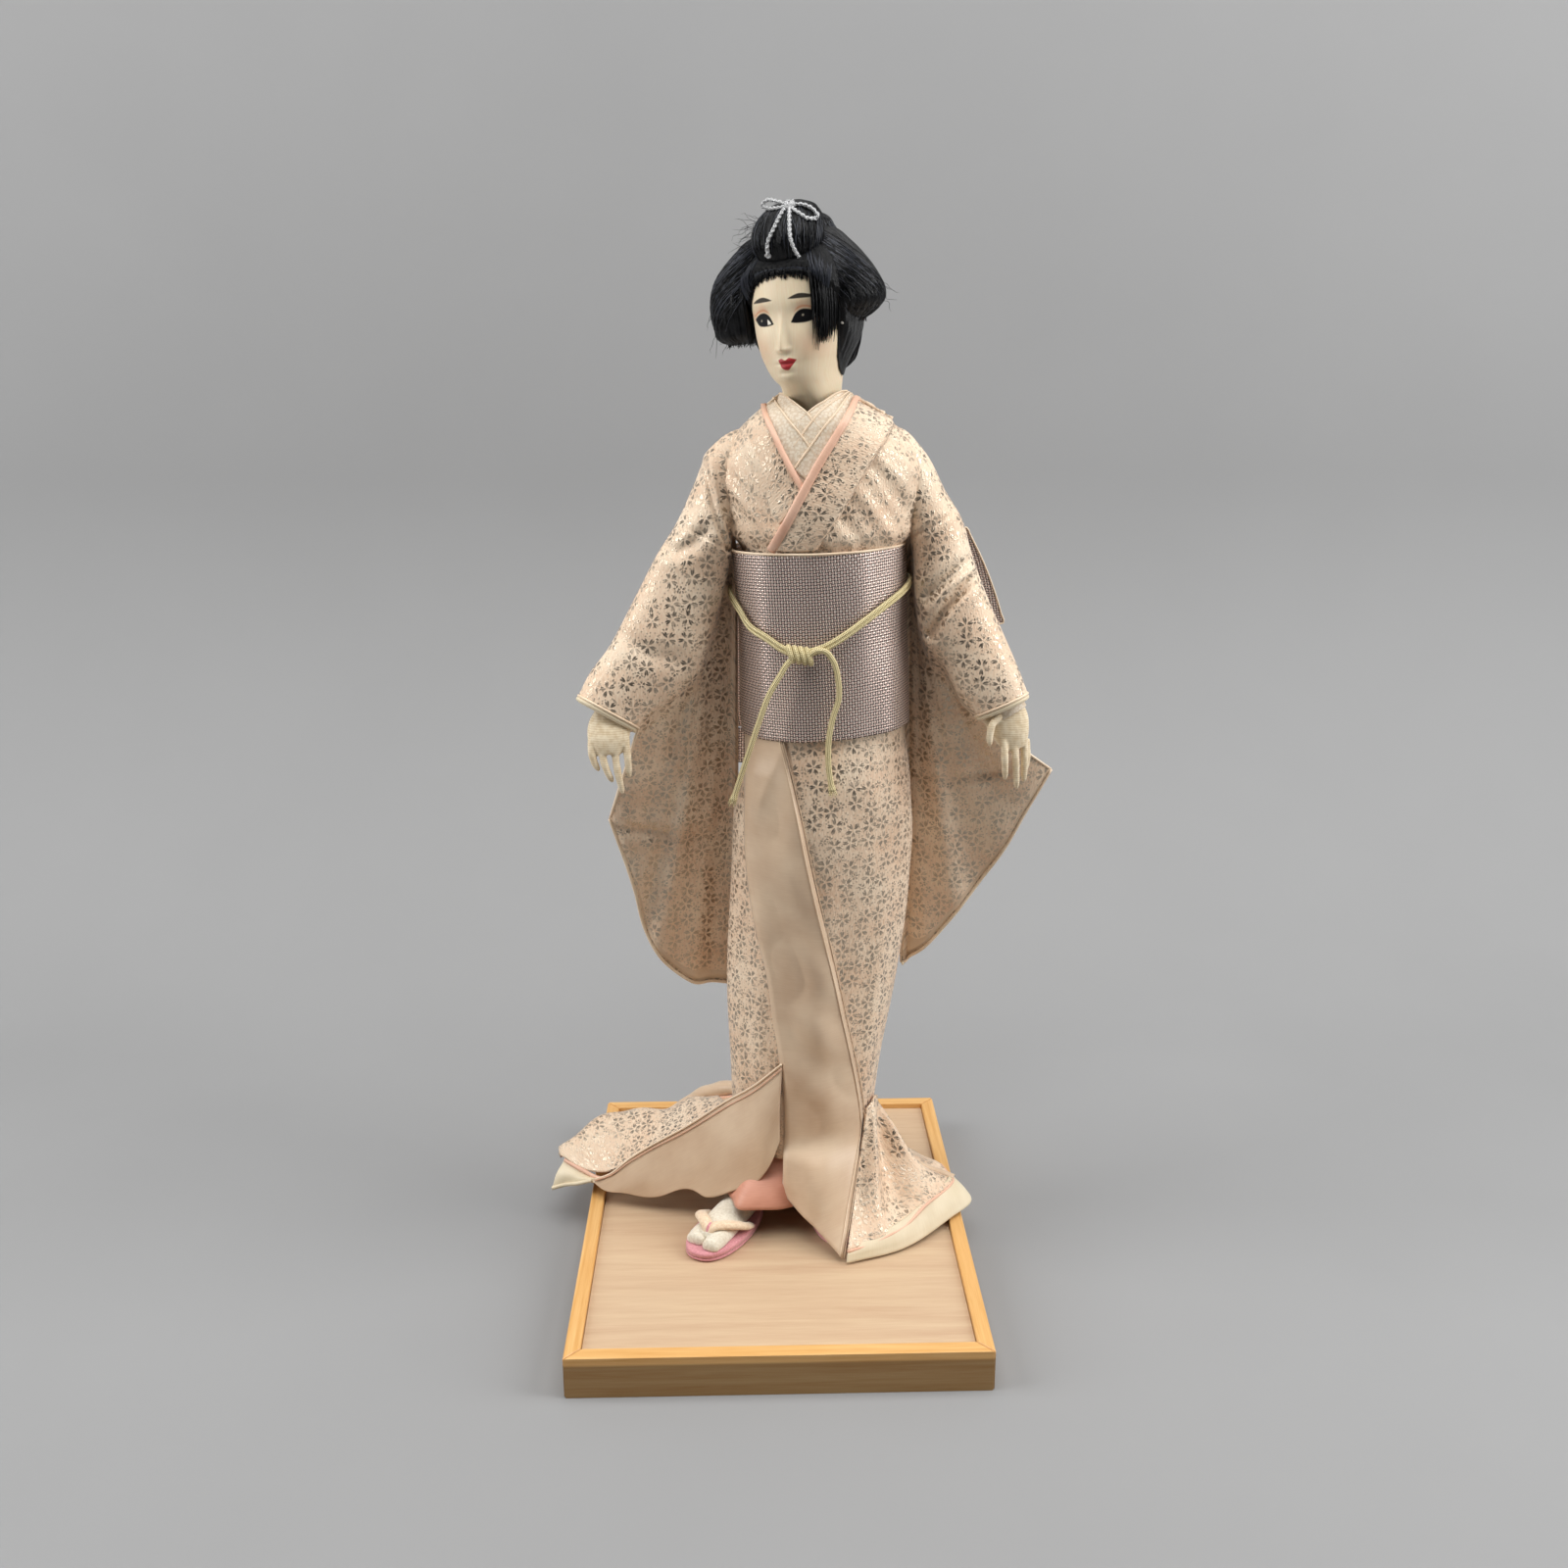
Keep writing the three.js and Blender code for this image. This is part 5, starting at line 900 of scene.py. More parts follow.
sweepLook = {
    "ridge": [(3, -14.2, 79.7), (-8, -9.4, 68), (-21, 1.5, 54.5), (-40, 6, 39.4), (-54.2, 8.4, 30), (-65, 10, 22),
        (-74, 11.2, 14), (-80.5, 12, 11.2)],
    "middle": [(2, -15.4, 62), (-6, -13.4, 48), (-20, -6.5, 35), (-38, -0.5, 25), (-55, 4.5, 17.5), (-68, 8.5, 12.6),
        (-81, 12, 10.9)],
    "lower": [(2, -15.2, 44), (-3, -14.6, 31), (-10.1, -13, 21.9), (-19.5, -11, 16.6), (-30.3, -7, 13.9),
        (-35.5, -3, 14.4), (-51.4, 2, 9.1), (-62.5, 5, 7), (-75.9, 9, 7.5), (-81.5, 11.8, 10.4)],
    "front": [(-21.5, 4.1, 53.7), (-40.5, 8.6, 38.6), (-62, 12.6, 23.5), (-74, 14.6, 14.2), (-84, 18.5, 12.5),
        (-93.5, 24, 14.8), (-98, 28, 16.5)],
    "crest": [(-26, 31, 42), (-43, 37, 37), (-60, 41.5, 29.5), (-77, 42, 26), (-89, 36, 23.8), (-98.5, 30, 17.5)],
    "back": [(-26, 62, 2.4), (-45, 69, 2.4), (-64, 69, 2.6), (-86, 60, 5), (-99.5, 39, 8)],
    # the hem hangs out from under the train's front corner
    "hem": [[(-95.5, 27, 13.4), (-86.9, 20.4, 11.8), (-80.5, 17, 10), (-74.5, 13.4, 10.4)],
        [(-99.2, 23.6, 8), (-91.5, 18.8, 9.4), (-84.6, 15.6, 10.2), (-78.5, 12.6, 10.9)],
        [(-101, 22, 2), (-95, 19.3, 4.3), (-88.6, 16.6, 7.4), (-82, 13.2, 9.8)]]}


def makeRightFront(look):
    lining = sheetThrough([look["ridge"], look["middle"], look["lower"]], 44, 110)
    u, v = shares(lining)
    lining[..., 1] -= (0.7 * np.sin(9 * u + 2.2 * v) + 0.5 * np.sin(17 * u - 3 * v + 1)) * v * smoothStep(0, 0.15, u)
    lining[..., 2] += 0.9 * np.sin(23 * u + 0.6) * v**3 * smoothStep(0.1, 0.3, u) * (1 - smoothStep(0.85, 1, u))
    sheet = thicken(makePiece("satin_front_lining", patch(doll(lining)), satin), clothWall)
    settle(sheet, "satin", "right_front_lining")
    ridge = lining[0] + np.array([0, -0.1, 0.35])
    second = lining[2] + np.array([0, -0.55, 0.1])
    parts = [roundCord(ridge, 0.5, 8, (0, 1, 0)), roundCord(second, 0.22, 6, (0, 1, 0), look=1)]
    settle(makePiece("front_edge_cord", parts, [edgeSilk, pipingSilk]), "satin")

    train = sheetThrough([look["front"], look["crest"], look["back"]], 60, 90)
    u, v = shares(train)
    folds = 1.6 * np.sin(11 * u + 3 * v) + 0.9 * np.sin(23 * u - 5 * v)
    train[..., 2] += folds * np.sin(np.pi * v) * smoothStep(0, 0.2, u)
    piece = thicken(makePiece("brocade_right_train", patch(doll(train), facing=(0, 0, 1)), [brocade, pinkSilk]),
                    clothWall, inside=1)
    settle(piece, "brocade", "right_train")
    # padded hem: a soft thick fold that curls at its edge, with a line of pink where it meets the brocade
    hem = sheetThrough(look["hem"], 24, 60)
    u, v = shares(hem)
    hem[..., 1] -= 0.8 * np.sin(9 * u + 2) * v
    parts = [patch(doll(hem), facing=(0, -1, 0.4)), roundCord(hem[-1], 0.9, 10),
             roundCord(hem[0] + (0, -0.8, 0.2), 0.6, 8, look=1)]
    roll = thicken(makePiece("right_padded_hem", parts, [hemSilk, pipingSilk]), 1.6)
    settle(roll, "cream_silk", "right_hem_roll")


makeRightFront(sweepLook)

# Left front: a brocade triangle beside the lapel, with a wide padded hem over the rail

leftTrainLook = {
    "hem": [(29.6, -40, 2.1), (53.5, -30.5, 2.3), (76.5, -11, 4.8), (86.5, 0, 5.6), (83, 18, 4.6), (68, 46, 2.3)],
    "band": [2.4, 6.5, 9.5, 10.5, 7, 5], "rise": [2, 4, 3, -3, -9, -16], "turn": [-0.6, -0.44, -0.22, 0, 0.35, 0.7],
    # how far each fold stands out, its place along the hem and its breadth
    "folds": [(4.2, 0.13, 0.06), (-7.5, 0.32, 0.09), (3.4, 0.5, 0.07)]}


def makeLeftFront(look):
    turn = np.array(look["turn"])
    top = around(skirtTable, turn, np.full(6, 50.0), 1.7)
    top[:, 2] += look["rise"]
    hem = np.array(look["hem"], float)
    reach = np.linalg.norm(top - hem, axis=1)[:, None]
    edge = hem + (top - hem) * np.array(look["band"])[:, None] / reach + (0, 0, 0.9)
    middle = (edge + top) / 2 + (-1.5, 0.5, -9.5)
    train = sheetThrough([top, middle, edge], 60, 100)
    u, v = shares(train)
    crease = 1.3 * np.sin(15 * u + 1.5 * v + 0.5) + 0.7 * np.sin(31 * u - 4 * v)
    train[..., 2] += crease * smoothStep(0, 0.4, v) * (0.5 + 0.5 * (1 - v))
    # one deep fold runs down between two soft ridges
    fold = sum(rise * np.exp(-(((u - place) / wide) ** 2)) for rise, place, wide in look["folds"])
    train += (fold * np.sin(np.pi * v) ** 0.8)[..., None] * (0.45, -0.6, 0.65)
    train[..., 0] += 0.6 * crease * v * (1 - v)
    piece = thicken(makePiece("brocade_left_train", patch(doll(train), facing=(0.5, -0.5, 1)), [brocade, pinkSilk]),
                    clothWall, inside=1)
    settle(piece, "brocade", "left_train")
    # hem band: a padded strip from under the brocade's edge, round the hem line, and back beneath
    under = edge + (top - edge) * 0.06 + (0, 0, -1.2)
    swell = (edge + hem) / 2 + (0, 0, 1.0)
    out = hem + (hem - top) / reach * 1.5 + (0, 0, 0.2)
    below = (edge + hem) / 2 + (0, 0, -1.6)
    below[:, 2] = np.maximum(below[:, 2], hem[:, 2] - 1.4)
    lines = [line[:5] for line in (under, swell, hem + (0, 0, 1.25), out, hem + (0, 0, -1.3), below,
                                   under + (0, 0, -0.6))]
    band = sheetThrough(lines, 36, 90)
    strip = makePiece("left_padded_hem", patch(doll(np.swapaxes(band, 0, 1)), wrap=True, caps=True), hemSilk)
    settle(strip, "cream_silk", "left_hem_roll")
    # piping under the brocade's edge, and a turned edge of lining along the outer side
    parts = [roundCord(train[-1, :78] + (0, 0, -0.5), 0.65, 8),
             roundCord(train[4:, 62] + (0.4, 0, 0.4), np.linspace(0.8, 1.9, 56), 12, flat=0.5, look=1)]
    settle(makePiece("left_hem_piping", parts, [pipingSilk, satin]), "pink_silk")


makeLeftFront(leftTrainLook)

# Back train: brocade spread behind the feet, with folds of its satin lining turned up at the doll's right

backTrainLook = {
    "turn": [146, 122, 98, 75, 52],
    "middle": [(-23, 64, 23), (-8, 70, 17), (14, 70, 11), (36, 64, 13), (50, 52, 12)],
    "hem": [(-36, 85, 15), (-16, 91, 6), (14, 91, 1.6), (42, 84, 1.8), (62, 66, 1.6)],
    # two rolls of lining and the pink edge between them: path, radius, flatness, finish
    "rolls": [([(-10, 42, 40.5), (-24.4, 54, 34), (-32.5, 60, 28.6), (-41.2, 66, 21.4),
                (-52, 72, 12.5)], 4.0, 0.85, 0), ([(-10, 40, 34), (-16.5, 42, 32.6), (-23.9, 48, 28.6),
                (-31.5, 54, 24), (-39.2, 60, 18.5)], 3.4, 0.85, 0),
        ([(-10, 38, 37.6), (-19, 45.5, 34), (-28, 53.4, 28.8), (-36, 59.4, 23)], 0.9, 1, 1)]}


def makeBackTrain(look):
    top = around(skirtTable, np.radians(look["turn"]), np.full(5, 36.0), 1.6)
    train = sheetThrough([top, look["middle"], look["hem"]], 60, 90)
    u, v = shares(train)
    folds = 1.5 * np.sin(14 * u + 2 * v) + 0.8 * np.sin(27 * u)
    train[..., 2] += folds * smoothStep(0, 0.5, v) * (1 - 0.5 * v) + 0.6 * v
    piece = thicken(makePiece("brocade_back_train", patch(doll(train), facing=(0, 0.3, 1)), [brocade, satin]),
                    clothWall, inside=1)
    settle(piece, "brocade", "back_train")
    share = np.linspace(0, 1, 50)
    taper = (0.3 + 0.7 * smoothStep(1, 0.45, share)) * (1 + 0.06 * np.sin(26 * share))
    parts = []
    for path, size, flat, which in look["rolls"]:
        parts.append(roundCord(smoothLine(path, 50), size * taper, 18, flat=flat, look=which))
    settle(makePiece("turned_up_lining", parts, [satin, pipingSilk]), "satin")


makeBackTrain(backTrainLook)
print("stage: trains laid")


# Body: a stuffed core, then the bodice closed over it

coreTable = [(138, 19, 15, 30, 25), (191, 21.5, 14, 30, 25), (234, 21.9, 14, 27, 23), (276, 20.6, 14, 27, 23),
             (314, 20, 14, 30, 22), (329, 20, 14, 29, 18), (337, 19.5, 14, 16, 12)]
bodiceLook = {"low": 276, "nape": 350, "throatDrop": 12, "rows": 84, "columns": 150}


def makeBodice(look):
    z = np.linspace(coreTable[0][0], coreTable[-1][0], 50)[:, None] + np.zeros((1, 48))
    a = np.broadcast_to(fullTurn(48), z.shape)
    core = makePiece("stuffed_core", patch(doll(around(coreTable, a, z)), wrap=True, caps=True), muslin)
    settle(core, "padding", "torso_core")

    # closed rings from under the sash to the neck; drag lines run from the shoulders to the waist
    a = np.pi / 2 + fullTurn(look["columns"])
    throat = look["nape"] - look["throatDrop"] * smoothStep(0.2, 1, -np.sin(a))
    z = look["low"] + (throat - look["low"]) * np.linspace(0, 1, look["rows"])[:, None]
    a = np.broadcast_to(a, z.shape)
    slant = np.cos(a) * 5 + (z - 300) * 0.11
    drag = 0.5 * np.sin(2.1 * slant + 0.6) + 0.3 * np.sin(5.3 * slant + 2)
    blouse = 1.1 * np.exp(-((z - 300) / 5) ** 2)
    fade = smoothStep(293, 300, z) * (1 - smoothStep(330, 345, z))
    grid = doll(around(bodiceTable, a, z, drag * fade + blouse * fade))
    bodice = thicken(makePiece("brocade_bodice", patch(grid, wrap=True), [brocade, satin]), clothWall, inside=1)
    settle(bodice, "brocade", "kimono_bodice")


makeBodice(bodiceLook)

# Collars: five layers of figured cream silk cross in turn at the throat, then each brocade front with its peach piping.
# For each collar, the way its covered side lies and its layers: the lift and the free edge, from the nape to the chest

collarTable = bodiceTable + [(353, 17, 14, 13.4, 15.6), (357, 17, 14, 13, 14.5)]
collarLayers = {
    "left_inner_collar": (1, [(0.35, [(27.5, 23, 350.5), (29.5, 14, 353.4), (28.9, 6.5, 354.5), (26.4, 2.7, 354.3),
                    (23.8, 0.2, 353.2), (20, -3, 350.9), (16.9, -4.4, 349.2), (13.4, -5.8, 346.6), (11, -7, 344.5)]),
            (1.05, [(29, 23, 350), (30.4, 14, 352.8), (29.5, 6, 354), (27.2, 1.8, 352.7), (23, -3, 350.7),
                    (18.1, -6.6, 347), (14.7, -8.4, 343.2), (11.2, -9.4, 338.6), (8, -10.5, 334.4)]),
            (1.75, [(30.5, 23, 349.5), (31.8, 14, 352.2), (30.6, 6.5, 353.5), (27.8, -0.3, 351.1),
                    (25.5, -4.9, 348.2), (19.7, -9.8, 341.6), (14, -11.7, 334), (8.7, -12.3, 326.9),
                    (8, -12.4, 326)])]),
    "right_inner_collar": (-1, [(0.7, [(5.5, 23, 349.5), (3.2, 14, 352.4), (3.5, 9.5, 353.5), (4.9, 5.7, 353.1),
                    (7.1, 1.3, 351.6), (10, -2.8, 349.4), (12.9, -5.8, 347.1), (15.3, -7.6, 344.3), (18.5, -9, 341)]),
            (1.4, [(3, 23, 348), (0.8, 16, 350.3), (1.1, 10.9, 351.9), (1.9, 6.9, 350.1), (4, -2.6, 347.2),
                    (6.5, -6.6, 343.8), (9.8, -9, 340), (14.3, -11.3, 334.3), (18, -12.6, 329.4),
                    (21, -13.4, 325.4)])])}
bandLook = {
    # seam: shares across where the covered edge starts and ends its dip, and the dip
    "right": {"lift": 2.2, "edge": [(-1.5, 23, 346), (-3, 16, 347.8), (-2.8, 10.5, 349.2), (-2.2, -0.2, 345.6),
            (0.7, -7.1, 339.1), (3.9, -10.5, 332.2), (7, -12.4, 326.5), (10.2, -14, 321), (12, -14.6, 317.8)],
        "outer": [(-9, 23, 341), (-11.5, 16, 341.5), (-12, 10.5, 341), (-11.5, 0, 336.5), (-10, -6, 329),
            (-8, -10, 321), (-6, -12, 314), (-4, -13.5, 306), (-2, -15, 299)],
        "piping": (1.1, 1.25), "seam": (0.15, 0.95, 3.4)},
    "left": {"lift": 2.8, "edge": [(33.5, 23, 348), (34.4, 15, 350.3), (33.3, 8, 351.9), (28.9, -6.9, 345.7),
            (24.2, -11.5, 338.6), (19.3, -13.8, 331.1), (13.4, -15.2, 321.1), (7.4, -15.5, 309.9),
            (-0.6, -15.9, 295.2)],
        "outer": [(43, 23, 341.5), (46.5, 15, 343), (48.2, 8, 343.5), (44.8, -1, 337.5), (40.4, -6.5, 331.4),
            (36.4, -10, 326), (31.8, -13.4, 318.7), (27.2, -15.5, 311.1), (17.4, -16, 295.6)],
        "piping": (1.1, 1.9), "seam": (0.93, 1, 2.4)}}


def onBodice(grid, lift):
    # in front of the neck a layer lies lift above the chest, less at the waist; beside the neck it keeps its own depth
    lift = lift * (0.6 + 0.4 * smoothStep(296, 312, grid[..., 2]))
    front = onFront(collarTable, grid[..., 0], grid[..., 2], lift)[..., 1]
    grid[..., 1] += smoothStep(13, 8, grid[..., 1]) * (front - grid[..., 1])
    return grid


for node, (way, layers) in collarLayers.items():
    parts = []
    for lift, edge in layers:
        # the top layer of each side is wide enough to run under the brocade
        reach = 2.3 if lift > 1.2 else 1.6
        covered = np.array(edge, float) + np.array([4.2 * way, 0, -3.4]) * reach
        grid = onBodice(sheetThrough([edge, covered], 12, 70), lift)
        # the free edge is a pressed fold: a thin round line along it
        parts += [patch(doll(grid), facing=(0, -1, 0.6)), roundCord(grid[0], 0.42, 6, (0.2, -1, 0.5), look=1)]
    collar = thicken(makePiece("silk_" + node, parts, [creamDamask, edgeSilk]), 0.5)
    settle(collar, "cream_silk", node)


def makeBand(side, look):
    edge, outer = np.array(look["edge"], float), np.array(look["outer"], float)
    grid = onBodice(sheetThrough([edge, (edge + outer) / 2, outer], 26, 90), look["lift"])
    across = np.linspace(0, 1, 26)[:, None]
    grid[..., 1] -= 0.4 * np.sin(np.pi * across) + 0.12 * np.sin(26 * np.linspace(0, 1, 90) + 3 * across)
    # the covered edge dips into the bodice
    start, end, dip = look["seam"]
    sink = dip * smoothStep(start, end, across)
    top = smoothStep(2, 14, grid[..., 1])
    grid[..., 1] += sink * (1 - top)
    grid[..., 2] -= 1.3 * sink * top
    band = thicken(makePiece(side + "_brocade_band", patch(doll(grid), facing=(0, -1, 0.5)), brocade), clothWall)
    settle(band, "brocade", side + "_collar_band")
    path = onBodice(smoothLine(edge, 90), look["lift"] + 0.4)
    size = np.linspace(*look["piping"], 90)
    piping = makePiece(side + "_silk_piping", roundCord(path, size, 12, (0.2, -1, 0.5), 0.45), pipingSilk)
    settle(piping, "pink_silk", side + "_piping")


for side in ("right", "left"):
    makeBand(side, bandLook[side])

# nape: the collar stands away from the back of the neck between the two bands
turn = np.radians(np.linspace(-18, 198, 90))
ends = smoothStep(40, 100, np.abs(np.degrees(turn) - 90))
lowRing = around(bodiceTable, turn, np.full(90, 339.0), 1.2 - 2.6 * ends)
highEdge = 349.5 - 4.5 * ends - 1.2 * ends * (turn > 1.57)
highRing = np.stack([16.6 + 18.2 * np.cos(turn), 15 + 19.5 * np.sin(turn), highEdge], -1)
grid = sheetThrough([lowRing, (lowRing * 0.5 + highRing * 0.5) + (0, 0, 1.2), highRing], 24, 90)
nape = thicken(makePiece("brocade_nape_collar", patch(doll(grid), facing=(0, 1, 0.4)), [brocade, creamDamask]), 1.2,
               inside=1)
settle(nape, "brocade", "nape_collar")
print("stage: bodice and collars closed")

# Sash: a stiff woven band, with a drum bow behind, its tail and two wings

# both edges rise towards the doll's left: height and rise
sashForm = {
    "top": (294.4, 1.2), "bottom": (221, 2.4), "edge": 0.5, "wall": 1.5,
    # drum: middle x, y and height, half its width, depth and height, power of its corners
    "drumMiddle": 21.2, "drumBack": 52.5, "drumLevel": 246, "drumHalf": 40, "drumDepth": 7, "drumTall": 37,
    "corner": 0.42,
    # tail: half its width, y, top and length
    "tail": (38, 54, 209.5, 15.2), "tailWall": 3.0, "wingWall": 2.2, "wingRim": 0.38,
    # wing: x beyond the drum's end, y and height, from its lower edge to its upper; the right one reaches less
    "wing": [[(0.3, 52.5, 256), (20, 54.5, 255), (41, 57.5, 255)],
        [(0.3, 54, 264), (17, 54.5, 266), (36.5, 55.5, 268)], [(0.3, 54, 273), (14, 53.5, 279), (30, 52.8, 283)],
        [(0.3, 52.5, 281), (11, 51.5, 292), (22.5, 50.5, 297)]],
    "reach": {"right": -0.75, "left": 1.0}}


def makeSash(look):
    a = np.pi / 2 + fullTurn(160)
    low, high = (look[key][0] + look[key][1] * np.cos(a) for key in ("bottom", "top"))
    z = low + (high - low) * np.linspace(0, 1, 64)[:, None]
    a = np.broadcast_to(a, z.shape)
    give = 0.35 * np.sin(5 * a + 0.05 * z) + 0.25 * np.sin(11 * a - 0.04 * z) - 0.5 * np.exp(-((z - 262) / 12) ** 2)
    grid = doll(around(sashTable, a, z, give - 0.3))
    rim = roundTube(np.concatenate([grid[-1], grid[-1, :2]]) + (0, 0, 0.2), look["edge"], 8)
    settle(makePiece("sash_rim_thread", patch(rim, wrap=True), edgeSilk), "sash_weave")
    band = thicken(makePiece("woven_sash", patch(grid, wrap=True), sashWeave), look["wall"])
    settle(band, "sash_weave", "sash_band")

    # drum: a crowned box, its outline |y|^n + |z|^n = 1, narrowing at both ends; the seam is on the hidden side
    turn = np.pi + fullTurn(72)
    y = look["drumDepth"] * np.sign(np.cos(turn)) * np.abs(np.cos(turn)) ** look["corner"]
    z = look["drumTall"] * np.sign(np.sin(turn)) * np.abs(np.sin(turn)) ** look["corner"]
    x = np.sin(np.linspace(-1, 1, 50) * np.pi / 2)
    shrink = (1 - np.abs(x) ** 14) ** 0.25
    crown = 1 - 0.06 * x**2
    drum = np.stack([look["drumMiddle"] + look["drumHalf"] * x[:, None] + 0 * turn,
                     look["drumBack"] + 2.0 * (1 - x[:, None] ** 2) + shrink[:, None] * y,
                     look["drumLevel"] + (crown * (0.9 + 0.1 * shrink))[:, None] * z], -1)
    piece = makePiece("sash_drum_bow", patch(doll(drum), wrap=True, caps=True), sashWeave)
    settle(piece, "sash_weave", "sash_drum")

    # tail: the folded end that hangs under the drum
    u, v = np.meshgrid(np.linspace(-1, 1, 60), np.linspace(0, 1, 14))
    half, back, top, drop = look["tail"]
    tail = np.stack([look["drumMiddle"] + half * u, back + 0.8 * np.sin(5 * u + 2 * v), top - drop * v], -1)
    piece = thicken(makePiece("sash_tail_end", patch(doll(tail), facing=(0, 1, 0)), sashWeave), look["tailWall"])
    settle(piece, "sash_weave", "sash_tail")

    # wings: a folded end flares out beyond each side of the drum, with a pale corded rim
    for side, reach in look["reach"].items():
        lines = np.array(look["wing"], float)
        lines[..., 0] = look["drumMiddle"] + np.sign(reach) * (look["drumHalf"] + lines[..., 0] * abs(reach))
        grid = sheetThrough(lines, 40, 40)
        rim = np.concatenate([grid[0, 25::2], grid[:, -1], grid[-1, :10:-2]])
        rim = smoothLine(rim[::4], 60)
        settle(makePiece(side + "_sash_end_rim", roundCord(rim, look["wingRim"], 8, (0, 1, 0)), edgeSilk), "sash_weave")
        wing = thicken(makePiece(side + "_sash_end", patch(doll(grid), facing=(0, -1, 0)), sashWeave), look["wingWall"])
        settle(wing, "sash_weave", side + "_sash_wing")


makeSash(sashForm)

# sash cord: a braid drawn tight round the sash, tied in front
cordRoute = {
    "knot": (10.6, 255.8), "right": ([(4.9, 257.2), (-2.7, 261.5), (-9.2, 265.1)], [(206, 270.5), (195, 274),
            (165, 278), (135, 280), (112, 280), (90, 280)]),
    "left": ([(19.6, 258.6), (26.7, 262.6), (34.4, 267.7), (43.7, 273.7)], [(-32, 277.5), (-15, 280), (12, 281),
            (40, 280.5), (66, 280), (90, 280)]),
    "radius": 0.85, "turnPlaces": (-3.9, -1.5, 0.9, 3.2),
    "turn": [(-0.9, 0.6, 2.5), (-0.8, -1.4, 2.3), (-0.1, -2.5, 0.4), (0.6, -2.2, -1.6), (0.9, -0.4, -2.9)]}


def makeSashCord(look):
    parts = []
    knot = onFront(sashTable, np.array([look["knot"][0]]), np.array([look["knot"][1]]), 1.5)[0]
    for side in ("right", "left"):
        front, back = (np.array(p, float) for p in look[side])
        points = np.concatenate([[knot], onFront(sashTable, front[:, 0], front[:, 1], 1.35),
                                 around(sashTable, np.radians(back[:, 0]), back[:, 1], 1.35)])
        # the cord lies double
        for shift in (-0.8, 0.8):
            path = smoothLine(points + (0, 0, shift), 120)
            parts.append(roundCord(path, look["radius"], 10))
    # knot: the ends wind round the crossing in four slanting turns
    for shift in look["turnPlaces"]:
        turn = knot + np.array(look["turn"]) + (shift, 0, -0.15 * shift)
        parts.append(roundCord(smoothLine(turn, 30), 1.2, 12, (1, 0, 0)))
    settle(makePiece("gold_sash_cord", parts, goldBraid), "gold_cord", "sash_cord")


makeSashCord(cordRoute)
print("stage: sash tied")

# Sleeves: each rib runs from the top of the arm to the tube's underside and on to the edge of the hanging bag

sleeveLook = {
    "right": {"seam": [(2, 14, 345), (-14, 14, 318)],
        "top": [(4, 14, 341), (-16.4, 14, 338.6), (-25.8, 14, 330.6), (-27.2, 13.6, 326), (-37.2, 11, 304.4),
            (-45.5, 9, 291.6), (-54.5, 6, 275), (-65.2, 2.8, 255.8), (-73.7, 0, 244.6), (-77.7, -2, 237)],
        "under": [(-14.2, 14, 298.5), (-15, 14, 297.6), (-15.8, 14, 296.6), (-17, 13.6, 291), (-19.8, 11.5, 277),
            (-23.6, 9, 262.5), (-28.8, 6.4, 246), (-36, 3.4, 237), (-47, 0.2, 229.5), (-54, -2, 223.5)],
        "edge": [(-15.5, 36, 95.5), (-17.2, 35.4, 95.5), (-19, 34.8, 95.6), (-24, 33, 96.8), (-36, 27.5, 100.5),
            (-47, 22, 111.5), (-54.8, 17.5, 128), (-59, 14.2, 149), (-63.2, 12, 165), (-68, 10, 181.5)],
        "bagBack": 2.5, "step": 4.5, "stepAt": 0.55,
        # depth, width and route (x, z) of each crease
        "creases": [(0.9, 0.8, [(-37, 305), (-22.8, 298), (-16.8, 293.8)]),
            (1.1, 0.9, [(-25.6, 328), (-24.2, 318), (-22.4, 309), (-19.8, 300), (-16.8, 293.8)]),
            (1.3, 2.2, [(-44, 296), (-37.5, 293.5), (-31, 296.5), (-26, 302)]),
            (1.2, 3.0, [(-33, 238), (-36.5, 225.5), (-40.3, 212)]),
            (1.6, 2.4, [(-70, 179), (-57, 176), (-43.5, 173), (-27.5, 168)]),
            (0.9, 3.0, [(-60, 262), (-48, 254), (-38, 252)])]},
    "left": {"seam": [(36, 14, 345), (52, 14, 318)],
        "top": [(34, 14, 341), (52.5, 14, 339.5), (59.5, 14, 332.6), (69.4, 13, 315.6), (76.2, 11, 304.2),
            (80, 8.5, 291), (86.5, 5.4, 274), (93.5, 2, 258.5), (99.6, -1, 244.6), (102.6, -2, 236.8)],
        "under": [(54.4, 14, 298.5), (55, 14, 298), (55.6, 14, 297), (57, 13, 289), (57.8, 11.4, 277), (59.5, 9, 264),
            (63, 6.2, 253), (69.5, 3, 246), (75.5, 0, 234.5), (81.5, -2, 227.5)],
        "edge": [(58.5, 36, 103), (59.2, 35.6, 103.3), (60, 35, 104), (62, 32, 108), (69, 28.5, 116), (78, 24.5, 129),
            (88, 20.5, 145), (99, 17.5, 163), (109, 14.5, 184), (117, 12, 200.5)],
        "bagBack": 8, "step": 3, "stepAt": 0.45,
        "creases": [(0.9, 0.8, [(71.7, 307.9), (64.4, 304.3), (54.9, 298.5)]),
            (3.0, 1.9, [(83, 284.5), (77.5, 281), (71.5, 275.5), (67, 269.5), (63, 260.5)]),
            (1.8, 2.0, [(79, 289.5), (70, 284), (61.5, 276)]), (1.2, 2.2, [(96, 200), (75, 195), (57, 193)])]},
    # half the tube's depth at each rib
    "half": [9, 11, 12.6, 12.8, 12.6, 12, 11.4, 10.8, 10.4, 10.2],
    # points down each side of the tube and of the bag, rows along the arm, half the bag's thickness, wall
    "tubeCount": 34, "bagCount": 45, "rows": 112, "thin": 1.9, "wall": 0.8}


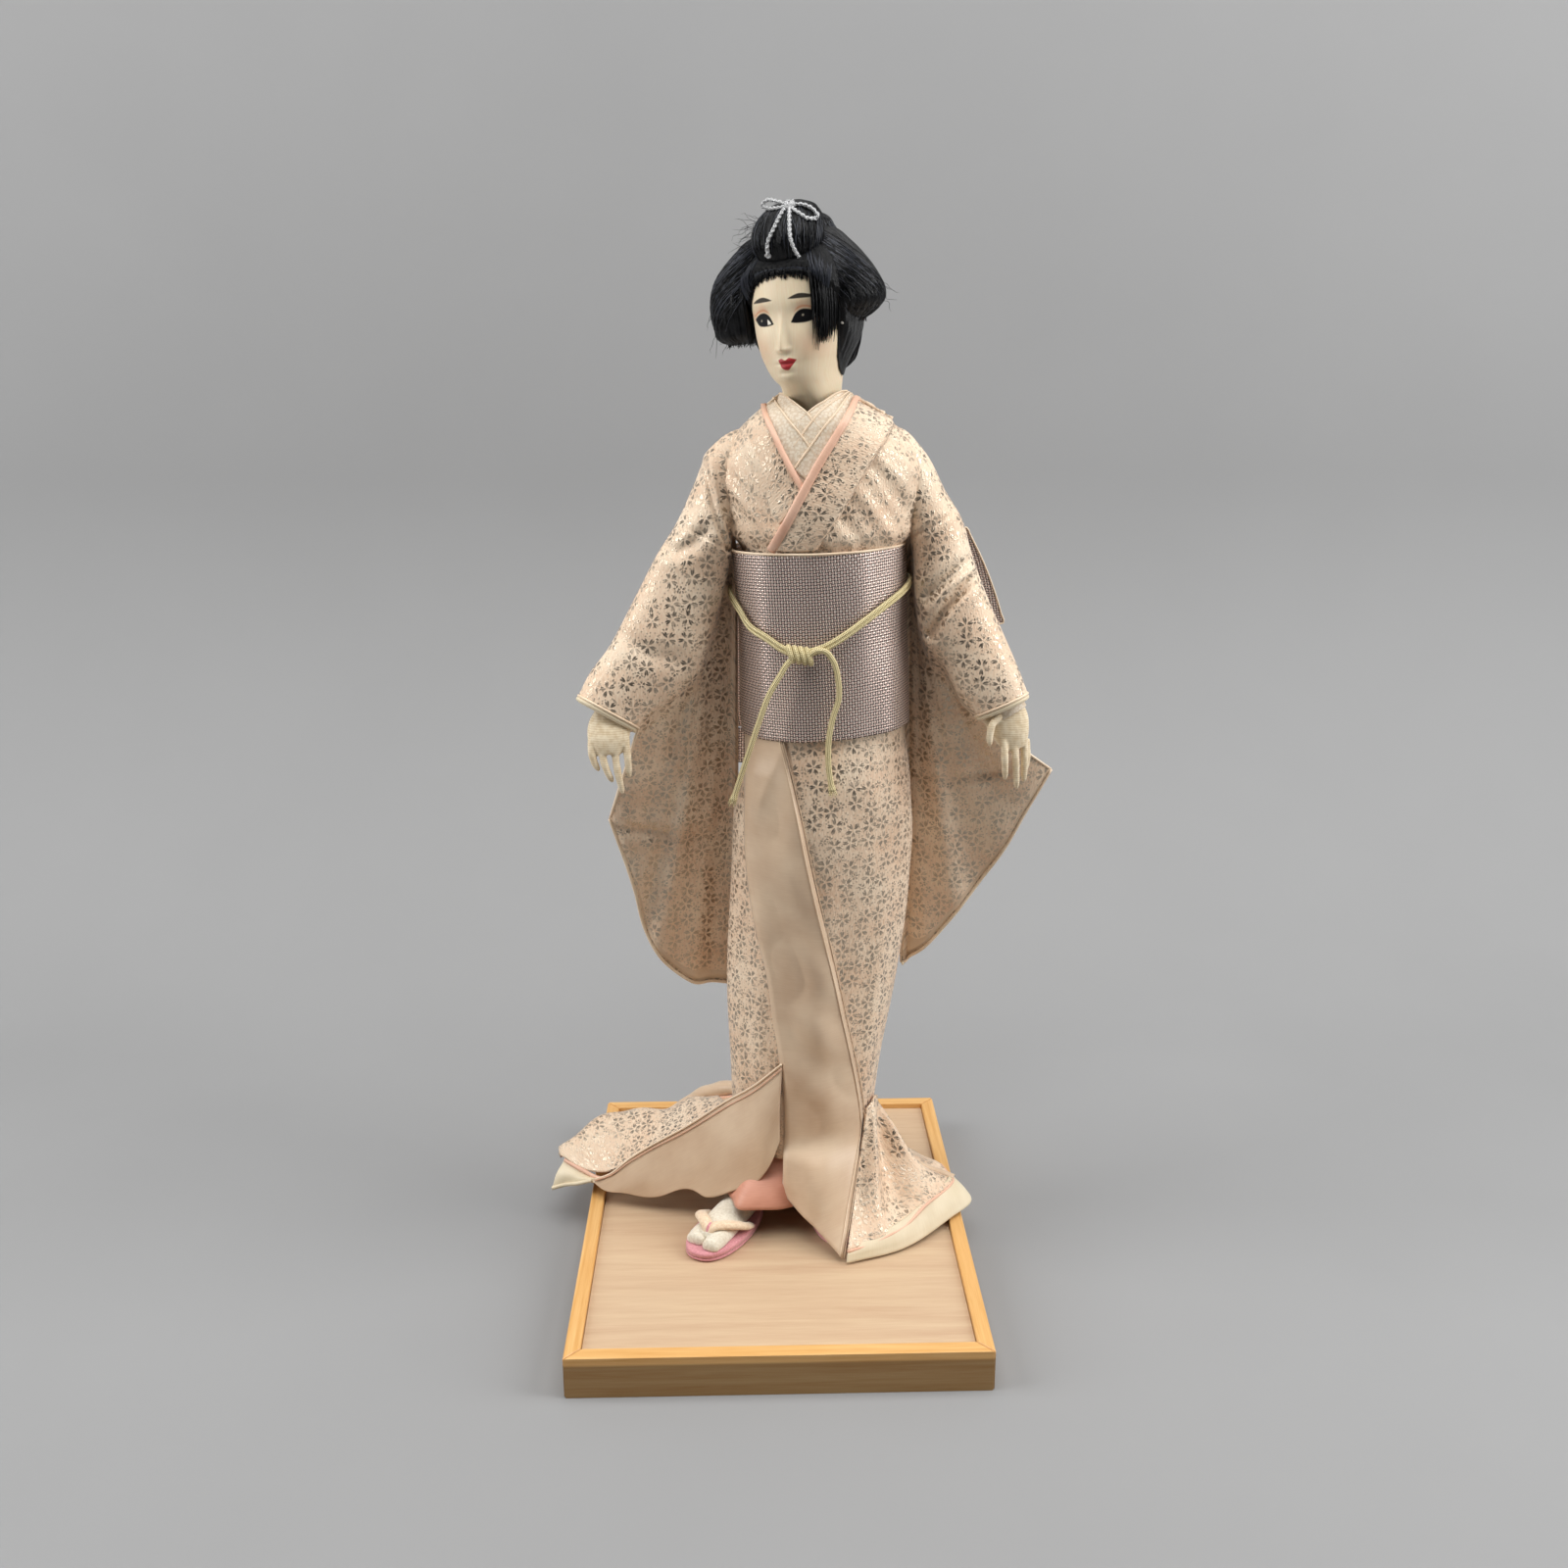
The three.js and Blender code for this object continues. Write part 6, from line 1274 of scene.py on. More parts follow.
def distanceTo(line, x, z):
    # least distance in the xz plane from each point to a drawn line
    best = np.full(x.shape, np.inf)
    for a, b in zip(np.array(line[:-1], float), np.array(line[1:], float)):
        way = b - a
        t = np.clip(((x - a[0]) * way[0] + (z - a[1]) * way[1]) / (way @ way), 0, 1)
        best = np.minimum(best, np.hypot(x - a[0] - t * way[0], z - a[1] - t * way[1]))
    return best


def makeSleeve(side, form):
    look, tubeCount, bagCount, rows, thin = (form[key] for key in (side, "tubeCount", "bagCount", "rows", "thin"))
    top, under, edge = (np.array(look[key], float) for key in ("top", "under", "edge"))
    along = np.gradient((top + under) / 2, axis=0)
    normal = np.cross(under - top, along)
    normal *= -np.sign(normal[:, 1:2]) / np.linalg.norm(normal, axis=1, keepdims=True)
    q = np.linspace(0, 1, tubeCount)[None, :, None]
    r = np.linspace(0, 1, bagCount)[None, 1:, None]
    n, half = normal[:, None], np.array(form["half"])[:, None, None]
    # tube: half an ellipse each side of the line top to under; bag: two near layers from there to the edge
    back = look["bagBack"] * smoothStep(0, 0.1, r) * (1 - 0.5 * r)
    back = back + look["step"] * smoothStep(0, 0.12, r - look["stepAt"]) * (1 - r)
    middle = np.concatenate([top[:, None] + (under - top)[:, None] * (1 - np.cos(np.pi * q)) / 2,
                             under[:, None] + (edge - under)[:, None] * r - n * back], axis=1)
    swell = np.sin(np.pi * q) ** 0.85
    tubeThick = np.where(q < 0.5, half * swell, thin + (half - thin) * swell)
    thick = np.concatenate([tubeThick, thin * (1 - r**8) + 0 * half], axis=1)
    ribs = np.concatenate([(middle - n * thick)[:, ::-1], (middle + n * thick)[:, 1:-1]], axis=1)
    columns = ribs.shape[1]
    key = runAlong((top + under) / 2)
    at = np.linspace(0, key[-1], rows)
    grid = hermite(key, ribs.reshape(len(top), -1), at).reshape(rows, columns, 3)
    out = hermite(key, normal, at)[:, None]
    # column of the top line, where back meets front
    fold = tubeCount + bagCount - 2
    isFront = (np.arange(columns) > fold)[None, :]
    # the print lies straight over front and back, unrolled where the tube turns away, and folds at the top line
    plan = grid[..., [0, 2]]
    spare = np.linalg.norm(np.diff(grid, axis=1), axis=2) - np.linalg.norm(np.diff(plan, axis=1), axis=2)
    backReach = np.cumsum(spare[:, :fold][:, ::-1], axis=1)[:, ::-1]
    reach = np.concatenate([backReach, np.zeros((rows, 1)), np.cumsum(spare[:, fold:], axis=1)], axis=1)
    slope = (plan[:, fold + tubeCount - 1] - plan[:, fold]).mean(axis=0)
    slope /= np.linalg.norm(slope)
    uv = plan + reach[..., None] * slope
    # the back mirrors the front across the line of the arm, easing in from the top line
    line = plan[-1, fold] - plan[20, fold]
    mirror = 2 * np.outer(line, line) / (line @ line) - np.eye(2)
    start, first = uv[:, fold:fold + 1], uv[60, fold]
    near, far = start + (uv[:, :fold] - start) @ mirror, first + (uv[:, :fold] - first) @ mirror
    uv[:, :fold] = near + (far - near) * smoothStep(0, 30, fold - np.arange(fold))[None, :, None]
    uv = np.concatenate([uv, plan[:, :1] + reach[:, -1:, None] * slope], axis=1)
    # share down the rib: 0 at the top, 1 under the tube, 2 at the bag's edge
    down = np.concatenate([np.linspace(0, 1, tubeCount), 1 + np.linspace(0, 1, bagCount)[1:]])
    down = np.concatenate([down[::-1], down[1:-1]])[None, :]
    t = np.linspace(0, 1, rows)[:, None]
    bag = np.clip(down - 1, 0, 1)
    sway = 1.6 * np.sin(2 * np.pi * (2.1 * t + 0.35 * bag)) + 0.8 * np.sin(2 * np.pi * (4.6 * t - 0.5 * bag) + 1)
    sway = sway * bag ** 0.7
    push = np.zeros((rows, columns))
    x, z = grid[..., 0], grid[..., 2]
    for depth, width, route in look["creases"]:
        d = distanceTo(route, x, z)
        push += depth * (0.5 * np.exp(-((d - 2.2 * width) / (1.6 * width)) ** 2) - np.exp(-((d / width) ** 2)))
    push = np.where(isFront, push, 0) * smoothStep(0.02, 0.1, down) * (1 - smoothStep(1.9, 2, down))
    puckers = 0.35 * np.sin(14 * t + 5 * down) * np.sin(9 * t - 4 * down + 1) * np.sin(np.pi * np.clip(down, 0, 1))
    grid = grid + out * (sway + push + puckers)[..., None]
    # cuff: the brocade edge, a roll of lining inside it and a thin second edge; the bag's mouth and edge are corded
    way = (top + under)[-1] / 2 - (top + under)[-3] / 2
    way /= np.linalg.norm(way)
    mouth = grid[-1]
    cuff = mouth[bagCount - 1:fold + tubeCount + 1]
    inward = cuff.mean(axis=0) - cuff
    inward /= np.linalg.norm(inward, axis=1, keepdims=True)
    parts = [patch(doll(grid), wrap=True, uv=uv)]
    rolls = ((mouth, 0.5, 2), (cuff + 0.9 * inward + 1.2 * way, 1.0, 3), (cuff + 1.8 * inward + 2.0 * way, 0.4, 2))
    for path, size, which in rolls:
        parts.append(roundCord(path, size, 8, way, look=which))
    parts.append(roundCord(grid[4:, 0], 0.7, 8, (0, 1, 0), look=2))
    sleeve = makePiece(side + "_brocade_sleeve", parts, [brocade, satin, edgeSilk, hemSilk])
    thicken(sleeve, form["wall"], inside=1)
    # the shoulder seam stays with the body, and everything below it rides the arm
    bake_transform(sleeve, "stand_and_body", side + "_arm", *(doll(look["seam"]) * mm).tolist())
    settle(sleeve, "brocade", side + "_sleeve")


for side in ("right", "left"):
    makeSleeve(side, sleeveLook)
print("stage: sleeves hung")

# Arms, under sleeves and hands

armLook = {
    "right": {"axis": [(-18, 14, 312), (-26, 12, 298), (-36, 8.2, 275), (-50, 3, 247), (-64, -1.5, 232)],
        "wrist": (-64, -2, 230.5),
        "palm": [(-62.5, -1, 236), (-64.5, -3, 230), (-65.6, -7, 223), (-65.6, -9.6, 217.5), (-65.4, -10.4, 214.6)],
        "palmHalf": [5.4, 6.4, 8.4, 8.2, 5],
        "fingers": [[(-72, -9, 222), (-72.4, -11, 216.5), (-70.6, -11.2, 210), (-69.6, -10.8, 208.2)],
            [(-68, -9.6, 220), (-67.8, -11.6, 213.5), (-65.6, -12, 206.5), (-64.3, -11.4, 203.6)],
            [(-63.2, -9.6, 219), (-62.6, -11.6, 211.5), (-61.2, -12, 203), (-60.4, -11.4, 198.8)],
            [(-59, -8.4, 222), (-58.2, -10.8, 215.5), (-57.8, -11.4, 209), (-57.6, -11, 205.4)]]},
    "left": {"axis": [(55, 14, 313), (64, 12.6, 301), (70, 8.6, 277), (81.5, 3, 252), (92.4, -1.5, 233)],
        "wrist": (94.4, -2, 229),
        "palm": [(91.4, -1, 237), (92.8, -2.5, 231), (94.8, -5, 224.5), (96.8, -6.6, 218.6), (98, -7.2, 215)],
        "palmHalf": [6.6, 8, 8.8, 7.4, 4.6],
        "fingers": [[(91, -7.5, 229), (87.8, -9.8, 226), (86.6, -10.6, 221), (86.8, -10.4, 217)],
            [(92.6, -8, 220), (93, -10, 213.5), (93.4, -9.8, 207), (93.8, -8.8, 202.6)],
            [(97, -7.6, 219), (97.6, -9.2, 212), (98.2, -8.8, 204), (98.8, -8, 198.4)],
            [(101, -6, 219), (101.6, -7, 212), (101.8, -6.4, 205), (102, -5.8, 200.6)],
            [(102.4, -3.6, 218), (103.2, -3.8, 212), (103, -3.4, 207), (102.8, -3, 204.4)]]},
    "finger": 1.5, "flat": 0.56,
    # a finger's thickness from root to tip
    "taper": [1.15, 1.15, 1.15, 1.1, 1.05, 1.0, 1.0, 1.02, 1.05, 1.02, 0.98, 0.95, 0.95, 0.92, 0.86, 0.7, 0.4]}


def makeArm(side, look):
    arm = look[side]
    path = smoothLine(arm["axis"], 40)
    size, = smoothTable([(0, 8), (0.33, 7.8), (0.66, 7), (1, 5.4)], np.linspace(0, 1, 40))
    piece = makePiece(side + "_stuffed_arm", roundCord(path, size, 20, (0, 1, 0)), muslin)
    settle(piece, "padding", side + "_arm", body=side + "_arm")
    wrist = np.array(arm["wrist"], float)
    way = wrist - np.array(arm["axis"][-2], float)
    way /= np.linalg.norm(way)
    # under sleeve: a short cream tube round the wrist
    path = wrist + way * np.linspace(-9, 1.6, 12)[:, None]
    cuff = patch(doll(roundTube(path, 8.3, 40, ref=(0, 1, 0), flat=0.9)), wrap=True)
    cuff = thicken(makePiece(side + "_cream_under_sleeve", cuff, creamDamask), 1.0)
    settle(cuff, "cream_silk", side + "_under_sleeve", body=side + "_arm")
    # hand: palm and fingers as tubes, fused into one skin and eased
    half = hermite(np.linspace(0, 1, 5), np.array(arm["palmHalf"])[:, None], np.linspace(0, 1, 30))[:, 0]
    parts = [roundCord(smoothLine(arm["palm"], 30), half, 20, (0, 1, 0), look["flat"])]
    size = look["finger"] * np.array(look["taper"])
    for finger in arm["fingers"]:
        parts.append(roundCord(smoothLine(finger, 17), size, 12, (0, 1, 0)))
    hand = makePiece(side + "_knit_hand", parts, stockinet)
    fuse = hand.modifiers.new("fuse", "REMESH")
    fuse.mode, fuse.voxel_size, fuse.use_smooth_shade = "VOXEL", 0.00042, True
    ease = hand.modifiers.new("ease", "SMOOTH")
    ease.factor, ease.iterations = 0.5, 5
    settle(hand, "stockinet", side + "_hand", body=side + "_hand")


for side in ("right", "left"):
    makeArm(side, armLook)
print("stage: arms and hands made")

# Head: a silk mask on a turned and tilted neck. Its own measures run x to the doll's left, -y forwards, z up

headPlace = {"origin": (17.5, 13, 353.45), "turn": -28, "tilt": -6}
# height, half width, front and back depth
headTable = [(0, 10.6, 10.6, 10.6), (9, 10, 10.4, 10), (13, 10, 12.4, 11), (16, 9.4, 15.2, 11.5), (19, 8.9, 17.6, 12),
             (22, 11.5, 19.6, 13), (28, 15, 20.3, 16), (35, 17.3, 20.2, 19), (44, 18.5, 19.7, 21), (53, 18.5, 19.4, 21),
             (62, 16, 16.5, 18.5), (68, 11, 10.5, 13), (72, 4, 3.5, 5)]
# height, half width and front depth of the jaw on the doll's left
jawTable = [(0, 10.6, 10.6), (4, 10.4, 10.8), (9, 10.6, 12.4), (16, 11.6, 16), (22, 12.8, 19), (28, 15, 20.3),
            (35, 17.3, 20.2)]


def onHead(points):
    # turned about z, then tilted about y, then set on the neck
    a, b = np.radians(headPlace["turn"]), np.radians(headPlace["tilt"])
    spin = np.array([[np.cos(a), -np.sin(a), 0], [np.sin(a), np.cos(a), 0], [0, 0, 1]])
    lean = np.array([[np.cos(b), 0, np.sin(b)], [0, 1, 0], [-np.sin(b), 0, np.cos(b)]])
    return np.asarray(points, float) @ (lean @ spin).T + headPlace["origin"]


def skin(angle, z, lift=0.0):
    # a rounded ring of the head; angle 0 is the doll's left and -90 degrees the front
    wide, front, back = smoothTable(headTable, z)
    c, s = np.cos(angle), np.sin(angle)
    deep = np.where(s < 0, front, back)
    # the jaw on the doll's left runs straight down into the neck
    jawTop = jawTable[-1][0]
    jawWide, jawDeep = smoothTable(jawTable, np.clip(z, 0, jawTop))
    wide = np.where((c > 0) & (z < jawTop), np.maximum(wide, jawWide), wide)
    deep = np.where((s < 0) & (z < jawTop), deep + smoothStep(0.1, 0.7, c) * np.maximum(jawDeep - deep, 0), deep)
    x = (wide + lift) * np.sign(c) * np.abs(c) ** 0.88
    y = (deep + lift) * np.sign(s) * np.abs(s) ** 0.88
    return np.stack([x, y, z + 0 * angle], axis=-1)


faceForm = {
    # forms on both sides, then those of the middle: across, height, reach across, reach up, how far out
    "bumps": [(8, 44, 4.8, 3.4, -1.1), (8, 43.6, 3.4, 1.9, 0.6), (9.5, 33, 5, 6, 0.6), (2.2, 32.7, 1.1, 1.0, 0.35),
        (8, 49.5, 5, 2, 0.25)],
    "middle": [(0.4, 27.4, 4.6, 3.6, 0.7), (0.4, 28.5, 2.6, 0.7, 0.55), (0.4, 26.1, 2.1, 0.9, 0.75),
        (0.4, 27.35, 3, 0.3, -0.35), (0, 21.6, 4, 2.6, 0.9), (0, 24, 3, 0.8, -0.35)],
    # lids by share from the inner corner of the eye to the outer: upper and lower height
    "lids": [(0, 42.2, 42.0), (0.12, 44.2, 41.75), (0.35, 45.95, 41.6), (0.6, 46.15, 41.7), (0.82, 45.5, 42.4),
        (1, 44.6, 44.2)],
    "brow": [(0, 50.5, 0.08), (0.15, 50.8, 0.5), (0.4, 51.1, 0.9), (0.7, 50.85, 0.7), (1, 50.3, 0.05)],
    "lips": [(-3.1, 28.95, 28.75), (-2.2, 29.3, 26.6), (-1.5, 29.3, 25.8), (-0.4, 28.75, 25.1), (0.2, 28.7, 24.95),
        (1.2, 29.35, 25.2), (2.2, 29.2, 26.2), (3.2, 28.9, 27.4), (4.2, 28.6, 28.45)],
    # of the right eye and the left: iris middle and half width in x, depth of the lashes' shade, and each painted glint
    "irises": [(-9.9, 3.4), (7.4, 4.6)], "lashes": (1.7, 0.95), "glints": [(-9.6, 43.7), (8.1, 44.2)]}


def makeHead(look):
    side = np.concatenate([np.linspace(-1, 1, 200), np.linspace(1, 2 * np.pi - 1, 102)[1:-1]]) - np.pi / 2
    level = np.concatenate([np.linspace(0, 18, 24), np.linspace(18, 58, 190)[1:], np.linspace(58, 72, 24)[1:]])
    z, a = np.broadcast_arrays(level[:, None], side[None, :])
    grid = skin(a, z)
    x = grid[..., 0]
    swell = np.zeros(x.shape)
    for key, where in (("bumps", np.abs(x)), ("middle", x)):
        for across, height, wide, tall, out in look[key]:
            swell += out * np.exp(-(((where - across) / wide) ** 2) - ((z - height) / tall) ** 2)
    # nose: a ridge that widens and rises to its tip, then drops away
    rise = smoothStep(47.5, 34, z)
    swell += 3.0 * rise**1.2 * smoothStep(30.6, 32.8, z) * np.exp(-((x / (1.0 + 0.75 * rise)) ** 2))
    facing = smoothStep(0.15, 0.5, -np.sin(a))
    grid[..., 1] -= swell * facing
    # painted features, each 1 inside its outline and 0 outside
    soft = lambda inside: smoothStep(-0.14, 0.14, inside) * facing
    e = (np.abs(x) - 3.8) / 9.4
    upper, lower = smoothTable(look["lids"], np.clip(e, 0, 1))
    within = (e > -0.02) & (e < 1.02)
    almond = soft(np.where(within, np.minimum(upper + 0.18 - z, z - lower + 0.12), -1))
    iris = np.where(x < 0, *(np.abs(x - middle) - half for middle, half in look["irises"]))
    shown = np.minimum(upper - np.where(x < 0, *look["lashes"]) - z, z - lower - 0.45)
    whiteAndGlint = soft(np.where(within, np.minimum(shown, iris), -1)) * (e > 0.1)
    b = (np.abs(x) - 3.4) / 10.2
    browZ, browHalf = smoothTable(look["brow"], np.clip(b, 0, 1))
    brow = soft(np.where((b > 0) & (b < 1), browHalf - np.abs(z - browZ), -1))
    lipX = x - 0.6
    lipTop, lipLow = smoothTable(look["lips"], np.clip(lipX, -3.1, 4.2))
    lips = soft(np.where((lipX > -3.1) & (lipX < 4.2), np.minimum(lipTop - z, z - lipLow), -1))
    lid = np.exp(-(((z - upper - 1.15) / 0.4) ** 2)) * smoothStep(0.05, 0.3, e)
    lid = lid * (1 - smoothStep(1.0, 1.12, e)) * facing
    blush = 0.5 * np.exp(-(((np.abs(x) - 10.5) / 5) ** 2) - ((z - 33) / 5) ** 2) * facing
    blush += 0.5 * np.exp(-(((z - upper - 1.6) / 1.8) ** 2)) * smoothStep(0, 0.4, e) * facing
    # painted highlights: a small grey-white glint in each eye, laid into the white mark
    for gx, gz in look["glints"]:
        whiteAndGlint = np.maximum(whiteAndGlint, 0.35 * soft(0.4 - np.hypot(x - gx, z - gz)))
    ink = np.maximum(almond * (1 - whiteAndGlint), 0.95 * brow)
    marks = {"ink": ink, "whiteAndGlint": whiteAndGlint, "lips": lips, "lid": lid, "blush": blush}
    marks = {key: np.concatenate([value.ravel(), [0, 0]]) for key, value in marks.items()}
    head = makePiece("silk_head", patch(onHead(grid), wrap=True, caps=True), faceSilk, marks)
    settle(head, "face_silk", "head", body="head")


makeHead(faceForm)
print("stage: head painted")

# Hair: combed nylon over a cap, in five rolls, with short hairs along the brow and a cut side lock.
# Each roll is rings of height, middle x, middle y, half width, half depth

hairRolls = {
    "right_hair_wing": [(36, -25.5, 4, 8, 8), (37.6, -25.5, 4, 11.5, 11.5), (43, -25.2, 4, 14, 14.5),
        (50, -25, 4, 14.8, 15.5), (57, -24, 4.5, 14.4, 15.5), (63, -21.5, 5, 13.6, 14.5), (69, -17.5, 6, 11, 13),
        (74, -14.5, 7, 8, 10), (77, -12, 8, 4, 5)],
    "left_hair_wing": [(40.5, 15, 6, 6, 8), (42.6, 15.5, 6, 9, 12), (46.5, 16.5, 6, 12.8, 15),
        (51, 16.5, 6, 13.6, 16), (57, 15, 6, 12.4, 16), (64, 11.5, 6.5, 11, 15), (70, 8, 7.5, 9, 13),
        (76, 3, 9, 6.4, 9), (78, 2, 9, 3, 4)],
    "front_hair_roll": [(62, 0, -8, 8.5, 8.5), (65.5, 0, -8, 11, 11), (71, 0, -7.5, 13, 13),
        (77, 0, -5.5, 12.8, 12.4), (82, 0.5, -3.5, 10, 10), (84.6, 0.8, -2.5, 6.8, 6.6), (85.8, 1, -2, 3, 3)],
    "topknot": [(60, -1, 13, 12, 14), (68, -1, 13, 13, 16), (76, -2, 11, 11.5, 13.5), (81, -2, 10, 8, 10),
        (83.4, -2, 9, 3, 4)],
    "nape_hair_roll": [(22, 0, 20, 4, 4), (25, 0, 22, 8, 7), (30, 0, 23, 10.5, 9), (38, 0, 23, 12.5, 9.5),
        (46, 0, 21, 13, 9), (52, 0, 19, 10, 7)]}
# angles between which the loose hairs sweep from a temple over its wing
hairSweep = {"right_hair_wing": (-1.45, -2.75), "left_hair_wing": (-1.5, -0.4)}
hairLine = [(0, 59.6), (0.35, 59.3), (0.62, 57.4), (0.85, 52.5), (1.05, 47.5), (1.2, 42), (1.3, 31), (1.45, 25),
            (2.2, 22.5), (np.pi, 21.5)]
# hairs lying on a roll, cut ends along its bottom, short hairs along the brow, strays round the top roll and the wings
hairCount = {"roll": 170, "ends": 90, "brow": 190, "topStrays": 34, "wingStrays": 24}
chance = np.random.default_rng(11)


def onRoll(table, angle, z, lift=0.0):
    x, y, wide, deep = smoothTable(table, z)
    c, s = np.cos(angle), np.sin(angle)
    return np.stack([x + (wide + lift) * np.sign(c) * np.abs(c) ** 0.88,
                     y + (deep + lift) * np.sign(s) * np.abs(s) ** 0.88, z + 0 * angle], axis=-1)


def strand(points, thick, look=0):
    # one hair, or a wisp of a few, tapering to its tip; drawn coarser than a hair so that it shows
    taper = thick * np.array([0.8, 1, 1, 1, 0.9, 0.7, 0.25])
    return patch(roundTube(onHead(smoothLine(points, 7)), taper, 4, ref=(0.31, 0.9, 0.3)), wrap=True, caps=True,
                 look=look)


def makeRoll(name, table):
    low, high = table[0][0], table[-1][0]
    z = np.linspace(low, high, 80)[:, None]
    a = np.pi / 2 + fullTurn(260)[None, :]
    z, a = np.broadcast_arrays(z, a)
    comb = 0.15 * np.sin(23 * a + 0.12 * z) + 0.12 * np.sin(61 * a + 0.05 * z) + 0.1 * np.sin(97 * a - 0.08 * z + 1)
    parts = [patch(onHead(onRoll(table, a, z, comb)), wrap=True, caps=True)]
    # loose hairs lie just on the roll
    share = np.linspace(0, 1, 6)
    for number in range(hairCount["roll"]):
        if name in hairSweep:
            start, end = hairSweep[name]
            turn = start + (end - start) * share ** 0.8 + chance.uniform(-0.75, 0.75)
            heights = low + (high - low) * (chance.uniform(0.55, 0.95) - chance.uniform(0.35, 0.6) * share)
        else:
            turn = chance.uniform(-np.pi, 0.3) + chance.normal(0, 0.12) * share
            heights = low + (high - low) * (chance.uniform(0.6, 0.97) - chance.uniform(0.4, 0.58) * share)
        # every third loose hair takes the lighter grey, a painted highlight
        parts.append(strand(onRoll(table, turn, heights, chance.uniform(0.1, 0.35)), 0.13, int(number % 3 == 0)))
    if "wing" in name or "nape" in name:
        for turn in chance.uniform(0, 2 * np.pi, hairCount["ends"]):
            # cut ends along the bottom
            root = onRoll(table, np.full(3, turn), low + np.array([4, 1.6, 0.4]), 0.1)
            tip = root[-1] + (chance.normal(0, 0.5), chance.normal(0, 0.5), -chance.uniform(0.4, 1.8))
            parts.append(strand(np.concatenate([root, [tip]]), 0.22))
    roll = makePiece("combed_" + name, parts, [nylonHair, looseHair])
    settle(roll, "hair", name, body="head")


for name, table in hairRolls.items():
    makeRoll(name, table)


def makeCap():
    # over the skull from the hairline, thin at its edge, with short hairs that break the edge across the brow
    a = fullTurn(360)
    off = np.abs((a + np.pi / 2 + np.pi) % (2 * np.pi) - np.pi)
    edge, = smoothTable(hairLine, off)
    t = np.linspace(0, 1, 50)[:, None]
    z = edge + (72 - edge) * t
    lift = 0.5 + 3 * smoothStep(0, 0.35, t) + 0.12 * np.sin(60 * a) * smoothStep(0, 0.1, t)
    grid = skin(np.broadcast_to(a, z.shape), z, lift)
    parts = [patch(onHead(grid), wrap=True, caps=True)]
    for turn in chance.uniform(-np.pi / 2 - 0.95, -np.pi / 2 + 0.95, hairCount["brow"]):
        line, = smoothTable(hairLine, np.array([abs(turn + np.pi / 2)]))
        reach = chance.uniform(0.5, 2.6)
        lean = chance.normal(0, 0.02)
        heights = line[0] + np.array([1.6, 0.5, -0.4 * reach, -reach])
        away = np.array([0.09, 0.07, 0.035, 0.02])[:, None] * (1, 1, 0)
        root = skin(np.full(4, turn) + lean * np.arange(4) / 3, heights) * (1 + away)
        parts.append(strand(root, chance.uniform(0.16, 0.3)))
        # and longer ones combed up into the roll
        rise = np.array([-0.4, 1.5, 4, 7, 10])
        up = skin(np.full(5, turn) + lean * np.arange(5), line[0] + rise)
        away = np.array([0.04, 0.09, 0.17, 0.24, 0.3])[:, None] * (1, 1, 0)
        # these take the lighter grey, a painted highlight
        parts.append(strand(up * (1 + away), 0.13, 1))
    settle(makePiece("combed_wig_cap", parts, [nylonHair, looseHair]), "hair", "wig_cap", body="head")


makeCap()

# side locks: strands that fall from the temples; the doll's left one is cut short over the cheek
lockLook = {"left": {"from": -1.0, "to": 0.0, "top": 64, "end": 35.2, "ragged": 2.5, "count": 260, "out": (2.4, 1.2)},
            "right": {"from": -np.pi + 0.62, "to": -np.pi - 0.2, "top": 62, "end": 36, "ragged": 1.2, "count": 120,
                      "out": (3.0, 3.2)}}


def makeLock(side, look):
    parts = []
    spread = np.sort(chance.uniform(0, 1, look["count"]) ** 0.8)
    for share in spread:
        turn = look["from"] + (look["to"] - look["from"]) * share
        end = look["end"] + chance.normal(0, look["ragged"])
        end = end + 5 * (1 - smoothStep(0, 0.2, share)) + 4.6 * smoothStep(0.2, 0.62, share)
        heights = np.linspace(look["top"] - 2 * chance.uniform(0, 1), end, 6)
        out = np.linspace(*look["out"], 6) * chance.uniform(0.55, 1.15)
        path = skin(turn + chance.normal(0, 0.02) * np.linspace(0, 1, 6), heights)
        away = path * (1, 1, 0)
        path = path + away / np.linalg.norm(away, axis=1, keepdims=True) * out[:, None]
        # the front strands are finer, so that the eye's corner shows
        parts.append(strand(path, 0.16 + 0.2 * smoothStep(0.08, 0.3, share)))
    settle(makePiece(side + "_side_lock", parts, nylonHair), "hair", body="head")


for side in ("left", "right"):
    makeLock(side, lockLook[side])
# stray hairs stand off the doll's right of the top roll and the wings' edges
parts = []
for start in chance.uniform(0, 1, hairCount["topStrays"]):
    height = 66 + 16 * chance.uniform()
    root = onRoll(hairRolls["front_hair_roll"], np.full(1, -np.pi + 0.5 * start), np.full(1, height))[0]
    wander = np.cumsum(chance.normal(0, 1.2, (4, 3)) + np.array([-2.0, 0.2, 0.8 - 2.4 * start]), axis=0)
    parts.append(strand(np.concatenate([[root], root + wander]), 0.07))
for start in chance.uniform(0, 1, hairCount["wingStrays"]):
    table = hairRolls["right_hair_wing" if start < 0.5 else "left_hair_wing"]
    turn = (np.pi if start < 0.5 else 0.0) + chance.normal(0, 0.5)
    height = table[0][0] + 3 + 14 * chance.uniform()
    root = onRoll(table, np.full(1, turn), np.full(1, height))[0]
    wander = np.cumsum(chance.normal(0, 0.8, (4, 3)) + np.array([-0.9 if start < 0.5 else 0.9, 0, -1.2]), axis=0)
    parts.append(strand(np.concatenate([[root], root + wander]), 0.07))
settle(makePiece("stray_hairs", parts, nylonHair), "hair", body="head")

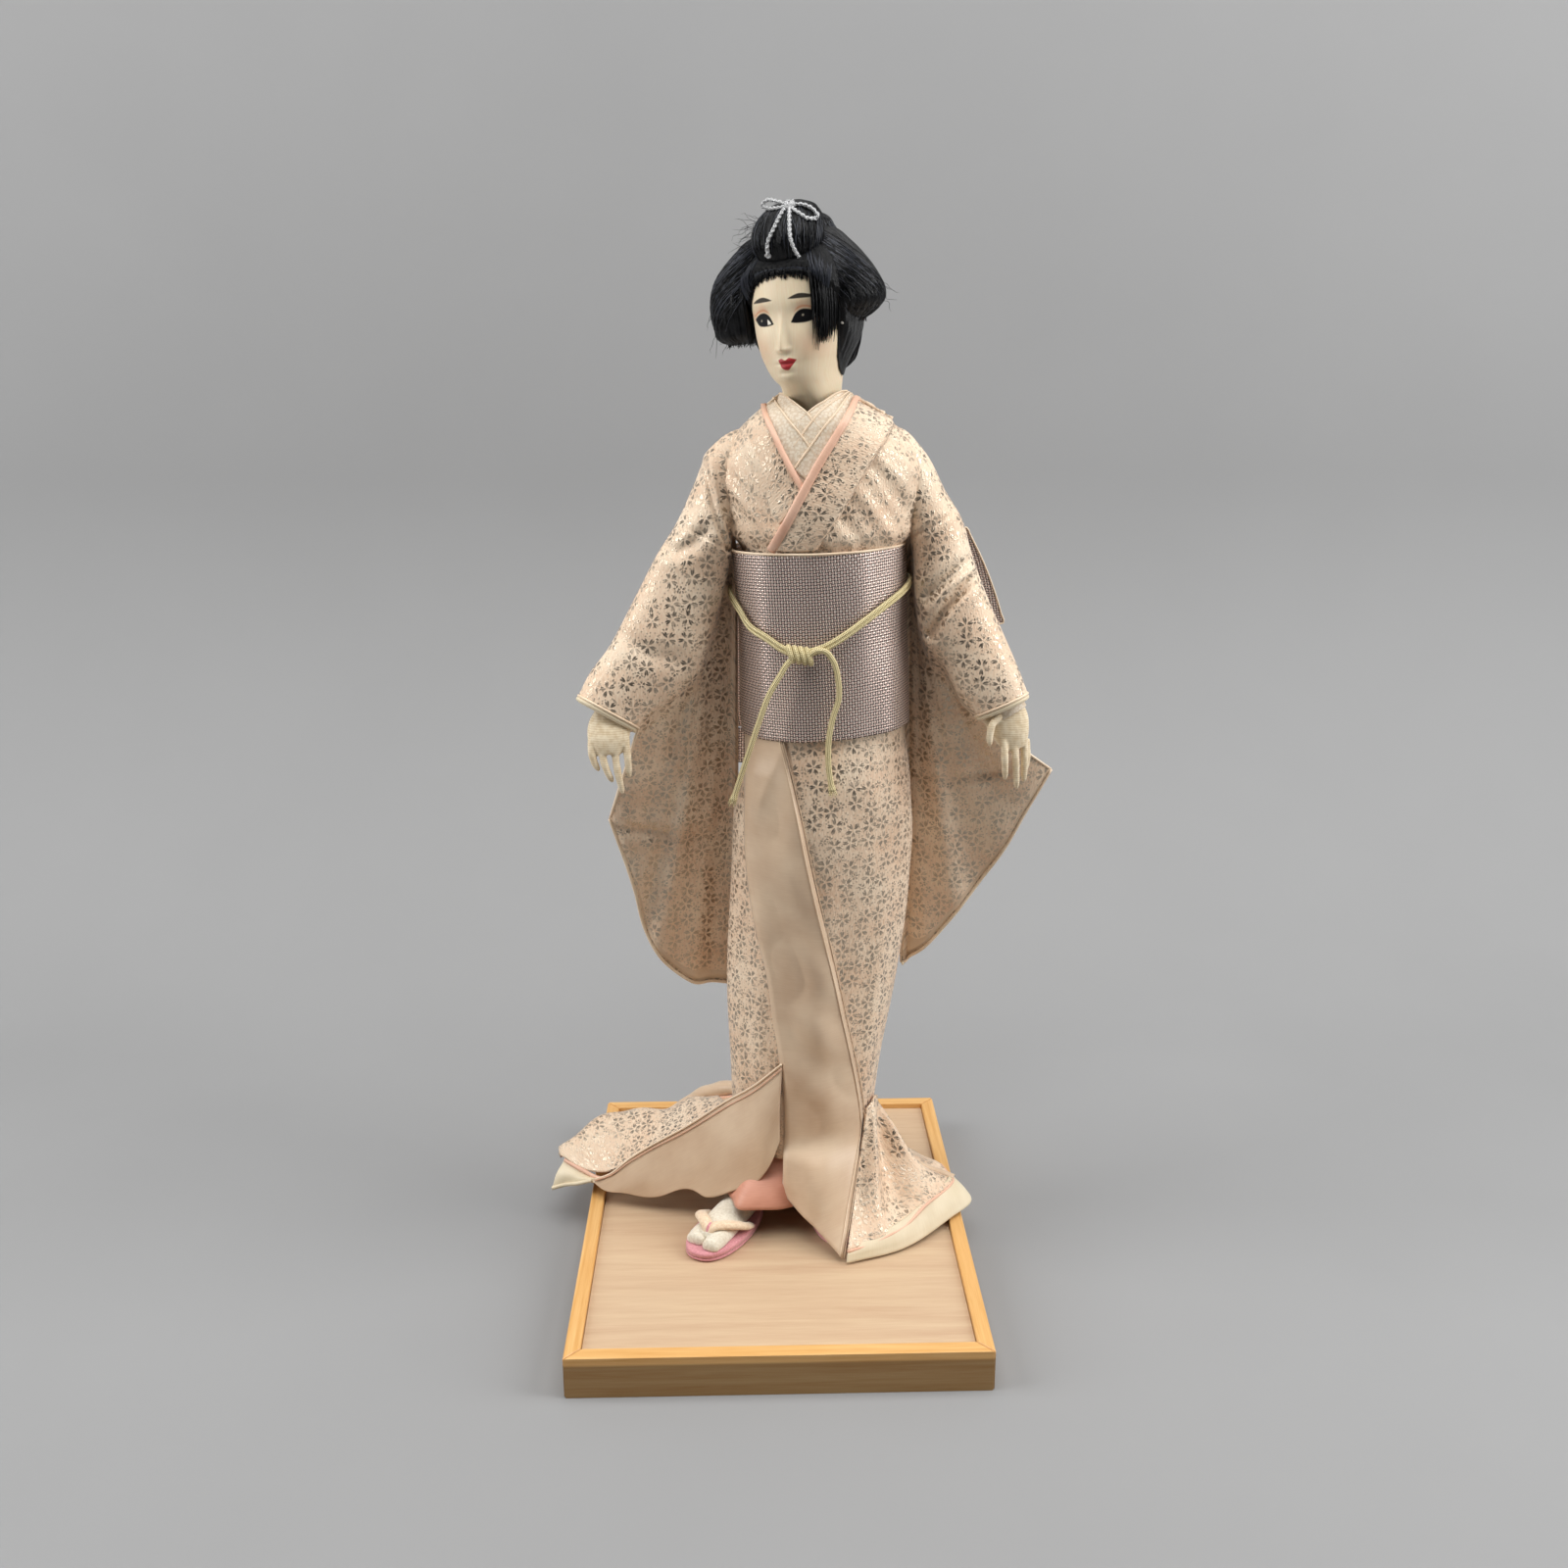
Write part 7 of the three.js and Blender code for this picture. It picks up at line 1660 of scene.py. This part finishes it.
# bow of silver tinsel cord on the top roll, with two short tails down the front
bowLook = {
    "radius": 0.62, "twist": 1.9,
    "loops": [[(3.4, -11, 83.4), (-1, -11.2, 85.4), (-6.2, -10.6, 86.2), (-7.6, -10.8, 85), (-5.8, -11.2, 83.8),
            (-1.2, -11.8, 83), (3.4, -11.6, 83)], [(4.6, -11, 83.4), (9, -9.8, 83), (12.6, -8.4, 80.4),
            (13.8, -8.6, 78.2), (12.4, -9.6, 77.6), (9, -11.4, 79.8), (5, -11.6, 82.8)]],
    # x and height of each tail, laid on the roll
    "tails": [[(3.2, 83), (2.2, 80), (0.6, 75.6), (-1.8, 70.6), (-2.8, 66)],
        [(4.8, 83), (5.6, 80), (6.6, 75), (7.4, 69), (8.6, 61.6)]]}


def rope(path, radius, twist):
    # two strands laid round each other, as a tube whose section turns along the path
    path = smoothLine(path, 130)
    run = runAlong(path)[:, None]
    angle = fullTurn(12)
    radius = np.broadcast_to(radius, 130)[:, None] * (1 + 0.32 * np.cos(2 * angle - 2 * np.pi * run / twist))
    return patch(onHead(sweep(path, radius * np.cos(angle), radius * np.sin(angle), (0, 1, 0.2))), wrap=True, caps=True)


def makeBow(look):
    def onTop(path):
        # not sunk in the roll
        x, y, wide, deep = smoothTable(hairRolls["front_hair_roll"], np.clip(path[:, 2], 62, 85.8))
        depth = y - (deep + 0.7) * (1 - np.clip(np.abs(path[:, 0] - x) / (wide + 0.7), 0, 0.98) ** 2.27) ** 0.44
        return np.stack([path[:, 0], np.minimum(path[:, 1], depth), path[:, 2]], axis=-1)

    parts = [rope(onTop(smoothLine(loop, 40)), look["radius"], look["twist"]) for loop in look["loops"]]
    knot = [(3.2, -10.6, 84.8), (3.4, -12.4, 83.6), (4.1, -12.9, 82.6), (4.8, -12.3, 83.2), (5, -10.4, 84.6)]
    parts.append(rope(knot, 0.85, look["twist"]))
    for tail in look["tails"]:
        tail = smoothLine(tail, 40)
        path = onTop(np.stack([tail[:, 0], np.full(40, -9.5), tail[:, 1]], axis=-1))
        # each tail is bound near its end and spreads below
        size = look["radius"] * np.interp(np.arange(130), [0, 104, 108, 112, 129], [1, 1, 1.4, 0.95, 1.8])
        parts.append(rope(path, size, look["twist"]))
    settle(makePiece("silver_hair_bow", parts, silverTwist), "silver_cord", "hair_bow", body="head")


makeBow(bowLook)

# pearl at the left ear
pearlLook = {"radius": 1.1, "place": (18.9, -6.5, 40)}
turn = np.linspace(0.02, np.pi - 0.02, 20)[:, None]
ring = fullTurn(24)[None, :]
ball = np.stack([np.sin(turn) * np.cos(ring), np.sin(turn) * np.sin(ring), np.cos(turn) + 0 * ring], -1)
ball = ball * pearlLook["radius"] + pearlLook["place"]
settle(makePiece("glass_ear_pearl", patch(onHead(ball), wrap=True, caps=True), glassPearl), "pearl", "ear_pearl",
       body="head")
print("stage: hair dressed")
